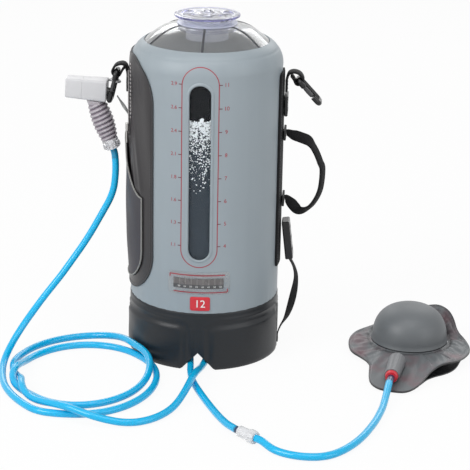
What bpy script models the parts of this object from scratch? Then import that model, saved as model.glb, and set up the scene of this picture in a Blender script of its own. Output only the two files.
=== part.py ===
"""Pressurised camp shower: a clear-topped water bag on a skirt, a hung handset and a foot pump.

Metres, +Z up. The bag stands on the ground beside its foot pump. The front of the bag, with the
window, faces -Y. Each group is built round its own empty: the bag round its axis and the pump
round the axis of its dome. At the end both empties are moved together, so that the footprint of
bag, handset and pump is centred on the origin.
"""
import math

import bmesh
import bpy
import numpy as np
from mathutils import Matrix, Vector

# Driving sizes of the water bag
BAG_RADIUS = 0.1015
SHELL_WALL = 0.0020
SKIRT_TOP = 0.0804
SHOULDER_RADIUS = 0.034
RIM_HEIGHT = 0.4347
RIM_RADIUS = 0.0915
FLOOR_HEIGHT = 0.0500
FLOOR_WALL = 0.0025
SEAT_GAP = 0.0003
ROUND_STEPS = 56

# Skirt under the bag
SKIRT_WALL = 0.0027
SKIRT_PROUD = 0.0005
PAD_COUNT = 4
PAD_BULGE = 0.0030
PAD_TOP = SKIRT_TOP - 0.0164
PAD_GAP_ANGLE = math.radians(8.5)
RIDGE_HEIGHT = SKIRT_TOP - 0.0084
RIDGE_BULGE = 0.0009
NOTCH_HALF_WIDTH = 0.0225
NOTCH_HEIGHT = 0.0235

# Clear dome, neck and cap
DOME_WALL = 0.0012
DOME_TOP = RIM_HEIGHT + 0.0173
DOME_CROWN = 0.0060
NECK_OUTER = 0.0290
NECK_WALL = 0.0028
NECK_FLANGE = 0.0400
NECK_FLANGE_WALL = 0.0018
NECK_DEPTH = 0.0200
NECK_LIP = 0.0030
GASKET_THICKNESS = 0.0012
CAP_RADIUS = 0.0435
CAP_THICKNESS = 0.0060
CAP_RIM_THICKNESS = 0.0026
CAP_SKIRT_RADIUS = 0.0385
CAP_PLUG_CLEARANCE = 0.0006
CAP_PLUG_DEPTH = 0.0220
CAP_PLUG_TAPER = 0.0060
CAP_RECESS_DEPTH = 0.0030
RELIEF_KNOB_RADIUS = 0.0095
RELIEF_STEM_RADIUS = 0.0045
RELIEF_CLEARANCE = 0.0004
SEAM_COUNT = 6
SEAM_WIDTH = 0.0034
SEAM_HEIGHT = 0.0009

# Window, scale strip and badge on the front
WINDOW_HALF_WIDTH = 0.0143
WINDOW_LOW = 0.1561
WINDOW_HIGH = RIM_HEIGHT - 0.0435
WINDOW_WALL = 0.0012
FRAME_WIDTH = 0.0042
FRAME_HEIGHT = 0.0014
STRIP_HALF_WIDTH = 0.0335
STRIP_LOW = 0.1165
STRIP_HIGH = 0.1304
PATCH_MARGIN = 0.0085
PATCH_WALL = 0.0008
BADGE_HALF_WIDTH = 0.0133
BADGE_LOW = 0.0850
BADGE_HIGH = 0.1045
BADGE_OFFSET = 0.0024

# Pocket on the left
POCKET_ANGLE = math.radians(-90.0)
POCKET_HALF_WIDTH = 0.0920
POCKET_LOW = 0.0950
POCKET_HIGH = RIM_HEIGHT - 0.0197
POCKET_CORNER = 0.0560
POCKET_WALL = 0.0012
POUCH_HALF_WIDTH = 0.0720
POUCH_LOW = 0.1080
POUCH_FRONT_HIGH = RIM_HEIGHT - 0.2067
POUCH_BACK_HIGH = RIM_HEIGHT - 0.1297
POUCH_BULGE = 0.0032
POUCH_WALL = 0.0012
ZIP_ANGLE = math.radians(-77.0)
ZIP_HALF_WIDTH = 0.0045
ZIP_LOW = POUCH_BACK_HIGH - 0.0030
ZIP_HIGH = RIM_HEIGHT - 0.0427
ZIP_WALL = 0.0013
SLIDER_WIDTH = 0.0075
SLIDER_LENGTH = 0.0110
SLIDER_HEIGHT = 0.0034
SLIDER_LOW = ZIP_LOW + 0.0060
PULL_LENGTH = 0.0200

# Webbing loops and carabiners
WEBBING_WIDTH = 0.0150
WEBBING_THICKNESS = 0.0024
HOOK_BAR_RADIUS = 0.0032
HOOK_LENGTH = 0.0410
HOOK_WIDTH = 0.0300
HOOK_CORNER = 0.0055
GATE_SHARE = 0.8
GATE_FOOT_DROP = 0.0002
GATE_FOOT_LENGTH = 0.0022
GATE_FOOT_SHARE = 0.31
EYE_RADIUS = 0.0056
LEFT_EYE_X = -(BAG_RADIUS + 0.0180)
LEFT_EYE_Z = RIM_HEIGHT - 0.0507
LEFT_LOOP_DROP = 0.0260
LEFT_HOOK_LEAN = math.radians(13.9)
RIGHT_EYE_X = BAG_RADIUS + 0.0210
RIGHT_EYE_Z = RIM_HEIGHT - 0.0547
RIGHT_LOOP_DROP = 0.0160
RIGHT_HOOK_LEAN = math.radians(43.0)

# Handset
HANDSET_LENGTH = 0.0330
HANDSET_HEIGHT = 0.0290
HANDSET_DEPTH = 0.0276
HANDSET_FRONT = 0.90
HANDSET_CENTRE = Vector((LEFT_EYE_X - 0.0299, 0.0, LEFT_EYE_Z - 0.0260))
HANDSET_LEAN = math.radians(3.5)
HANDSET_ROUND = 0.0034
HANDSET_EDGE = 0.0016
COLLAR_LENGTH = 0.0222
PLATE_WALL = 0.0018
PLATE_RECESS = 0.0008
SPRAY_HOLE_RADIUS = 0.0011
SPRAY_HOLE_PITCH = 0.0044
BUTTON_RADIUS = 0.0070
BUTTON_PROUD = 0.0038
BUTTON_SUNK = 0.0020
BUTTON_TRAVEL = 0.0028
BUTTON_DROP = 0.0030
GRIP_START = HANDSET_CENTRE + Vector((0.0012, 0.0, -0.0178))
GRIP_BEND = HANDSET_CENTRE + Vector((0.0104, 0.0, -0.0438))
GRIP_END = HANDSET_CENTRE + Vector((0.0189, 0.0, -0.0685))
GRIP_START_RADIUS = 0.0126
GRIP_END_RADIUS = 0.0116
GRIP_SWELL = 0.0032
GRIP_RIBS = 9
RIB_DEPTH = 0.0014
NUT_RADIUS = 0.0120
NUT_LENGTH = 0.0135
NUT_FLUTES = 12
FLUTE_DEPTH = 0.0008
HOSE_RADIUS = 0.00475
LUG_WIRE = 0.0016
LUG_CLEARANCE = 0.0010
LUG_DISTANCE = 0.0170

# Right side straps
SIDE_STRAP_ANGLE = math.radians(87.0)
SIDE_STRAP_HALF_WIDTH = 0.0225
SIDE_STRAP_LOW = 0.1230
SIDE_STRAP_HIGH = RIM_HEIGHT - 0.0417
SIDE_STRAP_WALL = 0.0026
LADDER_WIDTH = 0.0300
LADDER_HEIGHT = 0.0280
LADDER_WALL = 0.0045
LADDER_CENTRE_Z = SIDE_STRAP_HIGH - 0.0470
LADDER_SLOT = 0.0036
ANCHOR_WIDTH = 0.0280
ANCHOR_HEIGHT = 0.0150
ANCHOR_WALL = 0.0030
HANDLE_TOP_Z = SKIRT_TOP + 0.6367 * (RIM_HEIGHT - SKIRT_TOP)
HANDLE_BOTTOM_Z = SKIRT_TOP + 0.3771 * (RIM_HEIGHT - SKIRT_TOP)
HANDLE_REACH = 0.0500
HANDLE_WIDTH = 0.0150
HANDLE_THICKNESS = 0.0036
HANDLE_TWIST = math.radians(66.0)
HANDLE_ROOT = 0.0030
HANDLE_ROOT_THICKNESS = 0.0012
BUCKLE_WIDTH = 0.0260
BUCKLE_TOP = 0.1840
BUCKLE_BOTTOM = 0.1300
BUCKLE_WALL = 0.0105
BUCKLE_SLOT = 0.0038
BUCKLE_STAND_OFF = 0.0036
TAIL_WIDTH = 0.0130
TAIL_SWING = 0.0250
TAIL_TWIST = math.radians(50.0)
TAIL_THICKNESS = 0.0016
TETHER_WIDTH = 0.0050
TETHER_THICKNESS = 0.0012

# Fittings under the bag
FITTING_X = 0.0150
FITTING_Y = -0.0500
FITTING_FLANGE = 0.0120
FITTING_FLANGE_WALL = 0.0030
FITTING_SPIGOT = 0.0052
FITTING_DROP = 0.0040

# Hoses laid on the ground
HOSE_LIE = HOSE_RADIUS + 0.00015
HOSE_GAP = 0.0022
LOOP_CENTRE = Vector((-0.1418, -0.1551))
LOOP_DRIFT = Vector((-0.0085, 0.0255))
LOOP_REACH_X = 0.0910
LOOP_REACH_Y = 0.1070
LOOP_START = -90.0
LOOP_END = 540.0
LOOP_POINTS_PER_TURN = 24
CROSSING_ANGLE = 398.0
CROSSING_SPREAD = 46.0
CROSSING_RISE = 0.0125
STRETCH_GAP = 0.0006
SETTLE_STEP = 0.0040
SETTLE_SKIP = 14
SETTLE_ROUNDS = 160
HANG_GUIDES = (
    (0.0034, -0.0010, 0.8918), (0.0014, -0.0030, 0.7997), (-0.0047, -0.0050, 0.7392),
    (-0.0140, -0.0080, 0.6790), (-0.0260, -0.0120, 0.5985), (-0.0395, -0.0160, 0.5177),
    (-0.0547, -0.0220, 0.4386), (-0.0697, -0.0300, 0.3622), (-0.0876, -0.0410, 0.2828),
    (-0.1041, -0.0550, 0.2048), (-0.1186, -0.0720, 0.1323), (-0.1286, -0.0950, 0.0725),
    (-0.1321, -0.1220, 0.0326),
)
LOOPS_BEGIN = (-0.1610, -0.2740, 0.0050)
LOOPS_FINISH = (-0.2440, -0.1300, 0.0050)

# Coupling in the pump hose
COUPLING_CENTRE = Vector((0.0755, -0.3105, 0.0088))
COUPLING_DIRECTION = Vector((0.745, -0.667, 0.0))
COUPLING_LENGTH = 0.0160
COUPLING_RADIUS = 0.0070
COUPLING_NUT_LENGTH = 0.0110
COUPLING_NUT_RADIUS = 0.0086

# Foot pump
PUMP_X = 0.2865
PUMP_Y = 0.0
PUMP_TURN = math.radians(-10.4)
PUMP_SHEET_WALL = 0.0020
CHAMBER_RADIUS = 0.0530
CHAMBER_WALL = 0.0040
CHAMBER_FLOOR = 0.0030
CHAMBER_TOP = 0.0175
DOME_RADIUS = 0.0515
DOME_HEIGHT = 0.0482
DOME_SQUARENESS = 2.5
DOME_SKIN = 0.0024
DISC_RADIUS = 0.0230
DISC_WALL = 0.0025
SPRING_WIRE = 0.0013
SPRING_TURNS = 5
SPRING_LOW_RADIUS = 0.0300
SPRING_HIGH_RADIUS = 0.0180
FLANGE_WALL = 0.0022
FLANGE_FOLD = 0.0018
FLANGE_GUIDES = (
    (-101.0, 0.1510, 0.0045), (-90.0, 0.1570, 0.0035), (-79.0, 0.1550, 0.0045),
    (-73.0, 0.1250, 0.0100), (-64.0, 0.1070, 0.0170), (-54.0, 0.1010, 0.0200),
    (-40.0, 0.0950, 0.0160), (-26.0, 0.0890, 0.0120), (-5.0, 0.0865, 0.0120),
    (9.0, 0.0790, 0.0160), (24.0, 0.0690, 0.0230), (36.0, 0.0695, 0.0360),
    (50.0, 0.0715, 0.0440), (64.0, 0.0705, 0.0470), (80.0, 0.0680, 0.0420),
    (102.0, 0.0660, 0.0280), (126.0, 0.0660, 0.0190), (152.0, 0.0680, 0.0160),
    (168.0, 0.0790, 0.0125), (184.0, 0.0825, 0.0110), (200.0, 0.0850, 0.0100),
    (214.0, 0.0870, 0.0080), (227.0, 0.0820, 0.0060), (240.0, 0.0880, 0.0075),
    (249.0, 0.1020, 0.0080), (254.0, 0.1300, 0.0060),
)
SOCKET_X = -0.0031
SOCKET_REAR_Y = -0.0880
SOCKET_MOUTH_Y = -0.1340
SOCKET_REAR_Z = 0.0185
SOCKET_MOUTH_Z = 0.0154
SOCKET_REAR_RADIUS = 0.0118
SOCKET_MOUTH_RADIUS = 0.0100
COLLAR_RING_LENGTH = 0.0050
COLLAR_RING_RADIUS = 0.0088

# Colour, roughness, metallic and opacity of each material
FINISHES = {
    "grey_tarpaulin": ((0.42, 0.46, 0.50), 0.55, 0.0, 1.0),
    "black_tarpaulin": ((0.030, 0.034, 0.040), 0.50, 0.0, 1.0),
    "clear_film": ((0.86, 0.88, 0.90), 0.12, 0.0, 0.35),
    "dark_weld": ((0.08, 0.09, 0.10), 0.45, 0.0, 1.0),
    "clear_plastic": ((0.82, 0.85, 0.95), 0.15, 0.0, 0.45),
    "seal_rubber": ((0.75, 0.76, 0.78), 0.60, 0.0, 1.0),
    "pocket_fabric": ((0.060, 0.062, 0.068), 0.70, 0.0, 1.0),
    "webbing_black": ((0.020, 0.020, 0.022), 0.85, 0.0, 1.0),
    "hook_plastic": ((0.055, 0.056, 0.060), 0.45, 0.0, 1.0),
    "handset_plastic": ((0.70, 0.70, 0.71), 0.40, 0.0, 1.0),
    "grip_rubber": ((0.56, 0.53, 0.57), 0.55, 0.0, 1.0),
    "hose_blue": ((0.02, 0.42, 0.85), 0.15, 0.0, 0.75),
    "strip_grey": ((0.16, 0.15, 0.16), 0.35, 0.0, 1.0),
    "badge_red": ((0.62, 0.03, 0.05), 0.40, 0.0, 1.0),
    "pump_grey": ((0.13, 0.14, 0.15), 0.55, 0.0, 1.0),
    "spring_steel": ((0.55, 0.56, 0.58), 0.30, 1.0, 1.0),
    "zip_nylon": ((0.10, 0.09, 0.10), 0.60, 0.0, 1.0),
}

part_collection = None
cutter_collection = None
bag_origin = None
pump_origin = None
cord_names = []


def start_scene():
    """Empty the scene and make the collections and the two group empties."""
    global part_collection, cutter_collection, bag_origin, pump_origin
    for old in list(bpy.data.objects):
        bpy.data.objects.remove(old, do_unlink=True)
    part_collection = bpy.data.collections.new("camp_shower")
    cutter_collection = bpy.data.collections.new("cutters")
    for collection in (part_collection, cutter_collection):
        bpy.context.scene.collection.children.link(collection)
    bag_origin = bpy.data.objects.new("bag_origin", None)
    pump_origin = bpy.data.objects.new("pump_origin", None)
    pump_origin.location = (PUMP_X, PUMP_Y, 0.0)
    pump_origin.rotation_euler = (0.0, 0.0, PUMP_TURN)
    for empty in (bag_origin, pump_origin):
        part_collection.objects.link(empty)


def finish_material(name):
    """Return the material of that name, made on first use."""
    found = bpy.data.materials.get(name)
    if found:
        return found
    colour, roughness, metallic, opacity = FINISHES[name]
    material = bpy.data.materials.new(name)
    material.use_nodes = True
    shader = material.node_tree.nodes["Principled BSDF"]
    shader.inputs["Base Color"].default_value = (*colour, 1.0)
    shader.inputs["Roughness"].default_value = roughness
    shader.inputs["Metallic"].default_value = metallic
    shader.inputs["Alpha"].default_value = opacity
    material.diffuse_color = (*colour, 1.0)
    return material


def place(obj, parent, material):
    """Link a piece, give it its material and its parent empty."""
    part_collection.objects.link(obj)
    obj.parent = parent
    obj.data.materials.append(finish_material(material))
    return obj


def place_cutter(obj, parent):
    """Link a guide that only cuts: it stays out of the part itself."""
    cutter_collection.objects.link(obj)
    obj.parent = parent
    obj.hide_render = True
    obj.display_type = "WIRE"
    return obj


def closed_mesh(name, bm, flat_angle=35.0):
    """Turn a closed bmesh into a mesh with its faces outwards and its round sides smooth."""
    bmesh.ops.recalc_face_normals(bm, faces=bm.faces)
    mesh = bpy.data.meshes.new(name)
    bm.to_mesh(mesh)
    bm.free()
    mesh.shade_smooth()
    mesh.set_sharp_from_angle(angle=math.radians(flat_angle))
    return mesh


def loft_mesh(name, rings, closed=False, caps=True):
    """Join equal rings of points in order. A closed loft has no ends to cap."""
    bm = bmesh.new()
    rows = [[bm.verts.new(point) for point in ring] for ring in rings]
    count = len(rows[0])
    spans = len(rows) if closed else len(rows) - 1
    for row in range(spans):
        near = rows[row]
        far = rows[(row + 1) % len(rows)]
        for index in range(count):
            following = (index + 1) % count
            bm.faces.new((near[index], near[following], far[following], far[index]))
    if caps and not closed:
        bm.faces.new(list(reversed(rows[0])))
        bm.faces.new(rows[-1])
    return closed_mesh(name, bm)


def turned(name, profile, material, parent, steps=ROUND_STEPS, closed_profile=True):
    """Turn a profile of (radius, height) points round Z. It runs down its outer side first."""
    mesh = bpy.data.meshes.new(name)
    points = [(radius, 0.0, height) for radius, height in profile]
    edges = [(index, index + 1) for index in range(len(points) - 1)]
    if closed_profile:
        edges.append((len(points) - 1, 0))
    mesh.from_pydata(points, edges, [])
    obj = place(bpy.data.objects.new(name, mesh), parent, material)
    screw = obj.modifiers.new("turn", "SCREW")
    screw.steps = steps
    screw.render_steps = steps
    screw.use_merge_vertices = True
    screw.merge_threshold = 0.00001
    screw.use_smooth_shade = True
    return obj


def cut(obj, cutter):
    """Take the cutter's shape out of a piece."""
    boolean = obj.modifiers.new("cut_" + cutter.name, "BOOLEAN")
    boolean.operation = "DIFFERENCE"
    boolean.solver = "EXACT"
    boolean.object = cutter


def join(obj, added):
    """Fuse a guide solid onto a piece."""
    boolean = obj.modifiers.new("join_" + added.name, "BOOLEAN")
    boolean.operation = "UNION"
    boolean.solver = "EXACT"
    boolean.object = added


def block_mesh(name, size, edge=0.0, segments=2):
    """A box round its centre, with its edges rounded."""
    bm = bmesh.new()
    bmesh.ops.create_cube(bm, size=1.0, matrix=Matrix.Diagonal((*size, 1.0)))
    if edge > 0.0:
        bmesh.ops.bevel(
            bm, geom=bm.edges[:], offset=edge, segments=segments, profile=0.5, affect="EDGES"
        )
    return closed_mesh(name, bm)


def rod_mesh(name, radius, length, sides=24, end_radius=None):
    """A rod or cone along Z round its centre."""
    bm = bmesh.new()
    bmesh.ops.create_cone(
        bm,
        cap_ends=True,
        segments=sides,
        radius1=radius,
        radius2=radius if end_radius is None else end_radius,
        depth=length,
    )
    return closed_mesh(name, bm)


def aim(obj, centre, direction):
    """Put a piece made along Z on a centre, with its axis along a direction."""
    obj.location = centre
    obj.rotation_euler = Vector(direction).to_track_quat("Z", "Y").to_euler()
    return obj


def smooth_path(points, step):
    """Read evenly spaced points from a smooth curve through the given ones."""
    guides = [Vector(point) for point in points]
    guides = [2 * guides[0] - guides[1]] + guides + [2 * guides[-1] - guides[-2]]
    fine = []
    for index in range(1, len(guides) - 2):
        before, start, end, after = guides[index - 1:index + 3]
        for part in range(20):
            t = part / 20.0
            fine.append(0.5 * (
                2 * start + (end - before) * t
                + (2 * before - 5 * start + 4 * end - after) * t * t
                + (3 * start - before - 3 * end + after) * t * t * t
            ))
    fine.append(guides[-2])
    return even_points(fine, step)


def even_points(fine, step):
    """Space points evenly along a fine line, both ends kept."""
    lengths = [0.0]
    for near, far in zip(fine, fine[1:]):
        lengths.append(lengths[-1] + (far - near).length)
    count = max(2, round(lengths[-1] / step) + 1)
    result = []
    index = 0
    for place_index in range(count):
        target = lengths[-1] * place_index / (count - 1)
        while index < len(fine) - 2 and lengths[index + 1] < target:
            index += 1
        span = lengths[index + 1] - lengths[index]
        share = (target - lengths[index]) / span if span > 0 else 0.0
        result.append(fine[index].lerp(fine[index + 1], share))
    return result


def path_length(points):
    """Length of a line of points."""
    return sum((far - near).length for near, far in zip(points, points[1:]))


def tube(name, points, radius, material, parent, resolution=2, cyclic=False):
    """A round tube or wire along points."""
    curve = bpy.data.curves.new(name, "CURVE")
    curve.dimensions = "3D"
    curve.bevel_depth = radius
    curve.bevel_resolution = resolution
    curve.use_fill_caps = not cyclic
    spline = curve.splines.new("POLY")
    spline.points.add(len(points) - 1)
    for slot, point in zip(spline.points, points):
        slot.co = (*point, 1.0)
    spline.use_cyclic_u = cyclic
    spline.use_smooth = True
    return place(bpy.data.objects.new(name, curve), parent, material)


def wall_reach(height):
    """Radius of the bag's wall at a height: straight, then rolled in at the shoulder."""
    above = height - (RIM_HEIGHT - SHOULDER_RADIUS)
    if above <= 0:
        return BAG_RADIUS
    return BAG_RADIUS - SHOULDER_RADIUS + math.sqrt(SHOULDER_RADIUS ** 2 - above ** 2)


def on_bag(arc, height, radius, centre_angle=0.0):
    """Point at an arc length and a height on the bag, at the radius it would have below the shoulder."""
    angle = centre_angle + arc / BAG_RADIUS
    reach = radius - BAG_RADIUS + wall_reach(height)
    return Vector((reach * math.sin(angle), -reach * math.cos(angle), height))


def rounded_outline(half_width, low, high, corner, corner_points=6, side_points=0):
    """A rounded rectangle in arc length and height, anticlockwise, with its outward normals."""
    corner = min(corner, half_width, (high - low) / 2)
    centres = (
        (half_width - corner, high - corner, 0.0),
        (-half_width + corner, high - corner, 90.0),
        (-half_width + corner, low + corner, 180.0),
        (half_width - corner, low + corner, 270.0),
    )
    outline = []
    for centre_arc, centre_height, start in centres:
        for index in range(corner_points + 1):
            angle = math.radians(start + 90.0 * index / corner_points)
            normal = Vector((math.cos(angle), math.sin(angle)))
            point = Vector((centre_arc, centre_height)) + corner * normal
            if not outline or (point - outline[-1][0]).length > 1e-5:
                outline.append((point, normal))
    if (outline[0][0] - outline[-1][0]).length < 1e-5:
        outline.pop()
    if not side_points:
        return outline
    filled = []
    for index, (point, normal) in enumerate(outline):
        following = outline[(index + 1) % len(outline)][0]
        filled.append((point, normal))
        if (following - point).length > 2.5 * corner / corner_points + 0.004:
            for extra in range(1, side_points + 1):
                filled.append((point.lerp(following, extra / (side_points + 1)), normal))
    return filled


def panel_columns(half_width, low, high, corner, columns):
    """Columns of a rounded panel: each is an arc place with its lowest and highest height."""
    corner = min(corner, half_width, (high - low) / 2)
    places = []
    for index in range(columns + 1):
        places.append(-half_width + 2 * half_width * index / columns)
    for index in range(1, 5):
        inset = corner * (1 - math.cos(math.radians(22.5 * index)))
        places.extend((-half_width + inset, half_width - inset))
    places = sorted(set(round(value, 6) for value in places))
    result = []
    last = None
    for arc in places:
        if last is not None and arc - last < 0.0006:
            continue
        last = arc
        inset = max(0.0, abs(arc) - (half_width - corner))
        drop = corner - math.sqrt(max(corner * corner - inset * inset, 0.0))
        drop = min(drop, (high - low) / 2 - 0.001)
        result.append((arc, low + drop, high - drop))
    return result


def wrapped_panel_mesh(name, columns, rows, inner, wall, centre_angle, bulge=None):
    """A sheet lying on the bag, as thick as its wall, with an optional bulge(arc, height)."""
    rings = []
    roll = RIM_HEIGHT - SHOULDER_RADIUS
    rolled = max(high for arc, low, high in columns) > roll
    for arc, low, high in columns:
        outer_side = []
        inner_side = []
        bend = high if not rolled else roll if high > roll + 0.001 else low + (high - low) * 0.8
        heights = [low + (bend - low) * row / rows for row in range(rows + 1)]
        if rolled:
            heights += [bend + (high - bend) * row / 3 for row in range(1, 4)]
        for height in heights:
            lift = bulge(arc, height) if bulge else 0.0
            lift += SEAT_GAP if height > roll else 0.0
            outer_side.append(on_bag(arc, height, inner + wall + lift, centre_angle))
            inner_side.append(on_bag(arc, height, inner + lift, centre_angle))
        rings.append(outer_side + list(reversed(inner_side)))
    return loft_mesh(name, rings)


def wrapped_panel(name, material, half_width, low, high, corner, inner, wall,
                  centre_angle=0.0, columns=10, rows=1):
    """A rounded flat patch on the bag."""
    mesh = wrapped_panel_mesh(
        name, panel_columns(half_width, low, high, corner, columns), rows, inner, wall, centre_angle
    )
    return place(bpy.data.objects.new(name, mesh), bag_origin, material)


def wrapped_frame_mesh(name, outline, width, inner, height, centre_angle=0.0):
    """A raised band round an outline on the bag."""
    rings = []
    for point, normal in outline:
        outside = point + normal * width
        rings.append([
            on_bag(outside.x, outside.y, inner, centre_angle),
            on_bag(outside.x, outside.y, inner + height * 0.55, centre_angle),
            on_bag((point.x + outside.x) / 2, (point.y + outside.y) / 2, inner + height, centre_angle),
            on_bag(point.x, point.y, inner + height * 0.55, centre_angle),
            on_bag(point.x, point.y, inner, centre_angle),
        ])
    return loft_mesh(name, rings, closed=True)


def strap_mesh(name, centres, width_directions, widths, thicknesses):
    """A flat band along points. Each station has its own width direction, width and thickness."""
    rings = []
    for index, centre in enumerate(centres):
        before = centres[max(index - 1, 0)]
        after = centres[min(index + 1, len(centres) - 1)]
        along = (after - before).normalized()
        across = width_directions[index] - along * width_directions[index].dot(along)
        across.normalize()
        facing = along.cross(across)
        half = widths[index] / 2
        rise = facing * thicknesses[index] / 2
        rings.append([
            centre + across * half + rise,
            centre - across * half + rise,
            centre - across * half - rise,
            centre + across * half - rise,
        ])
    return loft_mesh(name, rings)


def strap(name, guides, step, width, thickness, material, parent, across=Vector((0, 1, 0))):
    """A band of one width, lying with its width along one direction."""
    centres = smooth_path(guides, step)
    count = len(centres)
    mesh = strap_mesh(name, centres, [across] * count, [width] * count, [thickness] * count)
    return place(bpy.data.objects.new(name, mesh), parent, material)


def arc_block_mesh(name, inner, outer, start, end, low, high, pieces=10):
    """A block bent round Z between two angles in degrees."""
    rings = []
    for index in range(pieces + 1):
        angle = math.radians(start + (end - start) * index / pieces)
        across = Vector((math.cos(angle), math.sin(angle), 0.0))
        rings.append([
            across * outer + Vector((0, 0, low)),
            across * outer + Vector((0, 0, high)),
            across * inner + Vector((0, 0, high)),
            across * inner + Vector((0, 0, low)),
        ])
    return loft_mesh(name, rings)


def soft_step(value):
    """Rise smoothly from 0 to 1."""
    value = min(max(value, 0.0), 1.0)
    return value * value * (3 - 2 * value)


def make_bag_shell():
    """Grey wall of the bag: a lap inside the skirt, straight sides and a rolled shoulder."""
    lap = BAG_RADIUS - SKIRT_WALL - SEAT_GAP
    roll_centre = RIM_HEIGHT - SHOULDER_RADIUS
    flat = BAG_RADIUS - SHOULDER_RADIUS
    outer = []
    inner = []
    reach = SHOULDER_RADIUS - SHELL_WALL
    for index in range(5):
        angle = math.radians(60.0 - 60.0 * index / 4)
        outer.append((flat + SHOULDER_RADIUS * math.cos(angle), roll_centre + SHOULDER_RADIUS * math.sin(angle)))
    for index in range(3):
        angle = math.radians(60.0 - 60.0 * index / 2)
        inner.append((flat + reach * math.cos(angle), roll_centre + reach * math.sin(angle)))
    profile = outer + [
        (BAG_RADIUS, SKIRT_TOP + SEAT_GAP),
        (lap, SKIRT_TOP + SEAT_GAP),
        (lap, FLOOR_HEIGHT),
        (lap - SHELL_WALL, FLOOR_HEIGHT),
        (lap - SHELL_WALL, SKIRT_TOP + SEAT_GAP + SHELL_WALL),
        (BAG_RADIUS - SHELL_WALL, SKIRT_TOP + SEAT_GAP + 2 * SHELL_WALL),
    ] + list(reversed(inner))
    shell = turned("bag_shell", profile, "grey_tarpaulin", bag_origin)
    columns = panel_columns(WINDOW_HALF_WIDTH, WINDOW_LOW, WINDOW_HIGH, WINDOW_HALF_WIDTH, 6)
    cutter = wrapped_panel_mesh("window_cutter", columns, 1, BAG_RADIUS - 0.006, 0.012, 0.0)
    cut(shell, place_cutter(bpy.data.objects.new("window_cutter", cutter), bag_origin))
    return shell


def make_window():
    """Clear strip set in the window hole and the raised band welded round it."""
    inset = SEAT_GAP
    wrapped_panel(
        "window_film", "clear_film", WINDOW_HALF_WIDTH - inset, WINDOW_LOW + inset,
        WINDOW_HIGH - inset, WINDOW_HALF_WIDTH - inset, BAG_RADIUS - SHELL_WALL + 0.0004,
        WINDOW_WALL, columns=6,
    )
    outline = rounded_outline(WINDOW_HALF_WIDTH, WINDOW_LOW, WINDOW_HIGH, WINDOW_HALF_WIDTH, 5, 0)
    mesh = wrapped_frame_mesh("window_frame", outline, FRAME_WIDTH, BAG_RADIUS + SEAT_GAP, FRAME_HEIGHT)
    place(bpy.data.objects.new("window_frame", mesh), bag_origin, "grey_tarpaulin")


def make_front_patches():
    """Clear patch with the liquid-crystal strip on it, and the capacity badge."""
    on_shell = BAG_RADIUS + SEAT_GAP
    wrapped_panel(
        "thermometer_patch", "clear_film", STRIP_HALF_WIDTH + PATCH_MARGIN,
        STRIP_LOW - PATCH_MARGIN, STRIP_HIGH + PATCH_MARGIN, 0.004, on_shell, PATCH_WALL, columns=16,
    )
    wrapped_panel(
        "thermometer_strip", "strip_grey", STRIP_HALF_WIDTH, STRIP_LOW, STRIP_HIGH, 0.0006,
        on_shell + PATCH_WALL + SEAT_GAP, 0.0006, columns=14,
    )
    badge = wrapped_panel(
        "capacity_badge", "badge_red", BADGE_HALF_WIDTH, BADGE_LOW, BADGE_HIGH, 0.0028,
        on_shell, 0.0008, centre_angle=BADGE_OFFSET / BAG_RADIUS, columns=6,
    )
    return badge


def skirt_radius(angle, height):
    """Outer radius of the skirt: pads between flat strips, and a welded ridge above them."""
    radius = BAG_RADIUS + SKIRT_PROUD
    pitch = 2 * math.pi / PAD_COUNT
    from_strip = abs((angle + pitch / 2) % pitch - pitch / 2)
    sideways = soft_step((from_strip - PAD_GAP_ANGLE) / math.radians(4.0))
    upwards = soft_step((PAD_TOP - height) / 0.006)
    foot = 1.0 - 0.35 * soft_step((0.006 - height) / 0.006)
    ridge = RIDGE_BULGE * max(0.0, 1.0 - abs(height - RIDGE_HEIGHT) / 0.0022)
    return radius + PAD_BULGE * sideways * upwards * foot + ridge * sideways


def make_base_skirt():
    """Black skirt: four soft pads, flat strips between them and the hose notch in front."""
    inner = BAG_RADIUS + SKIRT_PROUD - SKIRT_WALL
    notch_angle = NOTCH_HALF_WIDTH / BAG_RADIUS
    angles = set()
    steps = 44
    for index in range(steps):
        angles.add(round(2 * math.pi * index / steps, 5))
    for pad in range(PAD_COUNT):
        middle = 2 * math.pi * pad / PAD_COUNT
        for side in (-1, 1):
            for extra in (0.0, 2.0, 4.0):
                edge = middle + side * (PAD_GAP_ANGLE + math.radians(extra))
                angles.add(round(edge % (2 * math.pi), 5))
    angles.add(round(notch_angle, 5))
    angles.add(round(2 * math.pi - notch_angle, 5))
    ordered = []
    for angle in sorted(angles):
        if not ordered or angle - ordered[-1] > math.radians(0.8):
            ordered.append(angle)
    heights = (0.006, PAD_TOP - 0.006, PAD_TOP, RIDGE_HEIGHT - 0.0024, RIDGE_HEIGHT, RIDGE_HEIGHT + 0.0024)
    rings = []
    for angle in ordered:
        signed = angle if angle < math.pi else angle - 2 * math.pi
        opened = max(0.0, 1.0 - abs(signed) / notch_angle) * NOTCH_HEIGHT
        levels = [opened]
        levels += [max(height, opened + 0.0006 * (1 + index)) for index, height in enumerate(heights)]
        levels.append(SKIRT_TOP)
        across = Vector((math.sin(signed), -math.cos(signed), 0.0))
        ring = [across * skirt_radius(signed, level) + Vector((0, 0, level)) for level in levels]
        ring.append(across * inner + Vector((0, 0, SKIRT_TOP)))
        ring.append(across * inner + Vector((0, 0, opened)))
        rings.append(ring)
    mesh = loft_mesh("base_skirt", rings, closed=True)
    place(bpy.data.objects.new("base_skirt", mesh), bag_origin, "black_tarpaulin")


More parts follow.
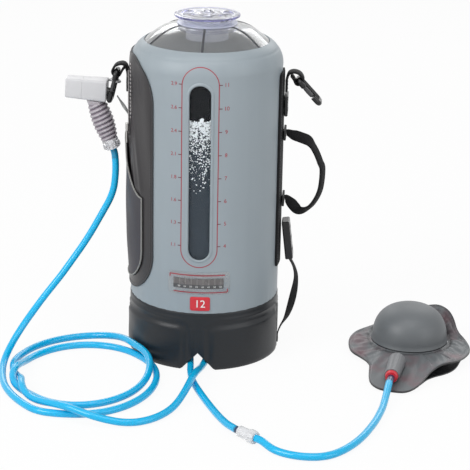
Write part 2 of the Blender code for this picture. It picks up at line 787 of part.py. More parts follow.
def make_chamber_floor():
    """Welded disc that closes the water chamber above the skirt's hollow."""
    edge = BAG_RADIUS - SKIRT_WALL - 2 * SEAT_GAP - SHELL_WALL
    crown = 0.004
    profile = [
        (0.0, FLOOR_HEIGHT + FLOOR_WALL + crown),
        (edge * 0.55, FLOOR_HEIGHT + FLOOR_WALL + crown * 0.6),
        (edge * 0.9, FLOOR_HEIGHT + FLOOR_WALL),
        (edge, FLOOR_HEIGHT + FLOOR_WALL + 0.004),
        (edge, FLOOR_HEIGHT),
        (0.0, FLOOR_HEIGHT),
    ]
    turned("chamber_floor", profile, "black_tarpaulin", bag_origin, steps=40, closed_profile=False)


def make_fitting(name, side):
    """Flanged spigot under the chamber floor. The hose is pushed over its barbs."""
    top = FLOOR_HEIGHT - SEAT_GAP
    shoulder = top - FITTING_FLANGE_WALL
    profile = [
        (0.0, top),
        (FITTING_FLANGE, top),
        (FITTING_FLANGE, shoulder),
        (FITTING_SPIGOT + 0.002, shoulder),
        (FITTING_SPIGOT + 0.0012, shoulder - FITTING_DROP * 0.5),
        (FITTING_SPIGOT, shoulder - FITTING_DROP),
        (0.0, shoulder - FITTING_DROP),
    ]
    fitting = turned(name, profile, "clear_plastic", bag_origin, steps=20, closed_profile=False)
    fitting.location = (side * FITTING_X, FITTING_Y, 0.0)
    return fitting


def dome_height(radius):
    """Height of the outer side of the clear dome at a radius from the axis."""
    outer = dome_edge()
    share = (outer - radius) / (outer - NECK_OUTER)
    rise = DOME_TOP - dome_foot()
    return dome_foot() + rise * share + DOME_CROWN * math.sin(math.pi * share)


def dome_edge():
    """Radius of the dome's edge, inside the rolled lip of the shell."""
    lip = BAG_RADIUS - SHOULDER_RADIUS + (SHOULDER_RADIUS - SHELL_WALL) * math.cos(math.radians(60.0))
    return lip - SEAT_GAP - 0.0006


def dome_foot():
    """Height of the dome's edge, level with the rolled lip of the shell."""
    return RIM_HEIGHT - SHOULDER_RADIUS * (1 - math.sin(math.radians(60.0))) - 0.0006


def make_dome():
    """Clear top sheet, as six gores between welded seams."""
    edge = dome_edge()
    hole = NECK_OUTER + SEAT_GAP
    radii = [edge + (hole - edge) * index / 4 for index in range(5)]
    outer = [(radius, dome_height(radius)) for radius in reversed(radii)]
    inner = [(radius, dome_height(radius) - DOME_WALL) for radius in radii]
    turned("clear_dome", outer + inner, "clear_film", bag_origin, steps=40)


def make_dome_seams():
    """Welded tapes over the six seams, joined by a ring round the neck."""
    inner = NECK_FLANGE + SEAT_GAP
    outer = inner + 0.0040
    lift = SEAT_GAP + 0.0001
    profile = [
        (inner, dome_height(inner) + lift + SEAM_HEIGHT),
        (outer, dome_height(outer) + lift + SEAM_HEIGHT),
        (outer, dome_height(outer) + lift),
        (inner, dome_height(inner) + lift),
    ]
    ring = turned("dome_seams", profile, "dark_weld", bag_origin, steps=30)
    for index in range(SEAM_COUNT):
        angle = 2 * math.pi * index / SEAM_COUNT
        along = Vector((math.sin(angle), -math.cos(angle), 0.0))
        across = Vector((math.cos(angle), math.sin(angle), 0.0))
        centres = []
        for place_index in range(5):
            radius = outer - 0.0015 + (dome_edge() - 0.0012 - outer + 0.0015) * place_index / 4
            level = dome_height(radius) + lift + SEAM_HEIGHT / 2
            centres.append(along * radius + Vector((0, 0, level)))
        mesh = strap_mesh(
            f"seam_{index}", centres, [across] * 5, [SEAM_WIDTH] * 5, [SEAM_HEIGHT] * 5
        )
        join(ring, place_cutter(bpy.data.objects.new(f"seam_{index}", mesh), bag_origin))


def cap_seat():
    """Height of the neck's lip, where the gasket lies."""
    return DOME_TOP + SEAT_GAP + NECK_FLANGE_WALL + NECK_LIP


def make_neck():
    """Filler neck: a flange welded on the dome, a lip above it and a sleeve down inside."""
    base = DOME_TOP + SEAT_GAP
    bore = NECK_OUTER - NECK_WALL
    profile = [
        (NECK_OUTER + 0.003, cap_seat()),
        (NECK_OUTER + 0.003, base + NECK_FLANGE_WALL),
        (NECK_FLANGE, base + NECK_FLANGE_WALL * 0.7),
        (NECK_FLANGE, base - 0.0002),
        (NECK_OUTER, base),
        (NECK_OUTER, DOME_TOP - NECK_DEPTH),
        (bore, DOME_TOP - NECK_DEPTH),
        (bore, cap_seat()),
    ]
    turned("valve_neck", profile, "clear_plastic", bag_origin, steps=36)


def make_cap():
    """Gasket, screw cap with its hollow plug and finger recesses, and the relief plug."""
    gasket_low = cap_seat() + 0.0002
    gasket_high = gasket_low + GASKET_THICKNESS
    turned("cap_gasket", [
        (NECK_OUTER + 0.0025, gasket_high),
        (NECK_OUTER + 0.0025, gasket_low),
        (NECK_OUTER - NECK_WALL + 0.0008, gasket_low),
        (NECK_OUTER - NECK_WALL + 0.0008, gasket_high),
    ], "seal_rubber", bag_origin, steps=30)
    low = gasket_high + 0.0002
    high = low + CAP_THICKNESS
    plug = NECK_OUTER - NECK_WALL - CAP_PLUG_CLEARANCE
    bore = RELIEF_STEM_RADIUS + RELIEF_CLEARANCE
    foot = low - CAP_PLUG_DEPTH
    cap = turned("filler_cap", [
        (bore, high + 0.0012),
        (RELIEF_KNOB_RADIUS + 0.005, high + 0.0012),
        (RELIEF_KNOB_RADIUS + 0.006, high),
        (CAP_RADIUS - 0.0008, high),
        (CAP_RADIUS, high - 0.0008),
        (CAP_RADIUS, high - CAP_RIM_THICKNESS),
        (CAP_SKIRT_RADIUS + 0.0012, high - CAP_RIM_THICKNESS - 0.0008),
        (CAP_SKIRT_RADIUS, low + 0.0012),
        (CAP_SKIRT_RADIUS - 0.001, low),
        (plug, low),
        (plug, foot + 0.008),
        (plug - CAP_PLUG_TAPER, foot),
        (plug - CAP_PLUG_TAPER - 0.002, foot),
        (plug - 0.003, foot + 0.008),
        (plug - 0.003, low + 0.002),
        (bore, low + 0.002),
    ], "clear_plastic", bag_origin, steps=40)
    for index, start in enumerate((-38.0, 142.0)):
        mesh = arc_block_mesh(
            f"recess_{index}", 0.0195, 0.0345, start, start + 76.0,
            high - CAP_RECESS_DEPTH, high + 0.002, 5,
        )
        cut(cap, place_cutter(bpy.data.objects.new(f"recess_{index}", mesh), bag_origin))
    knob_low = high + 0.0012 + SEAT_GAP
    turned("relief_plug", [
        (0.0, knob_low + 0.0038),
        (RELIEF_KNOB_RADIUS - 0.004, knob_low + 0.0036),
        (RELIEF_KNOB_RADIUS - 0.0012, knob_low + 0.0026),
        (RELIEF_KNOB_RADIUS, knob_low + 0.0012),
        (RELIEF_KNOB_RADIUS, knob_low),
        (RELIEF_STEM_RADIUS, knob_low),
        (RELIEF_STEM_RADIUS, low - 0.004),
        (RELIEF_STEM_RADIUS - 0.0015, low - 0.006),
        (0.0, low - 0.006),
    ], "clear_plastic", bag_origin, steps=24, closed_profile=False)


def pouch_bulge(arc, height):
    """How far the pocket's pouch stands off its backing."""
    across = math.cos(0.5 * math.pi * min(1.0, abs(arc) / POUCH_HALF_WIDTH))
    upwards = soft_step((height - POUCH_LOW) / 0.06)
    return POUCH_BULGE * across * upwards


def make_pocket():
    """Dark backing on the left of the bag, the pouch on it and its zip."""
    wrapped_panel(
        "pocket_panel", "pocket_fabric", POCKET_HALF_WIDTH, POCKET_LOW, POCKET_HIGH,
        POCKET_CORNER, BAG_RADIUS + SEAT_GAP, POCKET_WALL, POCKET_ANGLE, columns=20, rows=1,
    )
    on_panel = BAG_RADIUS + 2 * SEAT_GAP + POCKET_WALL
    columns = []
    for arc, low, high in panel_columns(POUCH_HALF_WIDTH, POUCH_LOW, POUCH_BACK_HIGH, 0.045, 14):
        share = soft_step((POUCH_HALF_WIDTH - arc) / (1.2 * POUCH_HALF_WIDTH))
        top = POUCH_FRONT_HIGH + (POUCH_BACK_HIGH - POUCH_FRONT_HIGH) * share
        columns.append((arc, low, top))
    mesh = wrapped_panel_mesh(
        "pocket_pouch", columns, 6, on_panel, POUCH_WALL, POCKET_ANGLE, pouch_bulge
    )
    place(bpy.data.objects.new("pocket_pouch", mesh), bag_origin, "pocket_fabric")
    wrapped_panel(
        "pocket_zip", "zip_nylon", ZIP_HALF_WIDTH, ZIP_LOW, ZIP_HIGH, 0.002,
        on_panel, ZIP_WALL, ZIP_ANGLE, columns=4, rows=2,
    )
    body = block_mesh("zip_slider", (SLIDER_WIDTH, SLIDER_HEIGHT, SLIDER_LENGTH), 0.0008, 1)
    slider = place(bpy.data.objects.new("zip_slider", body), bag_origin, "spring_steel")
    centre_radius = on_panel + ZIP_WALL + SEAT_GAP + SLIDER_HEIGHT / 2 + 0.0002
    slider.location = on_bag(0.0, SLIDER_LOW + SLIDER_LENGTH / 2, centre_radius, ZIP_ANGLE)
    slider.rotation_euler = (0.0, 0.0, ZIP_ANGLE)
    pull = block_mesh("slider_pull", (0.0045, 0.0014, PULL_LENGTH), 0.0005, 1)
    pull_object = place_cutter(bpy.data.objects.new("slider_pull", pull), bag_origin)
    pull_object.location = on_bag(
        0.0, SLIDER_LOW + 0.002 - PULL_LENGTH / 2 + 0.0015, centre_radius + 0.0002, ZIP_ANGLE
    )
    pull_object.rotation_euler = (0.0, 0.0, ZIP_ANGLE)
    join(slider, pull_object)


def hook_frame(eye_x, eye_z, lean, side):
    """Pivot of a carabiner and the direction in which it hangs."""
    pivot = Vector((eye_x, 0.0, eye_z))
    down = Vector((side * math.sin(lean), 0.0, -math.cos(lean)))
    return pivot, down


def hook_outline():
    """Centre line of a carabiner in its own plane: width and distance below the top bar."""
    half = HOOK_WIDTH / 2 - HOOK_BAR_RADIUS
    corner = HOOK_CORNER
    arcs = (
        (half - corner, corner, 270.0),
        (half - corner, HOOK_LENGTH - corner, 0.0),
        (-half + corner, HOOK_LENGTH - corner, 90.0),
        (-half + corner, corner, 180.0),
    )
    outline = []
    for centre_width, centre_drop, start in arcs:
        for index in range(5):
            angle = math.radians(start + 90.0 * index / 4)
            outline.append(Vector((
                centre_width + corner * math.cos(angle), centre_drop + corner * math.sin(angle)
            )))
    return outline


def make_carabiner(prefix, eye_x, eye_z, lean, side):
    """Carabiner body with its gap at the front, and the sprung gate that closes it."""
    pivot, down = hook_frame(eye_x, eye_z, lean, side)
    outline = hook_outline()
    gate_top = 0.0115
    gate_low = HOOK_LENGTH - 0.0125
    front = -(HOOK_WIDTH / 2 - HOOK_BAR_RADIUS)

    def at(width, drop):
        return Vector((0.0, width, 0.0)) + down * drop

    points = [at(front, gate_top - 0.0006)]
    points += [at(place_.x, place_.y) for place_ in outline[16:20]]
    points += [at(place_.x, place_.y) for place_ in outline[0:15]]
    points += [at(front, gate_low + 0.0006)]
    body = tube(f"{prefix}_carabiner", points, HOOK_BAR_RADIUS, "hook_plastic", bag_origin, 2)
    body.location = pivot
    gate_pivot = at(front, gate_low)
    gate_line = [
        down * GATE_FOOT_DROP,
        down * (GATE_FOOT_DROP - GATE_FOOT_LENGTH),
        down * (gate_top - gate_low + 0.0003),
    ]
    gate = tube(
        f"{prefix}_carabiner_gate", gate_line, HOOK_BAR_RADIUS * GATE_SHARE, "hook_plastic", bag_origin, 2
    )
    gate.data.splines[0].points[0].radius = GATE_FOOT_SHARE
    gate.location = pivot + gate_pivot
    return body


def make_hook_loop(name, eye_x, eye_z, side, drop):
    """Webbing sewn to the bag, arched outwards and folded round the carabiner's top bar."""
    backing = POCKET_WALL if side < 0 else SIDE_STRAP_WALL
    wall = side * (BAG_RADIUS + backing + 2 * SEAT_GAP + 0.0003 + WEBBING_THICKNESS / 2)
    reach = EYE_RADIUS
    guides = [
        (wall, 0.0, eye_z - drop),
        (wall, 0.0, eye_z - drop + 0.014),
        (wall, 0.0, eye_z - 0.001),
        (wall + side * 0.003, 0.0, eye_z + 0.008),
        (eye_x - side * 0.006, 0.0, eye_z + 0.0105),
        (eye_x + side * 0.002, 0.0, eye_z + 0.0075),
        (eye_x + side * reach, 0.0, eye_z),
        (eye_x + side * reach * 0.5, 0.0, eye_z - reach * 0.9),
        (eye_x - side * reach * 0.5, 0.0, eye_z - reach * 0.9),
        (eye_x - side * reach * 1.1, 0.0, eye_z + 0.001),
        (eye_x - side * (reach + 0.004), 0.0, eye_z + 0.0055),
    ]
    return strap(name, guides, 0.0022, WEBBING_WIDTH, WEBBING_THICKNESS, "webbing_black", bag_origin)


def handset_axes():
    """Unit directions of the handset: forwards to its spray face, and upwards."""
    forward = Vector((-math.cos(HANDSET_LEAN), 0.0, math.sin(HANDSET_LEAN)))
    upward = Vector((math.sin(HANDSET_LEAN), 0.0, math.cos(HANDSET_LEAN)))
    return forward, upward


def place_on_handset(obj, along, up=0.0, depth=0.0):
    """Turn a block with the handset and put it along its length from the centre."""
    forward, upward = handset_axes()
    obj.location = HANDSET_CENTRE + forward * along + upward * up + Vector((0, depth, 0))
    obj.rotation_euler = (0.0, HANDSET_LEAN, 0.0)
    return obj


def head_height(along):
    """Share of the full height and depth that the head has at a place along it."""
    rear = -HANDSET_LENGTH / 2
    front = HANDSET_LENGTH / 2 + COLLAR_LENGTH
    return 1.0 - (1.0 - HANDSET_FRONT) * (along - rear) / (front - rear)


def head_block(name, rear, front, rear_edge, front_edge):
    """Tapered box with rounded corners between two places along the handset's head."""
    stations = [(rear, rear_edge), (rear + rear_edge, 0.0), (front - front_edge, 0.0), (front, front_edge)]
    rings = []
    for along, inset in stations:
        share = head_height(along)
        half_depth = HANDSET_DEPTH / 2 * share - inset
        half_height = HANDSET_HEIGHT / 2 * share - inset
        corner = HANDSET_ROUND - inset * 0.6
        ring = []
        for quarter, (side, rise) in enumerate(((1, 1), (-1, 1), (-1, -1), (1, -1))):
            for index in range(4):
                angle = math.radians(90.0 * quarter + 30.0 * index)
                ring.append(Vector((
                    -along,
                    side * (half_depth - corner) + corner * math.cos(angle),
                    rise * (half_height - corner) + corner * math.sin(angle),
                )))
        rings.append(ring)
    return loft_mesh(name, rings)


def make_handset():
    """Handset box, spray cover and plate, thumb button, ribbed grip, nut and hanging lug."""
    joint = HANDSET_LENGTH / 2
    body = place(
        bpy.data.objects.new("handset_body", head_block(
            "handset_body", -joint, joint, HANDSET_EDGE, 0.0002)),
        bag_origin, "handset_plastic",
    )
    place_on_handset(body, 0.0)
    front = joint + SEAT_GAP + COLLAR_LENGTH
    collar = place(
        bpy.data.objects.new("spray_collar", head_block(
            "spray_collar", joint + SEAT_GAP, front, 0.0002, HANDSET_EDGE)),
        bag_origin, "handset_plastic",
    )
    collar_along = joint + SEAT_GAP + COLLAR_LENGTH / 2
    place_on_handset(collar, 0.0)
    frame = 0.0074
    plate_size = (PLATE_WALL, HANDSET_DEPTH * HANDSET_FRONT - frame, HANDSET_HEIGHT * HANDSET_FRONT - frame)
    mouth_size = (2 * (PLATE_WALL + PLATE_RECESS), plate_size[1] + 0.0006, plate_size[2] + 0.0006)
    mouth = place_cutter(
        bpy.data.objects.new("collar_mouth", block_mesh("collar_mouth", mouth_size)), bag_origin
    )
    place_on_handset(mouth, collar_along + COLLAR_LENGTH / 2)
    cut(collar, mouth)
    plate = place(
        bpy.data.objects.new("spray_plate", block_mesh("spray_plate", plate_size)),
        bag_origin, "grip_rubber",
    )
    plate_along = collar_along + COLLAR_LENGTH / 2 - PLATE_RECESS - PLATE_WALL / 2 + SEAT_GAP
    place_on_handset(plate, plate_along)
    for row in range(-1, 2):
        for column in range(-1, 2):
            drill = bpy.data.objects.new(
                f"drill_{row}_{column}", rod_mesh("drill", SPRAY_HOLE_RADIUS, 0.02, 8)
            )
            place_cutter(drill, bag_origin)
            forward, upward = handset_axes()
            centre = (HANDSET_CENTRE + forward * plate_along + upward * row * SPRAY_HOLE_PITCH
                      + Vector((0, column * SPRAY_HOLE_PITCH, 0)))
            aim(drill, centre, forward)
            cut(plate, drill)
    forward, upward = handset_axes()
    rear = HANDSET_CENTRE - forward * (HANDSET_LENGTH / 2) - upward * BUTTON_DROP
    well_depth = BUTTON_SUNK + BUTTON_TRAVEL + SEAT_GAP
    well = place_cutter(
        bpy.data.objects.new("button_well", rod_mesh("button_well", BUTTON_RADIUS + 0.0004, 2 * well_depth, 20)),
        bag_origin,
    )
    aim(well, rear, -forward)
    cut(body, well)
    button_length = BUTTON_PROUD + BUTTON_SUNK
    button = place(
        bpy.data.objects.new(
            "handset_button", rod_mesh("handset_button", BUTTON_RADIUS, button_length, 24, BUTTON_RADIUS - 0.0008)
        ),
        bag_origin, "hook_plastic",
    )
    aim(button, rear - forward * (button_length / 2 - BUTTON_SUNK), -forward)
    make_grip()
    add_lug(body)


def grip_point(share):
    """Point and direction on the grip's curved centre line."""
    start, bend, end = GRIP_START, GRIP_BEND, GRIP_END
    point = start * (1 - share) ** 2 + bend * 2 * share * (1 - share) + end * share ** 2
    along = ((bend - start) * (1 - share) + (end - bend) * share).normalized()
    return point, along


def make_grip():
    """Curved grip of turned ribs, and the fluted nut that holds the hose on it."""
    rings = []
    rows = GRIP_RIBS * 3
    across = Vector((0, 1, 0))
    for row in range(rows + 1):
        share = row / rows
        point, along = grip_point(share)
        valley = 1.0 if row % 3 == 0 else 0.0
        radius = GRIP_START_RADIUS + (GRIP_END_RADIUS - GRIP_START_RADIUS) * share
        radius += GRIP_SWELL * math.sin(math.pi * share) - RIB_DEPTH * valley
        side = along.cross(across)
        rings.append([
            point + (across * math.cos(2 * math.pi * k / 16) + side * math.sin(2 * math.pi * k / 16)) * radius
            for k in range(16)
        ])
    forward, upward = handset_axes()
    seat = HANDSET_CENTRE - upward * (HANDSET_HEIGHT / 2 + SEAT_GAP)
    along = grip_point(0.0)[1]
    rings[0] = [point + along * ((seat - point).dot(upward) / along.dot(upward)) for point in rings[0]]
    mesh = loft_mesh("handset_grip", rings)
    grip = place(bpy.data.objects.new("handset_grip", mesh), bag_origin, "grip_rubber")
    end, along = grip_point(1.0)
    nut_mesh_rings = []
    side = along.cross(across)
    for drop, scale in ((0.0, 1.0), (NUT_LENGTH - 0.0018, 1.0), (NUT_LENGTH, 0.86)):
        ring = []
        for k in range(NUT_FLUTES * 2):
            angle = 2 * math.pi * k / (NUT_FLUTES * 2)
            radius = NUT_RADIUS * scale - (FLUTE_DEPTH if k % 2 == 0 else 0.0)
            ring.append(end + along * (SEAT_GAP + drop) + (across * math.cos(angle) + side * math.sin(angle)) * radius)
        nut_mesh_rings.append(ring)
    nut = loft_mesh("hose_nut", nut_mesh_rings)
    place(bpy.data.objects.new("hose_nut", nut), bag_origin, "clear_plastic")
    return grip


def nut_exit():
    """Where the hose leaves the nut, and its direction there."""
    end, along = grip_point(1.0)
    return end + along * (SEAT_GAP + NUT_LENGTH + STRETCH_GAP), along


def ring_mesh(name, centre, across, upward, radius, wire, steps=14, sides=6):
    """A closed wire ring in the plane of two directions."""
    facing = across.cross(upward).normalized()
    rings = []
    for index in range(steps):
        angle = 2 * math.pi * index / steps
        outward = across * math.cos(angle) + upward * math.sin(angle)
        ring = []
        for side in range(sides):
            turn = 2 * math.pi * side / sides
            ring.append(centre + outward * (radius + wire * math.cos(turn)) + facing * wire * math.sin(turn))
        rings.append(ring)
    return loft_mesh(name, rings, closed=True)


def add_lug(body):
    """Ring moulded on the back of the handset, threaded on the carabiner's rear side."""
    pivot, down = hook_frame(LEFT_EYE_X, LEFT_EYE_Z, LEFT_HOOK_LEAN, -1)
    wire_y = HOOK_WIDTH / 2 - HOOK_BAR_RADIUS
    centre = pivot + Vector((0, wire_y, 0)) + down * LUG_DISTANCE
    radius = HOOK_BAR_RADIUS + LUG_CLEARANCE + LUG_WIRE
    sideways = Vector((-down.z, 0.0, down.x))
    ring = ring_mesh("lug_ring", centre, sideways, Vector((0, 1, 0)), radius, LUG_WIRE)
    join(body, place_cutter(bpy.data.objects.new("lug_ring", ring), bag_origin))
    start = HANDSET_CENTRE.x + HANDSET_LENGTH / 2 - 0.0040
    finish = centre.x - radius + LUG_WIRE * 0.5
    arm = block_mesh("lug_arm", (finish - start, 0.0032, 0.0032), 0.0006, 1)
    arm_object = place_cutter(bpy.data.objects.new("lug_arm", arm), bag_origin)
    arm_object.location = ((finish + start) / 2, centre.y, centre.z + 0.0006)
    join(body, arm_object)


def make_right_side():
    """Side strap with its ladder lock, carry handle and anchors, buckle and tail strap."""
    on_shell = BAG_RADIUS + SEAT_GAP
    wrapped_panel(
        "side_strap", "webbing_black", SIDE_STRAP_HALF_WIDTH, SIDE_STRAP_LOW, SIDE_STRAP_HIGH,
        0.008, on_shell, SIDE_STRAP_WALL, SIDE_STRAP_ANGLE, columns=8, rows=4,
    )
    on_strap = on_shell + SIDE_STRAP_WALL + SEAT_GAP
    ladder_x = on_strap + LADDER_WALL / 2
    ladder = place(
        bpy.data.objects.new("ladder_lock", block_mesh(
            "ladder_lock", (LADDER_WALL, LADDER_WIDTH, LADDER_HEIGHT), 0.0010, 1)),
        bag_origin, "hook_plastic",
    )
    ladder.location = (ladder_x, 0.0, LADDER_CENTRE_Z)
    for index, level in enumerate((-0.0075, 0.0075)):
        slot_mesh = block_mesh(f"ladder_slot_{index}", (0.03, LADDER_WIDTH - 0.008, LADDER_SLOT))
        slot = place_cutter(bpy.data.objects.new(f"ladder_slot_{index}", slot_mesh), bag_origin)
        slot.location = (ladder_x, 0.0, LADDER_CENTRE_Z + level)
        cut(ladder, slot)
    for name, level in (("handle_anchor_upper", HANDLE_TOP_Z), ("handle_anchor_lower", HANDLE_BOTTOM_Z)):
        anchor = place(
            bpy.data.objects.new(name, block_mesh(name, (ANCHOR_WALL, ANCHOR_WIDTH, ANCHOR_HEIGHT), 0.0008, 1)),
            bag_origin, "webbing_black",
        )
        anchor.location = (on_strap + ANCHOR_WALL / 2, 0.0, level)
    make_handle(on_strap + ANCHOR_WALL + SEAT_GAP)
    make_buckle(on_strap)


def make_handle(root_x):
    """Webbing handle: flat arms that twist into an upright grip."""
    middle = (HANDLE_TOP_Z + HANDLE_BOTTOM_Z) / 2
    start = root_x
    guides = [
        (start, 0.0, HANDLE_TOP_Z),
        (start + HANDLE_ROOT, 0.0, HANDLE_TOP_Z),
        (start + 0.009, 0.0, HANDLE_TOP_Z - 0.0025),
        (start + 0.020, 0.0, HANDLE_TOP_Z - 0.0060),
        (start + 0.031, 0.0, HANDLE_TOP_Z - 0.0110),
        (start + 0.040, 0.0, HANDLE_TOP_Z - 0.0240),
        (start + 0.0465, 0.0, HANDLE_TOP_Z - 0.0390),
        (start + HANDLE_REACH, 0.0, middle - 0.004),
        (start + 0.0480, 0.0, HANDLE_BOTTOM_Z + 0.0150),
        (start + 0.0400, 0.0, HANDLE_BOTTOM_Z - 0.0040),
        (start + 0.0300, 0.0, HANDLE_BOTTOM_Z - 0.0140),
        (start + 0.0190, 0.0, HANDLE_BOTTOM_Z - 0.0160),
        (start + 0.0090, 0.0, HANDLE_BOTTOM_Z - 0.0060),
        (start + HANDLE_ROOT, 0.0, HANDLE_BOTTOM_Z),
        (start, 0.0, HANDLE_BOTTOM_Z),
    ]
    curve = smooth_path(guides[1:-1], 0.0056)
    centres = [Vector(guides[0])] + curve + [Vector(guides[-1])]
    last = len(centres) - 1
    directions = []
    widths = []
    thicknesses = []
    for index, centre in enumerate(centres):
        share = index / last
        turn = soft_step((min(share, 1 - share) - 0.10) / 0.14) * HANDLE_TWIST
        before = centres[max(index - 1, 0)]
        after = centres[min(index + 1, last)]
        along = (after - before).normalized()
        flat = along.cross(Vector((0, 1, 0)))
        directions.append(flat * math.cos(turn) + Vector((0, 1, 0)) * math.sin(turn))
        widths.append(HANDLE_WIDTH * (0.62 + 0.38 * soft_step(min(share, 1 - share) / 0.08)))
        thicknesses.append(HANDLE_ROOT_THICKNESS if index in (0, last) else HANDLE_THICKNESS)
    directions[0] = directions[-1] = Vector((0, 0, 1))
    thicknesses[1] = thicknesses[-2] = HANDLE_ROOT_THICKNESS
    mesh = strap_mesh("carry_handle", centres, directions, widths, thicknesses)
    handle = place(bpy.data.objects.new("carry_handle", mesh), bag_origin, "webbing_black")
    return handle


def make_buckle(root_x):
    """Buckle at the strap's lower end, the tail strap from it and the anchor tab."""
    height = BUCKLE_TOP - BUCKLE_BOTTOM
    frame = place(
        bpy.data.objects.new("side_buckle", block_mesh(
            "side_buckle", (BUCKLE_WALL, BUCKLE_WIDTH, height), 0.0018, 2)),
        bag_origin, "hook_plastic",
    )
    buckle_x = root_x + BUCKLE_WALL / 2 + BUCKLE_STAND_OFF
    lean = math.radians(7.0)
    frame.location = (buckle_x, 0.0, (BUCKLE_TOP + BUCKLE_BOTTOM) / 2)
    frame.rotation_euler = (0.0, -lean, 0.0)
    for index, level in enumerate((-0.0150, 0.0020, 0.0170)):
        slot_mesh = block_mesh(f"buckle_slot_{index}", (0.03, BUCKLE_WIDTH - 0.009, BUCKLE_SLOT))
        slot = place_cutter(bpy.data.objects.new(f"buckle_slot_{index}", slot_mesh), bag_origin)
        slot.location = (buckle_x - math.sin(lean) * level, 0.0, (BUCKLE_TOP + BUCKLE_BOTTOM) / 2 + level)
        slot.rotation_euler = (0.0, -lean, 0.0)
        cut(frame, slot)
    skirt_face = BAG_RADIUS + SKIRT_PROUD + SEAT_GAP + TAIL_THICKNESS / 2 + 0.0002
    buckle_foot = buckle_x + math.sin(lean) * height / 2
    tail_guides = [
        (buckle_foot - 0.0002, 0.0, BUCKLE_BOTTOM - 0.0011),
        (buckle_foot + 0.0050, 0.0, BUCKLE_BOTTOM - 0.0100),
        (BAG_RADIUS + TAIL_SWING * 0.96, 0.0, BUCKLE_BOTTOM * 0.838),
        (BAG_RADIUS + TAIL_SWING, 0.0, BUCKLE_BOTTOM * 0.754),
        (BAG_RADIUS + TAIL_SWING * 0.92, 0.0, BUCKLE_BOTTOM * 0.615),
        (BAG_RADIUS + TAIL_SWING * 0.76, 0.0, BUCKLE_BOTTOM * 0.462),
        (BAG_RADIUS + TAIL_SWING * 0.54, 0.0, BUCKLE_BOTTOM * 0.323),
        (skirt_face + 0.0040, 0.0, BUCKLE_BOTTOM * 0.215),
        (skirt_face, 0.0, BUCKLE_BOTTOM * 0.123),
        (skirt_face, 0.0, BUCKLE_BOTTOM * 0.046),
    ]
    centres = smooth_path([Vector(guide) for guide in tail_guides], 0.0060)
    last = len(centres) - 1
    directions = []
    for index in range(last + 1):
        turn = TAIL_TWIST * math.sin(math.pi * index / last) ** 2
        directions.append(Vector((math.sin(turn), math.cos(turn), 0.0)))
    mesh = strap_mesh("tail_strap", centres, directions, [TAIL_WIDTH] * (last + 1), [TAIL_THICKNESS] * (last + 1))
    place(bpy.data.objects.new("tail_strap", mesh), bag_origin, "webbing_black")


def make_tether():
    """Thin translucent strap from the bag's side to the hung hook."""
    wall = -(BAG_RADIUS + POCKET_WALL + 2 * SEAT_GAP + TETHER_THICKNESS / 2)
    guides = [
        (wall, 0.0, LEFT_EYE_Z - 0.0660),
        (wall - 0.0008, 0.0, LEFT_EYE_Z - 0.0590),
        (wall - 0.0060, 0.0, LEFT_EYE_Z - 0.0500),
        (wall - 0.0120, 0.0, LEFT_EYE_Z - 0.0410),
        (wall - 0.0160, 0.0, LEFT_EYE_Z - 0.0345),
    ]
    strap("hook_tether", guides, 0.0050, TETHER_WIDTH, TETHER_THICKNESS, "clear_film", bag_origin)


def shower_route():
    """Hand-laid route of the shower hose: down from the nut, two loops, and in to the outlet."""
    exit_point, along = nut_exit()
    return [
        exit_point,
        exit_point + along * 0.0100,
    ] + [
        Vector((exit_point.x + outwards, side, exit_point.z * height)) for outwards, side, height in HANG_GUIDES
    ] + [
        Vector((-0.2525, -0.1530, 0.0050)),
        Vector((-0.2430, -0.1830, 0.0050)),
        Vector((-0.2290, -0.2130, 0.0050)),
        Vector((-0.2090, -0.2420, 0.0050)),
        Vector((-0.1850, -0.2640, 0.0050)),
    ] + loop_points() + [
        Vector((-0.2270, -0.1900, 0.0050)),
        Vector((-0.2050, -0.2290, 0.0060)),
        Vector((-0.1760, -0.2570, 0.0110)),
        Vector((-0.1440, -0.2780, 0.0155)),
        Vector((-0.1110, -0.2900, 0.0120)),
        Vector((-0.0730, -0.2900, 0.0060)),
        Vector((-0.0420, -0.2730, 0.0050)),
        Vector((-0.0200, -0.2400, 0.0060)),
        Vector((-0.0080, -0.2000, 0.0115)),
        Vector((-0.0010, -0.1600, 0.0150)),
        Vector((0.0035, -0.1300, 0.0110)),
        Vector((0.0060, -0.1050, 0.0062)),
        Vector((0.0100, -0.0850, 0.0075)),
        Vector((0.0135, -0.0660, 0.0150)),
        Vector((FITTING_X, FITTING_Y - 0.0030, 0.0290)),
        Vector((FITTING_X, FITTING_Y, fitting_mouth() - 0.0060)),
        Vector((FITTING_X, FITTING_Y, fitting_mouth())),
    ]


def loop_points():
    """Two loops on the ground: an ellipse whose centre drifts, the second lying over the first."""
    count = round((LOOP_END - LOOP_START) / 360.0 * LOOP_POINTS_PER_TURN)
    points = []
    for index in range(count + 1):
        degrees = LOOP_START + (LOOP_END - LOOP_START) * index / count
        turns = degrees / 360.0
        angle = math.radians(degrees)
        away = (degrees - CROSSING_ANGLE) / CROSSING_SPREAD
        points.append(Vector((
            LOOP_CENTRE.x + LOOP_DRIFT.x * turns + LOOP_REACH_X * math.cos(angle),
            LOOP_CENTRE.y + LOOP_DRIFT.y * turns + LOOP_REACH_Y * math.sin(angle),
            HOSE_LIE + CROSSING_RISE * math.exp(-away * away),
        )))
    return points


def fitting_mouth():
    """Height of the end face of the fittings under the bag, where the hoses begin."""
    return FLOOR_HEIGHT - FITTING_FLANGE_WALL - FITTING_DROP - 2 * SEAT_GAP


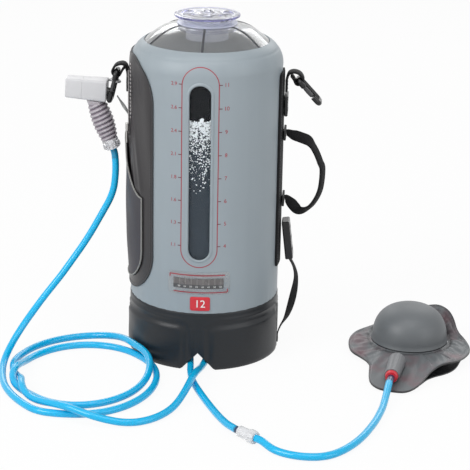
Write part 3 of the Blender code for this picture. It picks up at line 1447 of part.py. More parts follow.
def pump_hose_near_route():
    """Route of the pump hose from the inlet under the bag to the coupling."""
    back = COUPLING_CENTRE - COUPLING_DIRECTION.normalized() * (COUPLING_LENGTH / 2 + SEAT_GAP)
    return [
        Vector((-FITTING_X, FITTING_Y, fitting_mouth())),
        Vector((-FITTING_X, FITTING_Y, fitting_mouth() - 0.0060)),
        Vector((-FITTING_X, FITTING_Y - 0.0030, 0.0290)),
        Vector((-0.0135, -0.0650, 0.0150)),
        Vector((-0.0110, -0.0840, 0.0065)),
        Vector((-0.0088, -0.1030, 0.0050)),
        Vector((-0.0070, -0.1230, 0.0050)),
        Vector((0.0000, -0.1560, 0.0050)),
        Vector((0.0180, -0.2060, 0.0050)),
        Vector((0.0410, -0.2590, 0.0050)),
        Vector((0.0560, -0.2880, 0.0068)),
        back - COUPLING_DIRECTION.normalized() * 0.0100,
        back,
    ]


def settle_hoses(routes):
    """Let the laid hoses push each other, the ground and the skirt until none overlaps."""
    lines = [np.array([tuple(point) for point in smooth_path(route, SETTLE_STEP)]) for route in routes]
    owner = np.concatenate([np.full(len(line), index) for index, line in enumerate(lines)])
    order = np.concatenate([np.arange(len(line)) for line in lines])
    base = np.concatenate(lines)
    moved = np.zeros_like(base)
    apart = (owner[:, None] != owner[None]) | (np.abs(order[:, None] - order[None]) > SETTLE_SKIP)
    ends = np.zeros(len(base), dtype=bool)
    for index, line in enumerate(lines):
        ends |= (owner == index) & ((order < 3) | (order > len(line) - 4))
    need = 2 * HOSE_RADIUS + HOSE_GAP
    clear = BAG_RADIUS + SKIRT_PROUD + PAD_BULGE + HOSE_RADIUS + 0.0006
    for turn in range(SETTLE_ROUNDS):
        points = base + moved
        between = points[:, None] - points[None]
        distance = np.linalg.norm(between, axis=2) + 1e-9
        short = np.where(apart, np.maximum(need - distance, 0.0), 0.0)
        total = short.sum(axis=1)
        weight = short * short / distance
        push = (between * weight[:, :, None]).sum(axis=1) / np.maximum(total, 1e-9)[:, None]
        moved += 0.5 * push
        ease = 0.30 if turn < SETTLE_ROUNDS * 0.7 else 0.06
        for index in range(len(lines)):
            own = moved[owner == index]
            own[1:-1] += ease * (own[:-2] + own[2:] - 2 * own[1:-1])
            moved[owner == index] = own
        points = base + moved
        points[:, 2] = np.maximum(points[:, 2], HOSE_LIE)
        reach = np.hypot(points[:, 0], points[:, 1])
        beside = (points[:, 0] < -0.045) & (points[:, 2] < SKIRT_TOP) & (reach < clear)
        scale = np.where(beside, clear / reach, 1.0)
        points[:, 0] *= scale
        points[:, 1] *= scale
        moved = points - base
        moved[ends] = 0.0
    points = base + moved
    return [[Vector(point) for point in points[owner == index]] for index in range(len(lines))]


def thin_line(points, bend=12.5, longest=0.020):
    """Drop points where the line is nearly straight, so a tube needs few rings there."""
    kept = [points[0]]
    turned_by = 0.0
    for index in range(1, len(points) - 1):
        before = points[index] - points[index - 1]
        after = points[index + 1] - points[index]
        turned_by += math.degrees(before.angle(after))
        next_to_end = index in (1, len(points) - 2)
        if next_to_end or turned_by > bend or (points[index + 1] - kept[-1]).length > longest:
            kept.append(points[index])
            turned_by = 0.0
    kept.append(points[-1])
    return kept


def socket_axis():
    """Mouth of the pump's socket and its direction, in the bag's frame."""
    turn = Matrix.Rotation(PUMP_TURN, 4, "Z")
    offset = Vector((PUMP_X, PUMP_Y, 0.0))
    mouth = turn @ Vector((SOCKET_X, SOCKET_MOUTH_Y, SOCKET_MOUTH_Z)) + offset
    rear = turn @ Vector((SOCKET_X, SOCKET_REAR_Y, SOCKET_REAR_Z)) + offset
    return mouth, (mouth - rear).normalized()


def pump_hose_far_points():
    """Route of the pump hose from the coupling to the pump's socket."""
    nut_end = COUPLING_CENTRE + COUPLING_DIRECTION.normalized() * (
        COUPLING_LENGTH / 2 + 2 * SEAT_GAP + COUPLING_NUT_LENGTH)
    mouth, along = socket_axis()
    tip = mouth + along * (COLLAR_RING_LENGTH + 3 * SEAT_GAP)
    return [
        nut_end,
        nut_end + COUPLING_DIRECTION.normalized() * 0.0100,
        Vector((0.1108, -0.3434, 0.0056)),
        Vector((0.1232, -0.3520, HOSE_LIE)),
        Vector((0.1366, -0.3575, HOSE_LIE)),
        Vector((0.1510, -0.3600, HOSE_LIE)),
        Vector((0.1666, -0.3590, HOSE_LIE)),
        Vector((0.1808, -0.3530, HOSE_LIE)),
        Vector((0.1951, -0.3400, HOSE_LIE)),
        Vector((0.2090, -0.3200, HOSE_LIE)),
        Vector((0.2210, -0.2960, HOSE_LIE)),
        Vector((0.2300, -0.2720, HOSE_LIE)),
        Vector((0.2375, -0.2480, HOSE_LIE)),
        Vector((0.2435, -0.2236, 0.0052)),
        Vector((0.2482, -0.2000, 0.0066)),
        tip + along * 0.0160,
        tip,
    ]


def make_hoses():
    """The shower hose in three stretches and the pump hose in two, with the coupling."""
    shower, near = settle_hoses([shower_route(), pump_hose_near_route()])
    far = smooth_path(pump_hose_far_points(), SETTLE_STEP)
    first = nearest_index(shower, LOOPS_BEGIN)
    last = nearest_index(shower, LOOPS_FINISH)
    hang = thin_line(pull_back(shower[:first + 1]))
    loops = thin_line(shower[first:last + 1])
    tail = thin_line(list(reversed(pull_back(list(reversed(shower[last:]))))))
    near = thin_line(near)
    far = thin_line(far)
    tube("shower_hose_hang", hang, HOSE_RADIUS, "hose_blue", bag_origin, 2)
    tube("shower_hose_loops", loops, HOSE_RADIUS, "hose_blue", bag_origin, 1)
    tube("shower_hose_tail", tail, HOSE_RADIUS, "hose_blue", bag_origin, 2)
    tube("pump_hose_near", near, HOSE_RADIUS, "hose_blue", bag_origin, 2)
    tube("pump_hose_far", far, HOSE_RADIUS, "hose_blue", bag_origin, 2)
    body = place(
        bpy.data.objects.new("hose_coupling", rod_mesh("hose_coupling", COUPLING_RADIUS, COUPLING_LENGTH, 24)),
        bag_origin, "clear_plastic",
    )
    aim(body, COUPLING_CENTRE, COUPLING_DIRECTION)
    rings = []
    for drop, scale in ((0.0, 1.0), (COUPLING_NUT_LENGTH - 0.0012, 1.0), (COUPLING_NUT_LENGTH, 0.88)):
        ring = []
        for k in range(20):
            angle = 2 * math.pi * k / 20
            radius = COUPLING_NUT_RADIUS * scale - (FLUTE_DEPTH if k % 2 == 0 else 0.0)
            ring.append(Vector((radius * math.cos(angle), radius * math.sin(angle), drop)))
        rings.append(ring)
    nut = place(
        bpy.data.objects.new("coupling_nut", loft_mesh("coupling_nut", rings)), bag_origin, "clear_plastic"
    )
    direction = COUPLING_DIRECTION.normalized()
    aim(nut, COUPLING_CENTRE + direction * (COUPLING_LENGTH / 2 + SEAT_GAP), direction)
    cord_names.extend((
        "shower_hose_hang", "shower_hose_loops", "shower_hose_tail",
        "pump_hose_near", "pump_hose_far", "hose_coupling", "coupling_nut",
    ))
    for label, line in (("hang", hang), ("loops", loops), ("tail", tail), ("near", near), ("far", far)):
        print("length of", label, round(path_length(line), 4), "points", len(line))
    print("least gap of the shower hose to itself", round(self_gap(hang + loops + tail, HOSE_RADIUS), 5))
    print("least gap between the two hoses", round(pair_gap(tail, near, HOSE_RADIUS), 5))


def nearest_index(points, place_):
    """Index of the point nearest a place on the ground, on the stretch that lies on the ground."""
    low = [index for index, point in enumerate(points) if point.z < 0.012]
    return min(low, key=lambda index: (points[index] - Vector(place_)).length)


def pull_back(points):
    """Shorten a line a little at its last point, so that it ends short of the next piece."""
    end = points[-1]
    return points[:-1] + [end + (points[-2] - end).normalized() * STRETCH_GAP]


def fine_line(points):
    """Points every few millimetres along straight pieces of a line."""
    fine = []
    for near, far in zip(points, points[1:]):
        pieces = max(1, int((far - near).length / 0.002))
        fine += [near.lerp(far, index / pieces) for index in range(pieces)]
    return fine + [points[-1]]


def self_gap(points, radius):
    """Least gap of a tube to itself, left out where it is one bend."""
    fine = fine_line(points)
    travelled = [0.0]
    for near, far in zip(fine, fine[1:]):
        travelled.append(travelled[-1] + (far - near).length)
    least = 1.0
    for index in range(0, len(fine)):
        for other in range(index + 1, len(fine)):
            if travelled[other] - travelled[index] > 0.08:
                least = min(least, (fine[index] - fine[other]).length)
    return least - 2 * radius


def pair_gap(first, second, radius):
    """Least gap between two tubes of one radius."""
    near = fine_line(first)
    far = fine_line(second)
    return min((a - b).length for a in near for b in far) - 2 * radius


def flange_guide(angle, column):
    """A flange guide's value at an angle in degrees, rounded off over a few degrees."""
    places = [guide[0] % 360.0 for guide in FLANGE_GUIDES]
    values = [guide[column] for guide in FLANGE_GUIDES]
    nearby = [angle + offset for offset in (-5.0, -2.5, 0.0, 2.5, 5.0)]
    return float(np.mean(np.interp(nearby, places, values, period=360.0)))


def flange_reach(angle):
    """Outline of the pump's flange at an angle in degrees, where -90 is the hose side."""
    return flange_guide(angle, 1)


def flange_lift(angle, share):
    """Height of the flange's upper side: lobes puffed in their middle, the back one turned up."""
    root = CHAMBER_TOP - 0.001
    tip = flange_guide(angle, 2)
    way = 1.0 - (1.0 - share) ** 2 if tip < root else share
    puff = FLANGE_FOLD * math.sin(math.pi * share) * (1.0 if tip < root else 0.0)
    return root + (tip - root) * way + puff


def make_pump_flange():
    """Lobed flange of coated fabric round the pump chamber."""
    inner = CHAMBER_RADIUS + SEAT_GAP + 0.0004
    shares = (0.0, 0.2, 0.5, 1.0)
    rings = []
    steps = 66
    for index in range(steps):
        angle = 360.0 * index / steps
        across = Vector((math.cos(math.radians(angle)), math.sin(math.radians(angle)), 0.0))
        reach = flange_reach(angle)
        upper = []
        lower = []
        for share in shares:
            radius = inner + (reach - inner) * share
            level = flange_lift(angle, share)
            upper.append(across * radius + Vector((0, 0, level)))
            lower.append(across * radius + Vector((0, 0, level - FLANGE_WALL)))
        rings.append(upper + list(reversed(lower)))
    mesh = loft_mesh("pump_flange", rings, closed=True)
    flange = place(bpy.data.objects.new("pump_flange", mesh), pump_origin, "pump_grey")
    bed = rod_mesh("socket_bed", SOCKET_REAR_RADIUS + SEAT_GAP,
                   SOCKET_REAR_Y - SOCKET_MOUTH_Y + 2 * SEAT_GAP, 16, SOCKET_MOUTH_RADIUS + SEAT_GAP)
    bed_object = place_cutter(bpy.data.objects.new("socket_bed", bed), pump_origin)
    middle, along = socket_middle()
    aim(bed_object, middle, along)
    cut(flange, bed_object)


def socket_middle():
    """Centre and direction of the socket in the pump's own frame."""
    rear = Vector((SOCKET_X, SOCKET_REAR_Y, SOCKET_REAR_Z))
    mouth = Vector((SOCKET_X, SOCKET_MOUTH_Y, SOCKET_MOUTH_Z))
    return (rear + mouth) / 2, (mouth - rear).normalized()


def make_pump_base():
    """Black sheet under the pump, and the moulded chamber that stands on it."""
    rings = []
    steps = 44
    for index in range(steps):
        angle = 360.0 * index / steps
        across = Vector((math.cos(math.radians(angle)), math.sin(math.radians(angle)), 0.0))
        away = (angle - 312.0 + 180.0) % 360.0 - 180.0
        under = 0.010 * (1.0 - math.exp(-((away / 30.0) ** 2)))
        reach = flange_reach(angle) * 0.965 - under
        rings.append([
            across * reach + Vector((0, 0, 0)),
            across * reach + Vector((0, 0, PUMP_SHEET_WALL)),
            across * 0.020 + Vector((0, 0, PUMP_SHEET_WALL)),
            across * 0.020 + Vector((0, 0, 0)),
        ])
    mesh = loft_mesh("pump_base_sheet", rings, closed=True)
    place(bpy.data.objects.new("pump_base_sheet", mesh), pump_origin, "black_tarpaulin")
    low = PUMP_SHEET_WALL + SEAT_GAP
    inner = CHAMBER_RADIUS - CHAMBER_WALL
    turned("pump_chamber", [
        (CHAMBER_RADIUS, CHAMBER_TOP),
        (CHAMBER_RADIUS, low),
        (0.0100, low),
        (0.0100, low + CHAMBER_FLOOR),
        (inner, low + CHAMBER_FLOOR),
        (inner, CHAMBER_TOP),
    ], "black_tarpaulin", pump_origin, steps=32)
    turned("intake_valve", [
        (0.0, low + CHAMBER_FLOOR + 0.0020),
        (0.0125, low + CHAMBER_FLOOR + 0.0016),
        (0.0125, low + CHAMBER_FLOOR + SEAT_GAP),
        (0.0096, low + CHAMBER_FLOOR + SEAT_GAP),
        (0.0096, low + 0.0006),
        (0.0, low + 0.0006),
    ], "seal_rubber", pump_origin, steps=20, closed_profile=False)


def squared_arc(radius, height, index, count):
    """Point of a squared quarter arc, from the crown down to the foot."""
    angle = math.radians(90.0 * index / count)
    power = 2.0 / DOME_SQUARENESS
    return radius * math.sin(angle) ** power, height * max(math.cos(angle), 0.0) ** power


def make_pump_dome():
    """Dome that is trodden on, with the return spring and its disc inside."""
    low = CHAMBER_TOP + SEAT_GAP
    outer = []
    inner = []
    for index in range(8):
        across, rise = squared_arc(DOME_RADIUS, DOME_HEIGHT, index, 7)
        outer.append((across, low + (rise if index < 7 else 0.0)))
    for index in range(6):
        across, rise = squared_arc(DOME_RADIUS - DOME_SKIN, DOME_HEIGHT - DOME_SKIN, index, 5)
        inner.append((across, low + (rise if index < 5 else 0.0)))
    profile = outer + list(reversed(inner))
    turned("pump_dome", profile, "pump_grey", pump_origin, steps=32, closed_profile=False)
    share = (DISC_RADIUS / (DOME_RADIUS - DOME_SKIN)) ** DOME_SQUARENESS
    ceiling = (DOME_HEIGHT - DOME_SKIN) * (1 - share) ** (1 / DOME_SQUARENESS)
    disc_high = low + ceiling - 0.0012
    disc_low = disc_high - DISC_WALL
    turned("pressure_disc", [
        (0.0, disc_high),
        (DISC_RADIUS - 0.001, disc_high),
        (DISC_RADIUS, disc_high - 0.001),
        (DISC_RADIUS, disc_low),
        (0.0, disc_low),
    ], "handset_plastic", pump_origin, steps=28, closed_profile=False)
    spring_low = PUMP_SHEET_WALL + SEAT_GAP + CHAMBER_FLOOR + SPRING_WIRE + SEAT_GAP
    spring_high = disc_low - SPRING_WIRE - SEAT_GAP
    points = []
    count = SPRING_TURNS * 8
    for index in range(count + 1):
        share = index / count
        angle = 2 * math.pi * SPRING_TURNS * share
        radius = SPRING_LOW_RADIUS + (SPRING_HIGH_RADIUS - SPRING_LOW_RADIUS) * share
        points.append(Vector((
            radius * math.cos(angle), radius * math.sin(angle),
            spring_low + (spring_high - spring_low) * share,
        )))
    tube("return_spring", points, SPRING_WIRE, "spring_steel", pump_origin, 1)


def make_pump_socket():
    """Socket on the flange's front lobe with its red collar, where the hose is pushed in."""
    middle, along = socket_middle()
    length = SOCKET_REAR_Y - SOCKET_MOUTH_Y
    socket = place(
        bpy.data.objects.new("pump_socket", rod_mesh(
            "pump_socket", SOCKET_REAR_RADIUS, length, 20, SOCKET_MOUTH_RADIUS)),
        pump_origin, "pump_grey",
    )
    aim(socket, middle, along)
    mouth = middle + along * (length / 2)
    collar = place(
        bpy.data.objects.new("socket_collar", rod_mesh(
            "socket_collar", COLLAR_RING_RADIUS, COLLAR_RING_LENGTH, 24, COLLAR_RING_RADIUS - 0.001)),
        pump_origin, "badge_red",
    )
    aim(collar, mouth + along * (SEAT_GAP + COLLAR_RING_LENGTH / 2), along)


def centre_footprint():
    """Move both groups so that the footprint of all but the hoses is centred on the origin."""
    bpy.context.view_layer.update()
    graph = bpy.context.evaluated_depsgraph_get()
    low = Vector((1e9, 1e9, 1e9))
    high = -low
    for obj in part_collection.objects:
        if obj.type == "EMPTY" or obj.name in cord_names:
            continue
        evaluated = obj.evaluated_get(graph)
        mesh = evaluated.to_mesh()
        for vertex in mesh.vertices:
            point = obj.matrix_world @ vertex.co
            low = Vector(map(min, low, point))
            high = Vector(map(max, high, point))
        evaluated.to_mesh_clear()
    shift = Vector((-(low.x + high.x) / 2, -(low.y + high.y) / 2, 0.0))
    for empty in (bag_origin, pump_origin):
        empty.location = empty.location + shift
    bpy.context.view_layer.update()
    print("bag axis at", [round(value, 6) for value in bag_origin.location])
    print("pump axis at", [round(value, 6) for value in pump_origin.location])
    print("footprint", [round(value, 5) for value in (high - low)], "lowest", round(low.z, 6))


def main():
    """Build the whole shower."""
    start_scene()
    make_bag_shell()
    make_window()
    make_front_patches()
    make_base_skirt()
    make_chamber_floor()
    make_fitting("outlet_fitting", 1)
    make_fitting("inlet_fitting", -1)
    make_dome()
    make_dome_seams()
    make_neck()
    make_cap()
    make_pocket()
    make_carabiner("left", LEFT_EYE_X, LEFT_EYE_Z, LEFT_HOOK_LEAN, -1)
    make_carabiner("right", RIGHT_EYE_X, RIGHT_EYE_Z, RIGHT_HOOK_LEAN, 1)
    make_hook_loop("left_hook_loop", LEFT_EYE_X, LEFT_EYE_Z, -1, LEFT_LOOP_DROP)
    make_hook_loop("right_hook_loop", RIGHT_EYE_X, RIGHT_EYE_Z, 1, RIGHT_LOOP_DROP)
    make_handset()
    make_tether()
    make_right_side()
    make_pump_base()
    make_pump_flange()
    make_pump_dome()
    make_pump_socket()
    make_hoses()
    centre_footprint()


main()
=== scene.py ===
"""Looks of the pressurised camp shower: coated fabric, clear film, webbing, hose and foot pump.

Every length is in metres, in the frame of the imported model. The bag's own measures are round its
axis, with the window towards -Y, and the pump's are round the axis of its dome.
"""

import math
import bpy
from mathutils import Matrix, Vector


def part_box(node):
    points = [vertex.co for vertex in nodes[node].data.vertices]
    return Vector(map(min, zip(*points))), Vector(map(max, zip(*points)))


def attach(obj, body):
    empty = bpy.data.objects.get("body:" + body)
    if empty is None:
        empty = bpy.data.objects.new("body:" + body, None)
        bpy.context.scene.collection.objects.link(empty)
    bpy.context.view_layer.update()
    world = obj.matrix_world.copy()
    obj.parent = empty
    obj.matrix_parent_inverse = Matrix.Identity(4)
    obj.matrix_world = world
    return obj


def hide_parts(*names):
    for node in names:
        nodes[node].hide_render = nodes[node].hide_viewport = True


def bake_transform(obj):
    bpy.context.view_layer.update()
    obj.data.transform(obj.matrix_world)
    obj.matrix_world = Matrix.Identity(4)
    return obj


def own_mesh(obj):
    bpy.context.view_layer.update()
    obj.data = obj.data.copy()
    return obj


bl_info = {"name": "Camp shower looks", "version": (1, 0, 0), "blender": (4, 5, 0),
    "location": "View3D > Sidebar > Camp shower",
    "description": "Dresses the packed camp shower in fabric, film, webbing and moulded plastic",
    "category": "Object"}

from functools import partial
from math import cos, exp, pi, radians, sin, sqrt

import bmesh
import bpy
import numpy as np
from bpy.props import FloatProperty, FloatVectorProperty, IntProperty, PointerProperty
from mathutils import Matrix, Vector

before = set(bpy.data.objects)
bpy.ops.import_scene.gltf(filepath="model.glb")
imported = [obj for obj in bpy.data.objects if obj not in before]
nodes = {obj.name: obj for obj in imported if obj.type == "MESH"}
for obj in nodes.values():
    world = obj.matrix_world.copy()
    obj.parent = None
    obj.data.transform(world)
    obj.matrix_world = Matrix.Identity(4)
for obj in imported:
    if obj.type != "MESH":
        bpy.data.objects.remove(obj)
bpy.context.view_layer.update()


def middle_of(node):
    """Point on the ground under the middle of a CAD node."""
    low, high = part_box(node)
    return Vector(((low.x + high.x) / 2, (low.y + high.y) / 2, 0.0))


UP = Vector((0, 0, 1))
BACK = Vector((0, 1, 0))
BAG_AXIS = middle_of("bag_shell")
PUMP_AXIS = middle_of("pump_dome")
PUMP_TURN = radians(-10.4)
BAG_RADIUS = 0.1015
SHELL_WALL = 0.002
SKIRT_TOP = 0.0804
SHOULDER_RADIUS = 0.034
RIM_HEIGHT = 0.4347
FLOOR_HEIGHT = 0.05
SEAT_GAP = 0.0003
HOSE_RADIUS = 0.00475
NECK_OUTER = 0.029
NECK_FLANGE = 0.04
DOME_TOP = 0.452
WINDOW_HALF = 0.0143
WINDOW_LOW = 0.1561
WINDOW_HIGH = 0.3912
TICK_TOP = 0.3924
TICK_PITCH = 0.03106
FOCAL_PIXELS = 1707.46
PICTURE_WIDTH = 470.0
LAMPS = (("key_lamp", (-1.9, -1.7, 1.7), 1.5, 44.0, (0.0, 0.0, 0.22)),
    ("fill_lamp", (2.1, -1.5, 1.0), 1.6, 13.0, (0.0, 0.0, 0.2)),
    ("top_lamp", (0.1, -0.9, 2.4), 1.6, 20.0, (0.0, 0.0, 0.2)),
    ("back_lamp_left", (-0.9, 2.4, 1.6), 1.1, 9.0, (-0.1, 0.0, 0.4)),
    ("back_lamp_right", (0.9, 2.4, 1.6), 1.1, 9.0, (0.0, 0.0, 0.4)))


Length = partial(FloatProperty, unit="LENGTH")
Colour = partial(FloatVectorProperty, subtype="COLOR", size=4)


class ShowerSizes(bpy.types.PropertyGroup):
    """Sizes of the surface detail."""

    stitch_length: Length(name="Stitch length", description="Length of one sewn stitch", default=0.0026)
    stitch_pitch: Length(name="Stitch pitch", description="Distance from one stitch to the next",
        default=0.0036)
    thread_width: Length(name="Thread width", description="Width of the sewing thread", default=0.0006)
    print_height: Length(name="Print height", description="How far printed ink stands off the wall",
        default=0.00012)
    piping_radius: Length(name="Piping radius", description="Radius of the piping round the pocket",
        default=0.0011)
    crease_depth: Length(name="Crease depth", description="Depth of the soft dents in the wall",
        default=0.0005)
    bubble_count: IntProperty(name="Foam bubbles", description="Bubbles behind the window", default=900,
        min=0, max=4000)


class ShowerColours(bpy.types.PropertyGroup):
    """Colours of the finishes."""

    wall: Colour(name="Bag wall", description="Grey coated fabric of the bag",
        default=(0.262, 0.305, 0.333, 1.0))
    skirt: Colour(name="Skirt", description="Black coated fabric of the skirt",
        default=(0.012, 0.014, 0.017, 1.0))
    pocket: Colour(name="Pocket", description="Dark cloth of the side pocket",
        default=(0.017, 0.015, 0.017, 1.0))
    webbing: Colour(name="Webbing", description="Black webbing of straps and loops",
        default=(0.008, 0.008, 0.009, 1.0))
    print_red: Colour(name="Red print", description="Ink of the scale and the brackets",
        default=(0.32, 0.022, 0.038, 1.0))
    hose: Colour(name="Hose", description="Glossy blue of the hoses", default=(0.0, 0.43, 0.76, 1.0))
    pump: Colour(name="Pump", description="Grey coated fabric of the foot pump",
        default=(0.115, 0.125, 0.133, 1.0))
    handset: Colour(name="Handset", description="Light plastic of the handset",
        default=(0.56, 0.56, 0.575, 1.0))
    water: Colour(name="Water", description="Water behind the window", default=(0.045, 0.056, 0.068, 1.0))


def sizes():
    """The scene's surface sizes."""
    return bpy.context.scene.shower_sizes


def colours():
    """The scene's finish colours."""
    return bpy.context.scene.shower_colours


# Places and lines


def wall_reach(height):
    """Distance of the bare wall from the bag's axis, in over the shoulder."""
    above = height - (RIM_HEIGHT - SHOULDER_RADIUS)
    if above <= 0:
        return BAG_RADIUS
    return BAG_RADIUS - SHOULDER_RADIUS + sqrt(max(SHOULDER_RADIUS ** 2 - above ** 2, 0.0))


def on_bag(arc, height, radius, centre_angle=0.0):
    """Point on the bag at an arc length and a height. The radius is what it has on the straight wall."""
    angle = centre_angle + arc / BAG_RADIUS
    reach = radius - BAG_RADIUS + wall_reach(height)
    return BAG_AXIS + Vector((reach * sin(angle), -reach * cos(angle), height))


def round_bag(angle, radius, height):
    """Point at a radius and a height round the bag's axis, with the window at angle 0."""
    across = Vector((sin(angle), -cos(angle), 0.0))
    return BAG_AXIS + across * radius + Vector((0, 0, height))


def outwards(points):
    """Level directions from the bag's axis to points."""
    return [(point - BAG_AXIS - Vector((0, 0, point.z))).normalized() for point in points]


def by_bag(x, y, z):
    """Point given from the bag's axis."""
    return BAG_AXIS + Vector((x, y, z))


def by_pump(x, y, z):
    """Point given in the pump's own turned frame."""
    return PUMP_AXIS + Matrix.Rotation(PUMP_TURN, 3, "Z") @ Vector((x, y, z))


def soft_step(value):
    """Rise smoothly from 0 to 1."""
    value = min(max(value, 0.0), 1.0)
    return value * value * (3 - 2 * value)


def bell(away, width):
    """1 at the middle of a smooth hump or groove, falling to 0 past its width."""
    return exp(-((away / width) ** 2))


def smooth_path(points, step):
    """Evenly spaced points on a smooth curve through the given ones."""
    guides = [Vector(point) for point in points]
    guides = [2 * guides[0] - guides[1]] + guides + [2 * guides[-1] - guides[-2]]
    fine = []
    for index in range(1, len(guides) - 2):
        before, start, end, after = guides[index - 1:index + 3]
        for part in range(20):
            t = part / 20.0
            fine.append(0.5 * (
                2 * start + (end - before) * t
                + (2 * before - 5 * start + 4 * end - after) * t * t
                + (3 * start - before - 3 * end + after) * t * t * t
            ))
    fine.append(guides[-2])
    return even_points(fine, step)


def ways(points):
    """Lengths from the start of a line to each of its points."""
    result = [0.0]
    for near, far in zip(points, points[1:]):
        result.append(result[-1] + (far - near).length)
    return result


def even_points(fine, step):
    """Points spaced evenly along a fine line, both ends kept."""
    lengths = ways(fine)
    count = max(2, round(lengths[-1] / step) + 1)
    result = []
    index = 0
    for number in range(count):
        target = lengths[-1] * number / (count - 1)
        while index < len(fine) - 2 and lengths[index + 1] < target:
            index += 1
        span = lengths[index + 1] - lengths[index]
        share = (target - lengths[index]) / span if span > 0 else 0.0
        result.append(fine[index].lerp(fine[index + 1], share))
    return result


def around(steps):
    """Angles round a circle from 0, each also as it lies between half a turn back and half a turn on."""
    for index in range(steps):
        angle = 2 * pi * index / steps
        yield angle, angle if angle < pi else angle - 2 * pi


def each(value, count):
    """A list as it is, or one value for each of a count."""
    return value if isinstance(value, list) else [value] * count


def rounded_outline(half_width, low, high, corner, corner_points, side_step=0.006):
    """Points of a rounded rectangle in arc length and height, with their outward normals."""
    corner = min(corner, half_width, (high - low) / 2)
    centres = ((half_width - corner, high - corner, 0.0), (-half_width + corner, high - corner, 90.0),
        (-half_width + corner, low + corner, 180.0), (half_width - corner, low + corner, 270.0))
    corners = []
    for centre_arc, centre_height, start in centres:
        for index in range(corner_points + 1):
            angle = radians(start + 90.0 * index / corner_points)
            normal = Vector((cos(angle), sin(angle)))
            corners.append((Vector((centre_arc, centre_height)) + corner * normal, normal))
    outline = []
    for index, (point, normal) in enumerate(corners):
        following, next_normal = corners[(index + 1) % len(corners)]
        span = (following - point).length
        if span < 1e-6:
            continue
        outline.append((point, normal))
        for extra in range(1, int(span / side_step) + 1):
            share = extra / (int(span / side_step) + 1)
            outline.append((point.lerp(following, share), normal.lerp(next_normal, share)))
    return outline


# Meshes


def lay_mesh(name, rings, looped=False):
    """Quads between closed rings, capped or looped, with a UV map in metres: round, then along."""
    count = len(rings[0])
    bm = bmesh.new()
    layer = bm.loops.layers.uv.new("UVMap")
    rows = [[bm.verts.new(point) for point in ring] for ring in rings]
    middle = [Vector(point) for point in rings[len(rings) // 2]]
    centres = [sum((Vector(point) for point in ring), Vector()) / count for ring in rings]
    round_way, along_way = ways(middle + middle[:1]), ways(centres + centres[:1])
    for row in range(len(rings) if looped else len(rings) - 1):
        near, far = rows[row], rows[(row + 1) % len(rows)]
        for column in range(count):
            after = (column + 1) % count
            face = bm.faces.new((near[column], near[after], far[after], far[column]))
            spots = ((column, row), (column + 1, row), (column + 1, row + 1), (column, row + 1))
            for loop, (u, v) in zip(face.loops, spots):
                loop[layer].uv = (round_way[u], along_way[v])
    if not looped:
        bm.faces.new(rows[0][::-1])
        bm.faces.new(rows[-1])
    return close_mesh(name, bm)


def shade(mesh, flat_angle=38.0):
    """Smooth shading, with sharp edges past an angle."""
    mesh.shade_smooth()
    mesh.set_sharp_from_angle(angle=radians(flat_angle))
    return mesh


def close_mesh(name, bm, flat_angle=38.0):
    """Turn a bmesh into a smooth-shaded mesh with its faces outwards."""
    bmesh.ops.recalc_face_normals(bm, faces=bm.faces)
    if bm.calc_volume(signed=True) < 0:
        bmesh.ops.reverse_faces(bm, faces=bm.faces)
    mesh = bpy.data.meshes.new(name)
    bm.to_mesh(mesh)
    bm.free()
    return shade(mesh, flat_angle)


def put_in_scene(name, data):
    """A new object in the scene."""
    piece = bpy.data.objects.new(name, data)
    bpy.context.scene.collection.objects.link(piece)
    return piece


def add_piece(name, mesh, material, stands_for=(), bend=None, body="bag"):
    """Put a finished mesh in the scene, riding on its body, or with its transform baked and no body where a
    bend is given, standing for its CAD nodes, which are hidden.
    """
    piece = put_in_scene(name, mesh)
    if material is not None:
        mesh.materials.clear()
        mesh.materials.append(material)
    if bend:
        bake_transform(piece)
    else:
        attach(piece, body)
    if stands_for:
        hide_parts(*stands_for)
    return piece


def settled_mesh(name, mesh, change):
    """The mesh that modifiers make of a mesh. change(piece) adds them."""
    piece = put_in_scene(name, mesh)
    change(piece)
    bpy.context.view_layer.update()
    graph = bpy.context.evaluated_depsgraph_get()
    result = bpy.data.meshes.new_from_object(piece.evaluated_get(graph))
    result.name = name
    bpy.data.objects.remove(piece, do_unlink=True)
    return result


def joined_mesh(name, meshes):
    """One mesh of several, their UV maps and materials' faces kept as they are."""
    bm = bmesh.new()
    for mesh in meshes:
        bm.from_mesh(mesh)
    joined = bpy.data.meshes.new(name)
    bm.to_mesh(joined)
    bm.free()
    return shade(joined)


def line_mesh(name, points, facings, cyclic=False):
    """A line of edges that carries a facing direction at each point."""
    mesh = bpy.data.meshes.new(name)
    edges = [(index, index + 1) for index in range(len(points) - 1)]
    if cyclic:
        edges.append((len(points) - 1, 0))
    mesh.from_pydata([tuple(point) for point in points], edges, [])
    attribute = mesh.attributes.new("facing", "FLOAT_VECTOR", "POINT")
    for index, facing in enumerate(facings):
        attribute.data[index].vector = facing
    return mesh


def turned_mesh(name, profile, steps, centre, closed=False):
    """A profile of (radius, height) turned round an upright axis. Poles are welded."""
    bm = bmesh.new()
    points = [bm.verts.new((radius, 0.0, height)) for radius, height in profile]
    edges = [bm.edges.new(pair) for pair in zip(points, points[1:])]
    if closed:
        edges.append(bm.edges.new((points[-1], points[0])))
    bmesh.ops.spin(bm, geom=points + edges, axis=(0, 0, 1), cent=(0, 0, 0), angle=2 * pi, steps=steps,
        use_merge=True)
    bmesh.ops.remove_doubles(bm, verts=bm.verts, dist=1e-6)
    bmesh.ops.translate(bm, verts=bm.verts, vec=centre)
    return close_mesh(name, bm, 30.0)


def round_ring(centre, across, facing, radius, sides):
    """Points of a circle in the plane of two directions."""
    angles = [angle for angle, _ in around(sides)]
    return [centre + across * (radius * cos(turn)) + facing * (radius * sin(turn)) for turn in angles]


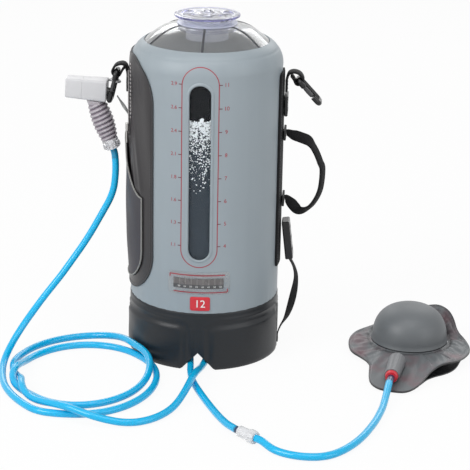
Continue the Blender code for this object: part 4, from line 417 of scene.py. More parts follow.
def tube_rings(points, radii, sides, cyclic=False):
    """Rings along a line, carried forward without twist. The radii are a list, or one for all."""
    count, across, rings = len(points), None, []
    for index, (point, radius) in enumerate(zip(points, each(radii, count))):
        before = points[index - 1] if cyclic or index else points[0]
        after = points[(index + 1) % count] if cyclic or index < count - 1 else points[-1]
        along = (after - before).normalized()
        if across is None:
            across = along.orthogonal().normalized()
        across = (across - along * across.dot(along)).normalized()
        rings.append(round_ring(point, across, along.cross(across), radius, sides))
    return rings


def band_ring(centre, across, facing, width, thickness):
    """Section of a flat webbing band with rounded edges."""
    rise = thickness / 2
    flat = max(width / 2 - rise, 0.0)
    ring = []
    for side, start in ((1, -90), (-1, 90)):
        for index in range(4):
            angle = radians(start + 60 * index)
            ring.append(centre + across * (side * flat + rise * cos(angle)) + facing * rise * sin(angle))
    return ring


def band_mesh(name, centres, directions, widths, thicknesses):
    """A webbing band along points. Directions, widths and thicknesses are lists, or one for all."""
    rings, last = [], len(centres) - 1
    directions, widths, thicknesses = (
        each(value, last + 1) for value in (directions, widths, thicknesses))
    for index, centre in enumerate(centres):
        along = (centres[min(index + 1, last)] - centres[max(index - 1, 0)]).normalized()
        across = (directions[index] - along * directions[index].dot(along)).normalized()
        rings.append(band_ring(centre, across, along.cross(across), widths[index], thicknesses[index]))
    return lay_mesh(name, rings)


def wrapped_sheet_mesh(name, columns, rows, inner, outer, centre_angle=0.0):
    """A sheet on the bag between two radii. Each is a number or a function of arc and height."""
    rings = []
    for arc, low, high in columns:
        front, back = [], []
        for row in range(rows + 1):
            height = low + (high - low) * row / rows
            for face, radius in ((front, outer), (back, inner)):
                reach = radius(arc, height) if callable(radius) else radius
                face.append(on_bag(arc, height, reach, centre_angle))
        rings.append(front + back[::-1])
    return lay_mesh(name, rings)


def panel_columns(half_width, low, high, corner, columns):
    """Columns of a rounded panel: an arc place with its lowest and highest height."""
    corner = min(corner, half_width, (high - low) / 2)
    places = [-half_width + 2 * half_width * index / columns for index in range(columns + 1)]
    for index in range(1, 9):
        inset = corner * (1 - cos(radians(11.25 * index)))
        places.extend((-half_width + inset, half_width - inset))
    result = []
    last = None
    for arc in sorted(places):
        if last is not None and arc - last < 0.0003:
            continue
        last = arc
        inset = max(0.0, abs(arc) - (half_width - corner))
        drop = corner - sqrt(max(corner * corner - inset * inset, 0.0))
        result.append((arc, low + min(drop, (high - low) / 2 - 0.0004),
            high - min(drop, (high - low) / 2 - 0.0004)))
    return result


def block_mesh(name, size, edge, segments, centre=Vector()):
    """A box round its centre with rounded edges."""
    bm = bmesh.new()
    bmesh.ops.create_cube(bm, size=1.0, matrix=Matrix.Diagonal((*size, 1.0)))
    bmesh.ops.bevel(bm, geom=bm.edges[:], offset=edge, segments=segments, profile=0.5, affect="EDGES")
    bmesh.ops.transform(bm, matrix=Matrix.Translation(centre), verts=bm.verts)
    return close_mesh(name, bm)


# Geometry Nodes trees


def feed(tree, node, feeds):
    """Give a node's inputs plain values, sockets, or the first outputs of other nodes."""
    for label, value in feeds.items():
        socket = node.inputs[label.replace("_", " ") if isinstance(label, str) else label]
        if isinstance(value, bpy.types.Node):
            value = value.outputs[0]
        if isinstance(value, bpy.types.NodeSocket):
            tree.links.new(value, socket)
        else:
            socket.default_value = value


def add_node(tree, kind, feeds=None, **settings):
    """A node with its settings, and with what its inputs are fed."""
    node = tree.nodes.new(kind)
    for label, value in settings.items():
        setattr(node, label, value)
    feed(tree, node, feeds or {})
    return node


def new_group(name, kind, inputs, outputs):
    """An empty node group with named sockets, the sockets that it is given, and its end node."""
    group = bpy.data.node_groups.new(name, kind)
    for label, shape, value in inputs:
        socket = group.interface.new_socket(name=label, in_out="INPUT", socket_type="NodeSocket" + shape)
        if value is not None:
            socket.default_value = value
    for label, shape in outputs:
        group.interface.new_socket(name=label, in_out="OUTPUT", socket_type="NodeSocket" + shape)
    return group, group.nodes.new("NodeGroupInput").outputs, group.nodes.new("NodeGroupOutput")


def new_tree(name, inputs):
    """An empty Geometry Nodes tree that takes a geometry and named inputs."""
    shape = ("Geometry", "Geometry")
    return new_group(name, "GeometryNodeTree", ((*shape, None),) + inputs, (shape,))


def end_tree(tree, given, leave, copies, smooth=False):
    """Make a tree's copies real and give them its material."""
    made = add_node(tree, "GeometryNodeRealizeInstances", {"Geometry": copies})
    if smooth:
        made = add_node(tree, "GeometryNodeSetShadeSmooth", {"Geometry": made})
    made = add_node(tree, "GeometryNodeSetMaterial", {"Geometry": made, "Material": given["Material"]})
    feed(tree, leave, {"Geometry": made})
    return tree


def use_tree(piece, tree, **values):
    """Add a tree to a piece, with its inputs set by name before it is first evaluated."""
    modifier = piece.modifiers.new(tree.name, "NODES")
    modifier.node_group = tree
    for socket in tree.interface.items_tree:
        if socket.item_type == "SOCKET" and socket.in_out == "INPUT" and socket.name in values:
            modifier[socket.identifier] = values[socket.name]


def row_tree():
    """Tree that sets a shape along a line, its X along the line and its Z along 'facing'."""
    found = bpy.data.node_groups.get("shapes_in_a_row")
    if found:
        return found
    tree, given, leave = new_tree("shapes_in_a_row", (("Pitch", "Float", 0.004),
        ("Shape", "Object", None), ("Material", "Material", None)))
    curve = add_node(tree, "GeometryNodeMeshToCurve", {"Mesh": given["Geometry"]})
    spaced = add_node(tree, "GeometryNodeResampleCurve", {"Curve": curve, "Length": given["Pitch"]},
        mode="LENGTH")
    shape = add_node(tree, "GeometryNodeObjectInfo", {"Object": given["Shape"]})
    tangent = add_node(tree, "GeometryNodeInputTangent")
    facing = add_node(tree, "GeometryNodeInputNamedAttribute", {"Name": "facing"},
        data_type="FLOAT_VECTOR")
    along = add_node(tree, "FunctionNodeAlignRotationToVector", {"Vector": tangent}, axis="X")
    upright = add_node(tree, "FunctionNodeAlignRotationToVector", {"Rotation": along, "Vector": facing},
        axis="Z", pivot_axis="X")
    copies = add_node(tree, "GeometryNodeInstanceOnPoints", {"Points": spaced,
        "Instance": shape.outputs["Geometry"], "Rotation": upright})
    return end_tree(tree, given, leave, copies)


def scatter_tree():
    """Tree that strews bubbles over a sheet, fewer where its 'foam' is low."""
    found = bpy.data.node_groups.get("strewn_bubbles")
    if found:
        return found
    tree, given, leave = new_tree("strewn_bubbles", (("Density", "Float", 1000.0),
        ("Smallest", "Float", 0.0003), ("Largest", "Float", 0.0012), ("Seed", "Int", 7),
        ("Material", "Material", None)))
    share = add_node(tree, "GeometryNodeInputNamedAttribute", {"Name": "foam"}, data_type="FLOAT")
    density = math_node(tree, "MULTIPLY", share, given["Density"])
    strewn = add_node(tree, "GeometryNodeDistributePointsOnFaces", {"Mesh": given["Geometry"],
        "Density": density, "Seed": given["Seed"]})
    ball = add_node(tree, "GeometryNodeMeshIcoSphere", {"Subdivisions": 2, "Radius": 1.0})
    size = add_node(tree, "FunctionNodeRandomValue", {2: given["Smallest"], 3: given["Largest"],
        "Seed": given["Seed"]})
    copies = add_node(tree, "GeometryNodeInstanceOnPoints", {"Points": strewn, "Instance": ball,
        "Scale": size.outputs[1]})
    return end_tree(tree, given, leave, copies, smooth=True)


def row_mesh(name, line, shape_mesh, pitch, material):
    """Copies of a shape along a line mesh, as one plain mesh."""
    shape = put_in_scene(name + "_shape", shape_mesh)
    mesh = settled_mesh(name, line, lambda piece: use_tree(
        piece, row_tree(), Pitch=pitch, Shape=shape, Material=material))
    bpy.data.objects.remove(shape, do_unlink=True)
    return mesh


def stitch_shape():
    """One stitch: a short thread, sunk at both ends."""
    length, width = sizes().stitch_length, sizes().thread_width
    rings = []
    for share, swell, rise in ((-0.5, 0.25, -0.3), (-0.28, 0.85, 0.1), (0.0, 1.0, 0.28),
        (0.28, 0.85, 0.1), (0.5, 0.25, -0.3)):
        centre = Vector((share * length, 0.0, rise * width))
        rings.append(round_ring(centre, BACK, UP, swell * width / 2, 6))
    return lay_mesh("stitch", rings)


def sew(name, lines, material):
    """Rows of stitches along several lines of (points, facings), as one piece."""
    made = []
    for points, facings in lines:
        made.append(row_mesh(name, line_mesh(name + "_line", points, facings), stitch_shape(),
            sizes().stitch_pitch, material))
    add_piece(name, joined_mesh(name, made), material)


# Materials


def math_node(tree, operation, *values):
    """A math node on sockets or numbers."""
    return add_node(tree, "ShaderNodeMath", dict(enumerate(values)), operation=operation).outputs[0]


def noise(tree, spot, scale, **feeds):
    """A noise texture at a coordinate."""
    return add_node(tree, "ShaderNodeTexNoise", {"Vector": spot, "Scale": scale, **feeds})


def map_range(tree, value, low, high, **feeds):
    """A value's place between two others, from 0 to 1."""
    return add_node(tree, "ShaderNodeMapRange",
        {"Value": value, "From Min": low, "From Max": high, **feeds})


def mix_colour(tree, factor, first, second):
    """A colour mix of sockets or plain colours."""
    return add_node(tree, "ShaderNodeMix", {0: factor, 6: first, 7: second}, data_type="RGBA").outputs[2]


SURFACE = (("Colour", "Color"), ("Roughness", "Float"), ("Height", "Float"))


def end_group(group, given, leave, light, roughness, height):
    """Put out a group's colour, made lighter or darker, with its roughness and height."""
    scaled = add_node(group, "ShaderNodeVectorMath", {0: given["Colour"], "Scale": light},
        operation="SCALE")
    feed(group, leave, {"Colour": scaled, "Roughness": roughness, "Height": height})
    return group


def grain_group():
    """Group for coated fabric and moulded plastic: mottled colour, roughness and fine grain."""
    found = bpy.data.node_groups.get("fine_grain")
    if found:
        return found
    group, given, leave = new_group("fine_grain", "ShaderNodeTree", (("Vector", "Vector", None),
        ("Colour", "Color", (0.5, 0.5, 0.5, 1.0)), ("Variation", "Float", 0.1),
        ("Roughness", "Float", 0.5), ("Grain Scale", "Float", 1200.0), ("Mottle Scale", "Float", 24.0)),
        SURFACE)
    calc = partial(math_node, group)
    spot, fine = given["Vector"], given["Grain Scale"]
    grain = noise(group, spot, fine, Detail=3.0)
    cells = add_node(group, "ShaderNodeTexVoronoi", {"Vector": spot, "Scale": fine})
    mottle = noise(group, spot, given["Mottle Scale"], Detail=4.0)
    away = calc("SUBTRACT", mottle, 0.5)
    strength = calc("MULTIPLY", away, given["Variation"])
    light = calc("ADD", 1.0, calc("MULTIPLY", strength, 2.0))
    roughness = calc("ADD", given["Roughness"], calc("MULTIPLY", away, 0.22))
    height = calc("ADD", grain, calc("MULTIPLY", cells, 0.7))
    return end_group(group, given, leave, light, roughness, height)


def weave_group():
    """Group for webbing and cloth: crossing threads on the UV map, in threads of a given pitch."""
    found = bpy.data.node_groups.get("plain_weave")
    if found:
        return found
    group, given, leave = new_group("plain_weave", "ShaderNodeTree", (("Vector", "Vector", None),
        ("Colour", "Color", (0.02, 0.02, 0.02, 1.0)), ("Thread Pitch", "Float", 0.0012),
        ("Slant", "Float", 0.0), ("Roughness", "Float", 0.8)), SURFACE)
    calc = partial(math_node, group)
    u, v = add_node(group, "ShaderNodeSeparateXYZ", {0: given["Vector"]}).outputs[:2]
    turns = calc("DIVIDE", 2 * pi, given["Thread Pitch"])
    along = calc("MULTIPLY", v, turns)
    across = calc("MULTIPLY", calc("ADD", u, calc("MULTIPLY", v, given["Slant"])), turns)
    waves = calc("MULTIPLY", calc("SINE", across), calc("COSINE", along))
    height = calc("ADD", 0.5, calc("MULTIPLY", waves, 0.5))
    fuzz = noise(group, given["Vector"], 2600.0)
    light = calc("ADD", 0.62, calc("MULTIPLY", calc("ADD", height, calc("MULTIPLY", fuzz, 0.6)), 0.5))
    roughness = calc("SUBTRACT", given["Roughness"], calc("MULTIPLY", height, 0.12))
    rise = calc("ADD", height, calc("MULTIPLY", fuzz, 0.3))
    return end_group(group, given, leave, light, roughness, rise)


def bare_material(name, colour, roughness, **sockets):
    """A material with its Principled shader's plain sockets set."""
    material = bpy.data.materials.new(name)
    material.use_nodes = True
    tree = material.node_tree
    shader = tree.nodes["Principled BSDF"]
    feed(tree, shader, {"Base Color": colour, "Roughness": roughness, **sockets})
    return material, tree, shader


def add_bump(tree, shader, height, distance):
    """Feed a height to the shader's normal."""
    bump = add_node(tree, "ShaderNodeBump", {"Distance": distance, "Strength": 1.0, "Height": height})
    feed(tree, shader, {"Normal": bump})


def coordinates(tree, kind="Object"):
    """A coordinate socket: the piece's own Object space or its UV map."""
    return add_node(tree, "ShaderNodeTexCoord").outputs[kind]


def mark_of(tree, name):
    """The value of a piece's own attribute."""
    return add_node(tree, "ShaderNodeAttribute", attribute_name=name).outputs["Fac"]


def patterned(name, group, kind, colour, roughness, values, depth, tinted, sockets):
    """A material whose colour, roughness and relief come from a group, made once."""
    found = bpy.data.materials.get(name)
    if found:
        return found
    material, tree, shader = bare_material(name, colour, roughness, **sockets)
    spot = coordinates(tree, kind)
    node = add_node(tree, "ShaderNodeGroup",
        {"Vector": spot, "Colour": colour, "Roughness": roughness, **values}, node_tree=group)
    base = node.outputs["Colour"]
    feed(tree, shader, {"Base Color": tinted(tree, spot, base) if tinted else base,
        "Roughness": node.outputs["Roughness"]})
    if depth:
        add_bump(tree, shader, node.outputs["Height"], depth)
    return material


def grained(name, colour, roughness, variation=0.08, grain=1200.0, depth=0.00004, mottle=24.0,
    tinted=None, **sockets):
    """Coated fabric or moulded plastic with its grain. tinted(tree, spot, colour) may change its colour."""
    return patterned(name, grain_group(), "Object", colour, roughness,
        {"Variation": variation, "Grain Scale": grain, "Mottle Scale": mottle}, depth, tinted, sockets)


def woven(name, colour, pitch, roughness, depth=0.00025, slant=0.0, **sockets):
    """Webbing or cloth whose weave follows its UV map."""
    return patterned(name, weave_group(), "UV", colour, roughness,
        {"Thread Pitch": pitch, "Slant": slant}, depth, None, sockets)


def clear_material(name, colour, roughness, transmission, tinted=None, **sockets):
    """Clear film or plastic, faintly marked."""
    return grained(name, colour, roughness, 0.03, 500.0, 0.00002, 40.0, tinted,
        **{"Transmission_Weight": transmission, "IOR": 1.46, **sockets})


def ink(name, colour):
    """Printed ink with a slightly uneven coat."""
    return grained(name, colour, 0.5, 0.12, 2500.0, 0.00001, 160.0)


def red_ink():
    """Ink of the scale and the brackets."""
    return ink("red_ink", tuple(colours().print_red))


def white_ink():
    """Ink of the numbers on badge and strip."""
    return ink("white_ink", (0.78, 0.78, 0.76, 1.0))


def dark_thread():
    """Sewing thread, a little paler than what it holds."""
    return ink("dark_thread", (0.09, 0.09, 0.095, 1.0))


def give_finish(material, *names):
    """Give CAD nodes a finish by their material slots."""
    for name in names:
        for slot in nodes[name].material_slots:
            slot.material = material


# Hoses: the route's points are the model's own


HOSE_SIDES = 20
HOSE_LIE = HOSE_RADIUS + 0.00015
HOSE_GAP = 0.0028
LOOP_CENTRE = Vector((-0.1418, -0.1551))
LOOP_DRIFT = Vector((-0.0085, 0.0255))
LOOP_REACH_X = 0.091
LOOP_REACH_Y = 0.107
LOOP_START = -90.0
LOOP_END = 540.0
LOOP_POINTS_PER_TURN = 24
CROSSING_ANGLE = 398.0
CROSSING_SPREAD = 46.0
CROSSING_RISE = 0.0125
SETTLE_STEP = 0.004
SETTLE_SKIP = 14
SETTLE_ROUNDS = 160
SKIRT_REACH = BAG_RADIUS + 0.0005 + 0.003
FITTING_X = 0.015
FITTING_Y = -0.05
FITTING_MOUTH = FLOOR_HEIGHT - 0.003 - 0.004 - 2 * SEAT_GAP
COUPLING_CENTRE = Vector((0.0755, -0.3105, 0.0088))
COUPLING_DIRECTION = Vector((0.745, -0.667, 0.0)).normalized()
COUPLING_LENGTH = 0.016
COUPLING_NUT_LENGTH = 0.011
GRIP_START = Vector((-0.1482, 0.0, 0.3402))
GRIP_BEND = Vector((-0.139, 0.0, 0.3142))
GRIP_END = Vector((-0.1305, 0.0, 0.2895))
NUT_LENGTH = 0.0135
STRETCH_GAP = 0.0006
SOCKET_REAR = Vector((-0.0031, -0.088, 0.0185))
SOCKET_MOUTH = Vector((-0.0031, -0.134, 0.0154))
COLLAR_RING_LENGTH = 0.005
HANG_GUIDES = ((0.0034, -0.001, 0.8918), (0.0014, -0.003, 0.7997), (-0.0047, -0.005, 0.7392),
    (-0.014, -0.008, 0.679), (-0.026, -0.012, 0.5985), (-0.0395, -0.016, 0.5177),
    (-0.0547, -0.022, 0.4386), (-0.0697, -0.03, 0.3622), (-0.0876, -0.041, 0.2828),
    (-0.1041, -0.055, 0.2048), (-0.1186, -0.072, 0.1323), (-0.1286, -0.095, 0.0725),
    (-0.1321, -0.122, 0.0326))
LAID_GUIDES = ((-0.2525, -0.153, 0.005), (-0.243, -0.183, 0.005), (-0.229, -0.213, 0.005),
    (-0.209, -0.242, 0.005), (-0.185, -0.264, 0.005))
OUTLET_GUIDES = ((-0.227, -0.19, 0.005), (-0.205, -0.229, 0.006), (-0.176, -0.257, 0.011),
    (-0.144, -0.278, 0.0155), (-0.111, -0.29, 0.012), (-0.073, -0.29, 0.006), (-0.042, -0.273, 0.005),
    (-0.02, -0.24, 0.006), (-0.008, -0.2, 0.0115), (-0.001, -0.16, 0.015), (0.0035, -0.13, 0.011),
    (0.006, -0.105, 0.0062), (0.01, -0.085, 0.0075), (0.0135, -0.066, 0.015),
    (FITTING_X, FITTING_Y - 0.003, 0.029), (FITTING_X, FITTING_Y, FITTING_MOUTH - 0.006),
    (FITTING_X, FITTING_Y, FITTING_MOUTH))
INLET_GUIDES = ((-FITTING_X, FITTING_Y, FITTING_MOUTH), (-FITTING_X, FITTING_Y, FITTING_MOUTH - 0.006),
    (-FITTING_X, FITTING_Y - 0.003, 0.029), (-0.0135, -0.065, 0.015), (-0.011, -0.084, 0.0065),
    (-0.0088, -0.103, 0.005), (-0.007, -0.123, 0.005), (0.0, -0.156, 0.005), (0.018, -0.206, 0.005),
    (0.041, -0.259, 0.005), (0.056, -0.288, 0.0068))
PUMP_GUIDES = ((0.1108, -0.3434, 0.0056), (0.1232, -0.352, HOSE_LIE), (0.1366, -0.3575, HOSE_LIE),
    (0.151, -0.36, HOSE_LIE), (0.1666, -0.359, HOSE_LIE), (0.1808, -0.353, HOSE_LIE),
    (0.1951, -0.34, HOSE_LIE), (0.209, -0.32, HOSE_LIE), (0.221, -0.296, HOSE_LIE),
    (0.23, -0.272, HOSE_LIE), (0.2375, -0.248, HOSE_LIE), (0.2435, -0.2236, 0.0052),
    (0.2482, -0.2, 0.0066))


def grip_point(share):
    """Point and direction on the grip's curved centre line, from the bag's axis."""
    start, bend, end = GRIP_START, GRIP_BEND, GRIP_END
    point = start * (1 - share) ** 2 + bend * 2 * share * (1 - share) + end * share ** 2
    along = ((bend - start) * (1 - share) + (end - bend) * share).normalized()
    return point, along


def loop_points():
    """Two loops on the ground: an ellipse whose centre drifts, the second lying over the first."""
    count = round((LOOP_END - LOOP_START) / 360.0 * LOOP_POINTS_PER_TURN)
    points = []
    for index in range(count + 1):
        degrees = LOOP_START + (LOOP_END - LOOP_START) * index / count
        turns = degrees / 360.0
        angle = radians(degrees)
        away = (degrees - CROSSING_ANGLE) / CROSSING_SPREAD
        points.append(Vector((LOOP_CENTRE.x + LOOP_DRIFT.x * turns + LOOP_REACH_X * cos(angle),
            LOOP_CENTRE.y + LOOP_DRIFT.y * turns + LOOP_REACH_Y * sin(angle),
            HOSE_LIE + CROSSING_RISE * exp(-away * away))))
    return points


def shower_route():
    """Route of the shower hose: down from the nut, two loops, and in to the outlet."""
    end, along = grip_point(1.0)
    start = end + along * (SEAT_GAP + NUT_LENGTH + STRETCH_GAP)
    hanging = [Vector((start.x + x, y, start.z * z)) for x, y, z in HANG_GUIDES]
    laid = [Vector(spot) for spot in LAID_GUIDES]
    inwards = [Vector(spot) for spot in OUTLET_GUIDES]
    return [start, start + along * 0.01] + hanging + laid + loop_points() + inwards


def pump_near_route():
    """Route of the pump hose from the inlet under the bag to the coupling."""
    back = COUPLING_CENTRE - COUPLING_DIRECTION * (COUPLING_LENGTH / 2 + SEAT_GAP)
    return [Vector(spot) for spot in INLET_GUIDES] + [back - COUPLING_DIRECTION * 0.01, back]


def pump_far_route():
    """Route of the pump hose from the coupling to the pump's socket, from the bag's axis."""
    nut_end = COUPLING_CENTRE + COUPLING_DIRECTION * (
        COUPLING_LENGTH / 2 + 2 * SEAT_GAP + COUPLING_NUT_LENGTH)
    mouth = by_pump(*SOCKET_MOUTH) - BAG_AXIS
    along = (mouth - (by_pump(*SOCKET_REAR) - BAG_AXIS)).normalized()
    tip = mouth + along * (COLLAR_RING_LENGTH + 3 * SEAT_GAP)
    laid = [Vector(spot) for spot in PUMP_GUIDES]
    return [nut_end, nut_end + COUPLING_DIRECTION * 0.01] + laid + [tip + along * 0.016, tip]


def settle_hoses(routes):
    """Let the laid hoses push each other, the ground and the skirt until none overlaps."""
    lines = [np.array([tuple(point) for point in smooth_path(route, SETTLE_STEP)]) for route in routes]
    owner = np.concatenate([np.full(len(line), index) for index, line in enumerate(lines)])
    order = np.concatenate([np.arange(len(line)) for line in lines])
    base = np.concatenate(lines)
    moved = np.zeros_like(base)
    apart = (owner[:, None] != owner[None]) | (np.abs(order[:, None] - order[None]) > SETTLE_SKIP)
    ends = np.zeros(len(base), dtype=bool)
    for index, line in enumerate(lines):
        ends |= (owner == index) & ((order < 3) | (order > len(line) - 4))
    need = 2 * HOSE_RADIUS + HOSE_GAP
    clear = SKIRT_REACH + HOSE_RADIUS + 0.0006
    for turn in range(SETTLE_ROUNDS):
        points = base + moved
        between = points[:, None] - points[None]
        distance = np.linalg.norm(between, axis=2) + 1e-9
        short = np.where(apart, np.maximum(need - distance, 0.0), 0.0)
        total = short.sum(axis=1)
        weight = short * short / distance
        push = (between * weight[:, :, None]).sum(axis=1) / np.maximum(total, 1e-9)[:, None]
        moved += 0.5 * push
        ease = 0.3 if turn < SETTLE_ROUNDS * 0.7 else 0.06
        for index in range(len(lines)):
            own = moved[owner == index]
            own[1:-1] += ease * (own[:-2] + own[2:] - 2 * own[1:-1])
            moved[owner == index] = own
        points = base + moved
        points[:, 2] = np.maximum(points[:, 2], HOSE_LIE)
        reach = np.hypot(points[:, 0], points[:, 1])
        beside = (points[:, 0] < -0.045) & (points[:, 2] < SKIRT_TOP) & (reach < clear)
        scale = np.where(beside, clear / reach, 1.0)
        points[:, 0] *= scale
        points[:, 1] *= scale
        moved = points - base
        moved[ends] = 0.0
    points = base + moved
    return [calm_line(points[owner == index]) for index in range(len(lines))]


def calm_line(points):
    """Smooth a settled line, its ends kept."""
    for _ in range(10):
        points[2:-2] += 0.5 * (0.5 * (points[1:-3] + points[3:-1]) - points[2:-2])
    return smooth_path([points[0], points[2]] + list(points[6:-6:4]) + [points[-3], points[-1]], 0.004)


def hose_material():
    """Blue hose with a gloss, darker over the barbs at its ends."""
    def barbs(tree, spot, colour):
        return mix_colour(tree, mark_of(tree, "barb"), colour, (0.016, 0.04, 0.1, 1.0))

    return grained("hose_blue_clear", tuple(colours().hose), 0.2, 0.04, 160.0, 0.000003, 9.0, barbs,
        IOR=1.4, Coat_Weight=0.3, Coat_Roughness=0.06)


def hose_piece(name, line, stands_for, barbs, bend):
    """A mesh hose along points, with its barbed ends marked."""
    mesh = lay_mesh(name, tube_rings(line, HOSE_RADIUS, HOSE_SIDES))
    marks = mesh.attributes.new("barb", "FLOAT", "POINT")
    way = ways(line)
    for row in range(len(line)):
        value = 0.0
        for from_start, length, tint in barbs:
            reach = way[row] if from_start else way[-1] - way[row]
            value = max(value, tint * (1.0 - soft_step((reach - length) / 0.0025)))
        for side in range(HOSE_SIDES):
            marks.data[row * HOSE_SIDES + side].value = value
    return add_piece(name, mesh, hose_material(), stands_for, bend)


class CAMPSHOWER_OT_hoses(bpy.types.Operator):
    """Shower hose with its loops on the ground, and the pump hose in two lengths"""

    bl_idname = "camp_shower.hoses"
    bl_label = "Hoses"

    def execute(self, context):
        shower, near = settle_hoses([shower_route(), pump_near_route()])
        far = smooth_path(pump_far_route(), SETTLE_STEP)
        shower, near, far = ([point + BAG_AXIS for point in line] for line in (shower, near, far))
        hanging = ("handset", "bag", tuple(shower[0]), tuple(shower[0] - Vector((0, 0, 0.15))))
        plan = (
            ("shower_hose", shower, ("shower_hose_hang", "shower_hose_loops", "shower_hose_tail"),
                ((True, 0.0135, 0.45), (False, 0.01, 1.0)), "object", (), hanging),
            ("pump_hose_to_bag", near, ("pump_hose_near",),
                ((True, 0.01, 1.0), (False, 0.004, 1.0)), "fitting",
                (nodes["hose_coupling"], nodes["coupling_nut"]), None),
            ("pump_hose_to_pump", far, ("pump_hose_far",), ((False, 0.014, 1.0),), "object", (), None),
        )
        for name, line, stands_for, barbs, far_end, with_pieces, bend in plan:
            piece = hose_piece(name, line, stands_for, barbs, bend)
        return {"FINISHED"}


# Stage


def seen_directly(tree):
    """1 where the camera, a gloss or a clear piece looks, and 0 for the light's own bounces."""
    path = add_node(tree, "ShaderNodeLightPath").outputs
    seen = math_node(tree, "MAXIMUM", path["Is Camera Ray"], path["Is Glossy Ray"])
    return math_node(tree, "MAXIMUM", seen, path["Is Transmission Ray"])


def floor_material():
    """Pale floor that the camera sees as near white, with the shadow kept."""
    material, tree, shader = bare_material("pale_floor", (0.82, 0.82, 0.82, 1.0), 0.9)
    glow = add_node(tree, "ShaderNodeEmission")
    mixed = add_node(tree, "ShaderNodeMixShader", {
        0: math_node(tree, "MULTIPLY", seen_directly(tree), 0.93), 1: shader, 2: glow})
    feed(tree, tree.nodes["Material Output"], {"Surface": mixed})
    return material


def light_world(scene):
    """Soft even light, white where the camera, a gloss or a clear piece sees it."""
    world = bpy.data.worlds.new("studio")
    scene.world = world
    world.use_nodes = True
    tree = world.node_tree
    strength = math_node(tree, "ADD", 0.42, math_node(tree, "MULTIPLY", seen_directly(tree), 0.58))
    feed(tree, tree.nodes["Background"], {"Strength": strength, "Color": (1.0, 1.0, 1.0, 1.0)})


class CAMPSHOWER_OT_stage(bpy.types.Operator):
    """Camera at the photograph's angle, pale floor and soft lamps"""

    bl_idname = "camp_shower.stage"
    bl_label = "Stage"

    def execute(self, context):
        scene = context.scene
        scene.view_settings.view_transform = "Standard"
        camera = put_in_scene("camera", bpy.data.cameras.new("camera"))
        scene.camera = camera
        camera.data.sensor_width = 36.0
        camera.data.lens = 36.0 * FOCAL_PIXELS / PICTURE_WIDTH
        camera.data.clip_end = 20.0
        right = Vector((0.997828, 0.063578, 0.017259))
        up = Vector((-0.036884, 0.322074, 0.945996))
        ahead = Vector((-0.054586, 0.944577, -0.323719))
        matrix = Matrix((right, up, -ahead)).transposed().to_4x4()
        matrix.translation = BAG_AXIS + Vector((0.16919, -2.20973, 0.91575))
        camera.matrix_world = matrix
        mesh = bpy.data.meshes.new("floor")
        mesh.from_pydata([(-8, -8, -0.0004), (8, -8, -0.0004), (8, 8, -0.0004), (-8, 8, -0.0004)], [],
            [(0, 1, 2, 3)])
        floor = put_in_scene("floor", mesh)
        mesh.materials.append(floor_material())
        light_world(scene)
        for name, place, size, power, aim_at in LAMPS:
            lamp = put_in_scene(name, bpy.data.lights.new(name, "AREA"))
            lamp.data.energy = power
            lamp.data.size = size
            lamp.location = place
            lamp.rotation_euler = (Vector(place) - Vector(aim_at)).to_track_quat("Z", "Y").to_euler()
        return {"FINISHED"}


# Bag


def wall_radius(angle, height):
    """Outer radius of the filled wall: soft dents, calmer at the front, and slight gathered waves just
    above the skirt.
    """
    depth = sizes().crease_depth
    dents = (
        sin(3.0 * angle + 11.0 * height + 0.6) * sin(21.0 * height + 1.1)
        + 0.6 * sin(7.0 * angle - 16.0 * height + 2.0) * cos(33.0 * height)
    )
    calm = 1.0 - 0.6 * bell(angle, 0.5)
    fall = depth * (0.45 + 0.28 * dents) * calm
    calm *= soft_step((RIM_HEIGHT - SHOULDER_RADIUS - height) / 0.02)
    pull = bell(height - SKIRT_TOP, 0.012)
    gathers = 0.00035 * pull * (1.0 + sin(46.0 * angle + 2.0 * sin(5.0 * angle)))
    return BAG_RADIUS - fall - gathers


def wall_profile(angle):
    """Closed section of the wall at an angle, outer side first, as (radius, height)."""
    roll_centre = RIM_HEIGHT - SHOULDER_RADIUS
    flat = BAG_RADIUS - SHOULDER_RADIUS
    lap = BAG_RADIUS - 0.0027 - SEAT_GAP
    outer = []
    for index in range(25):
        degrees = 60.0 - 60.0 * index / 24
        weld = 0.0006 * bell(degrees - 37.0, 2.2)
        turn = radians(degrees)
        reach = SHOULDER_RADIUS - weld
        outer.append((flat + reach * cos(turn), roll_centre + reach * sin(turn)))
    low = SKIRT_TOP + SEAT_GAP
    steps = 84
    for index in range(1, steps + 1):
        height = roll_centre + (low - roll_centre) * index / steps
        outer.append((wall_radius(angle, height), height))
    inner = []
    reach = SHOULDER_RADIUS - SHELL_WALL
    for index in range(9):
        turn = radians(60.0 - 60.0 * index / 8)
        inner.append((flat + reach * cos(turn), roll_centre + reach * sin(turn)))
    top = outer[0]
    lip = [(top[0] - 0.0007, top[1] + 0.0005), (top[0] - 0.0016, top[1] + 0.0001)]
    return outer + [
        (lap, low), (lap, FLOOR_HEIGHT), (lap - SHELL_WALL, FLOOR_HEIGHT),
        (lap - SHELL_WALL, low + SHELL_WALL), (BAG_RADIUS - SHELL_WALL - 0.0006, low + 2 * SHELL_WALL),
    ] + [(radius - 0.0006, height) for radius, height in reversed(inner)] + lip[::-1]


def wall_material():
    """Grey coated fabric: smooth face, fine cloth grain beneath and faint vertical rub."""
    def rubbed(tree, spot, colour):
        stretch = add_node(tree, "ShaderNodeMapping", {"Scale": (60.0, 60.0, 5.0), "Vector": spot})
        rub = noise(tree, stretch, 1.0)
        return mix_colour(tree, math_node(tree, "MULTIPLY", rub, 0.1), colour, (0.5, 0.55, 0.6, 1.0))

    return grained("wall_fabric", tuple(colours().wall), 0.42, 0.05, 1500.0, 0.00003, 14.0, rubbed,
        Specular_IOR_Level=0.45)


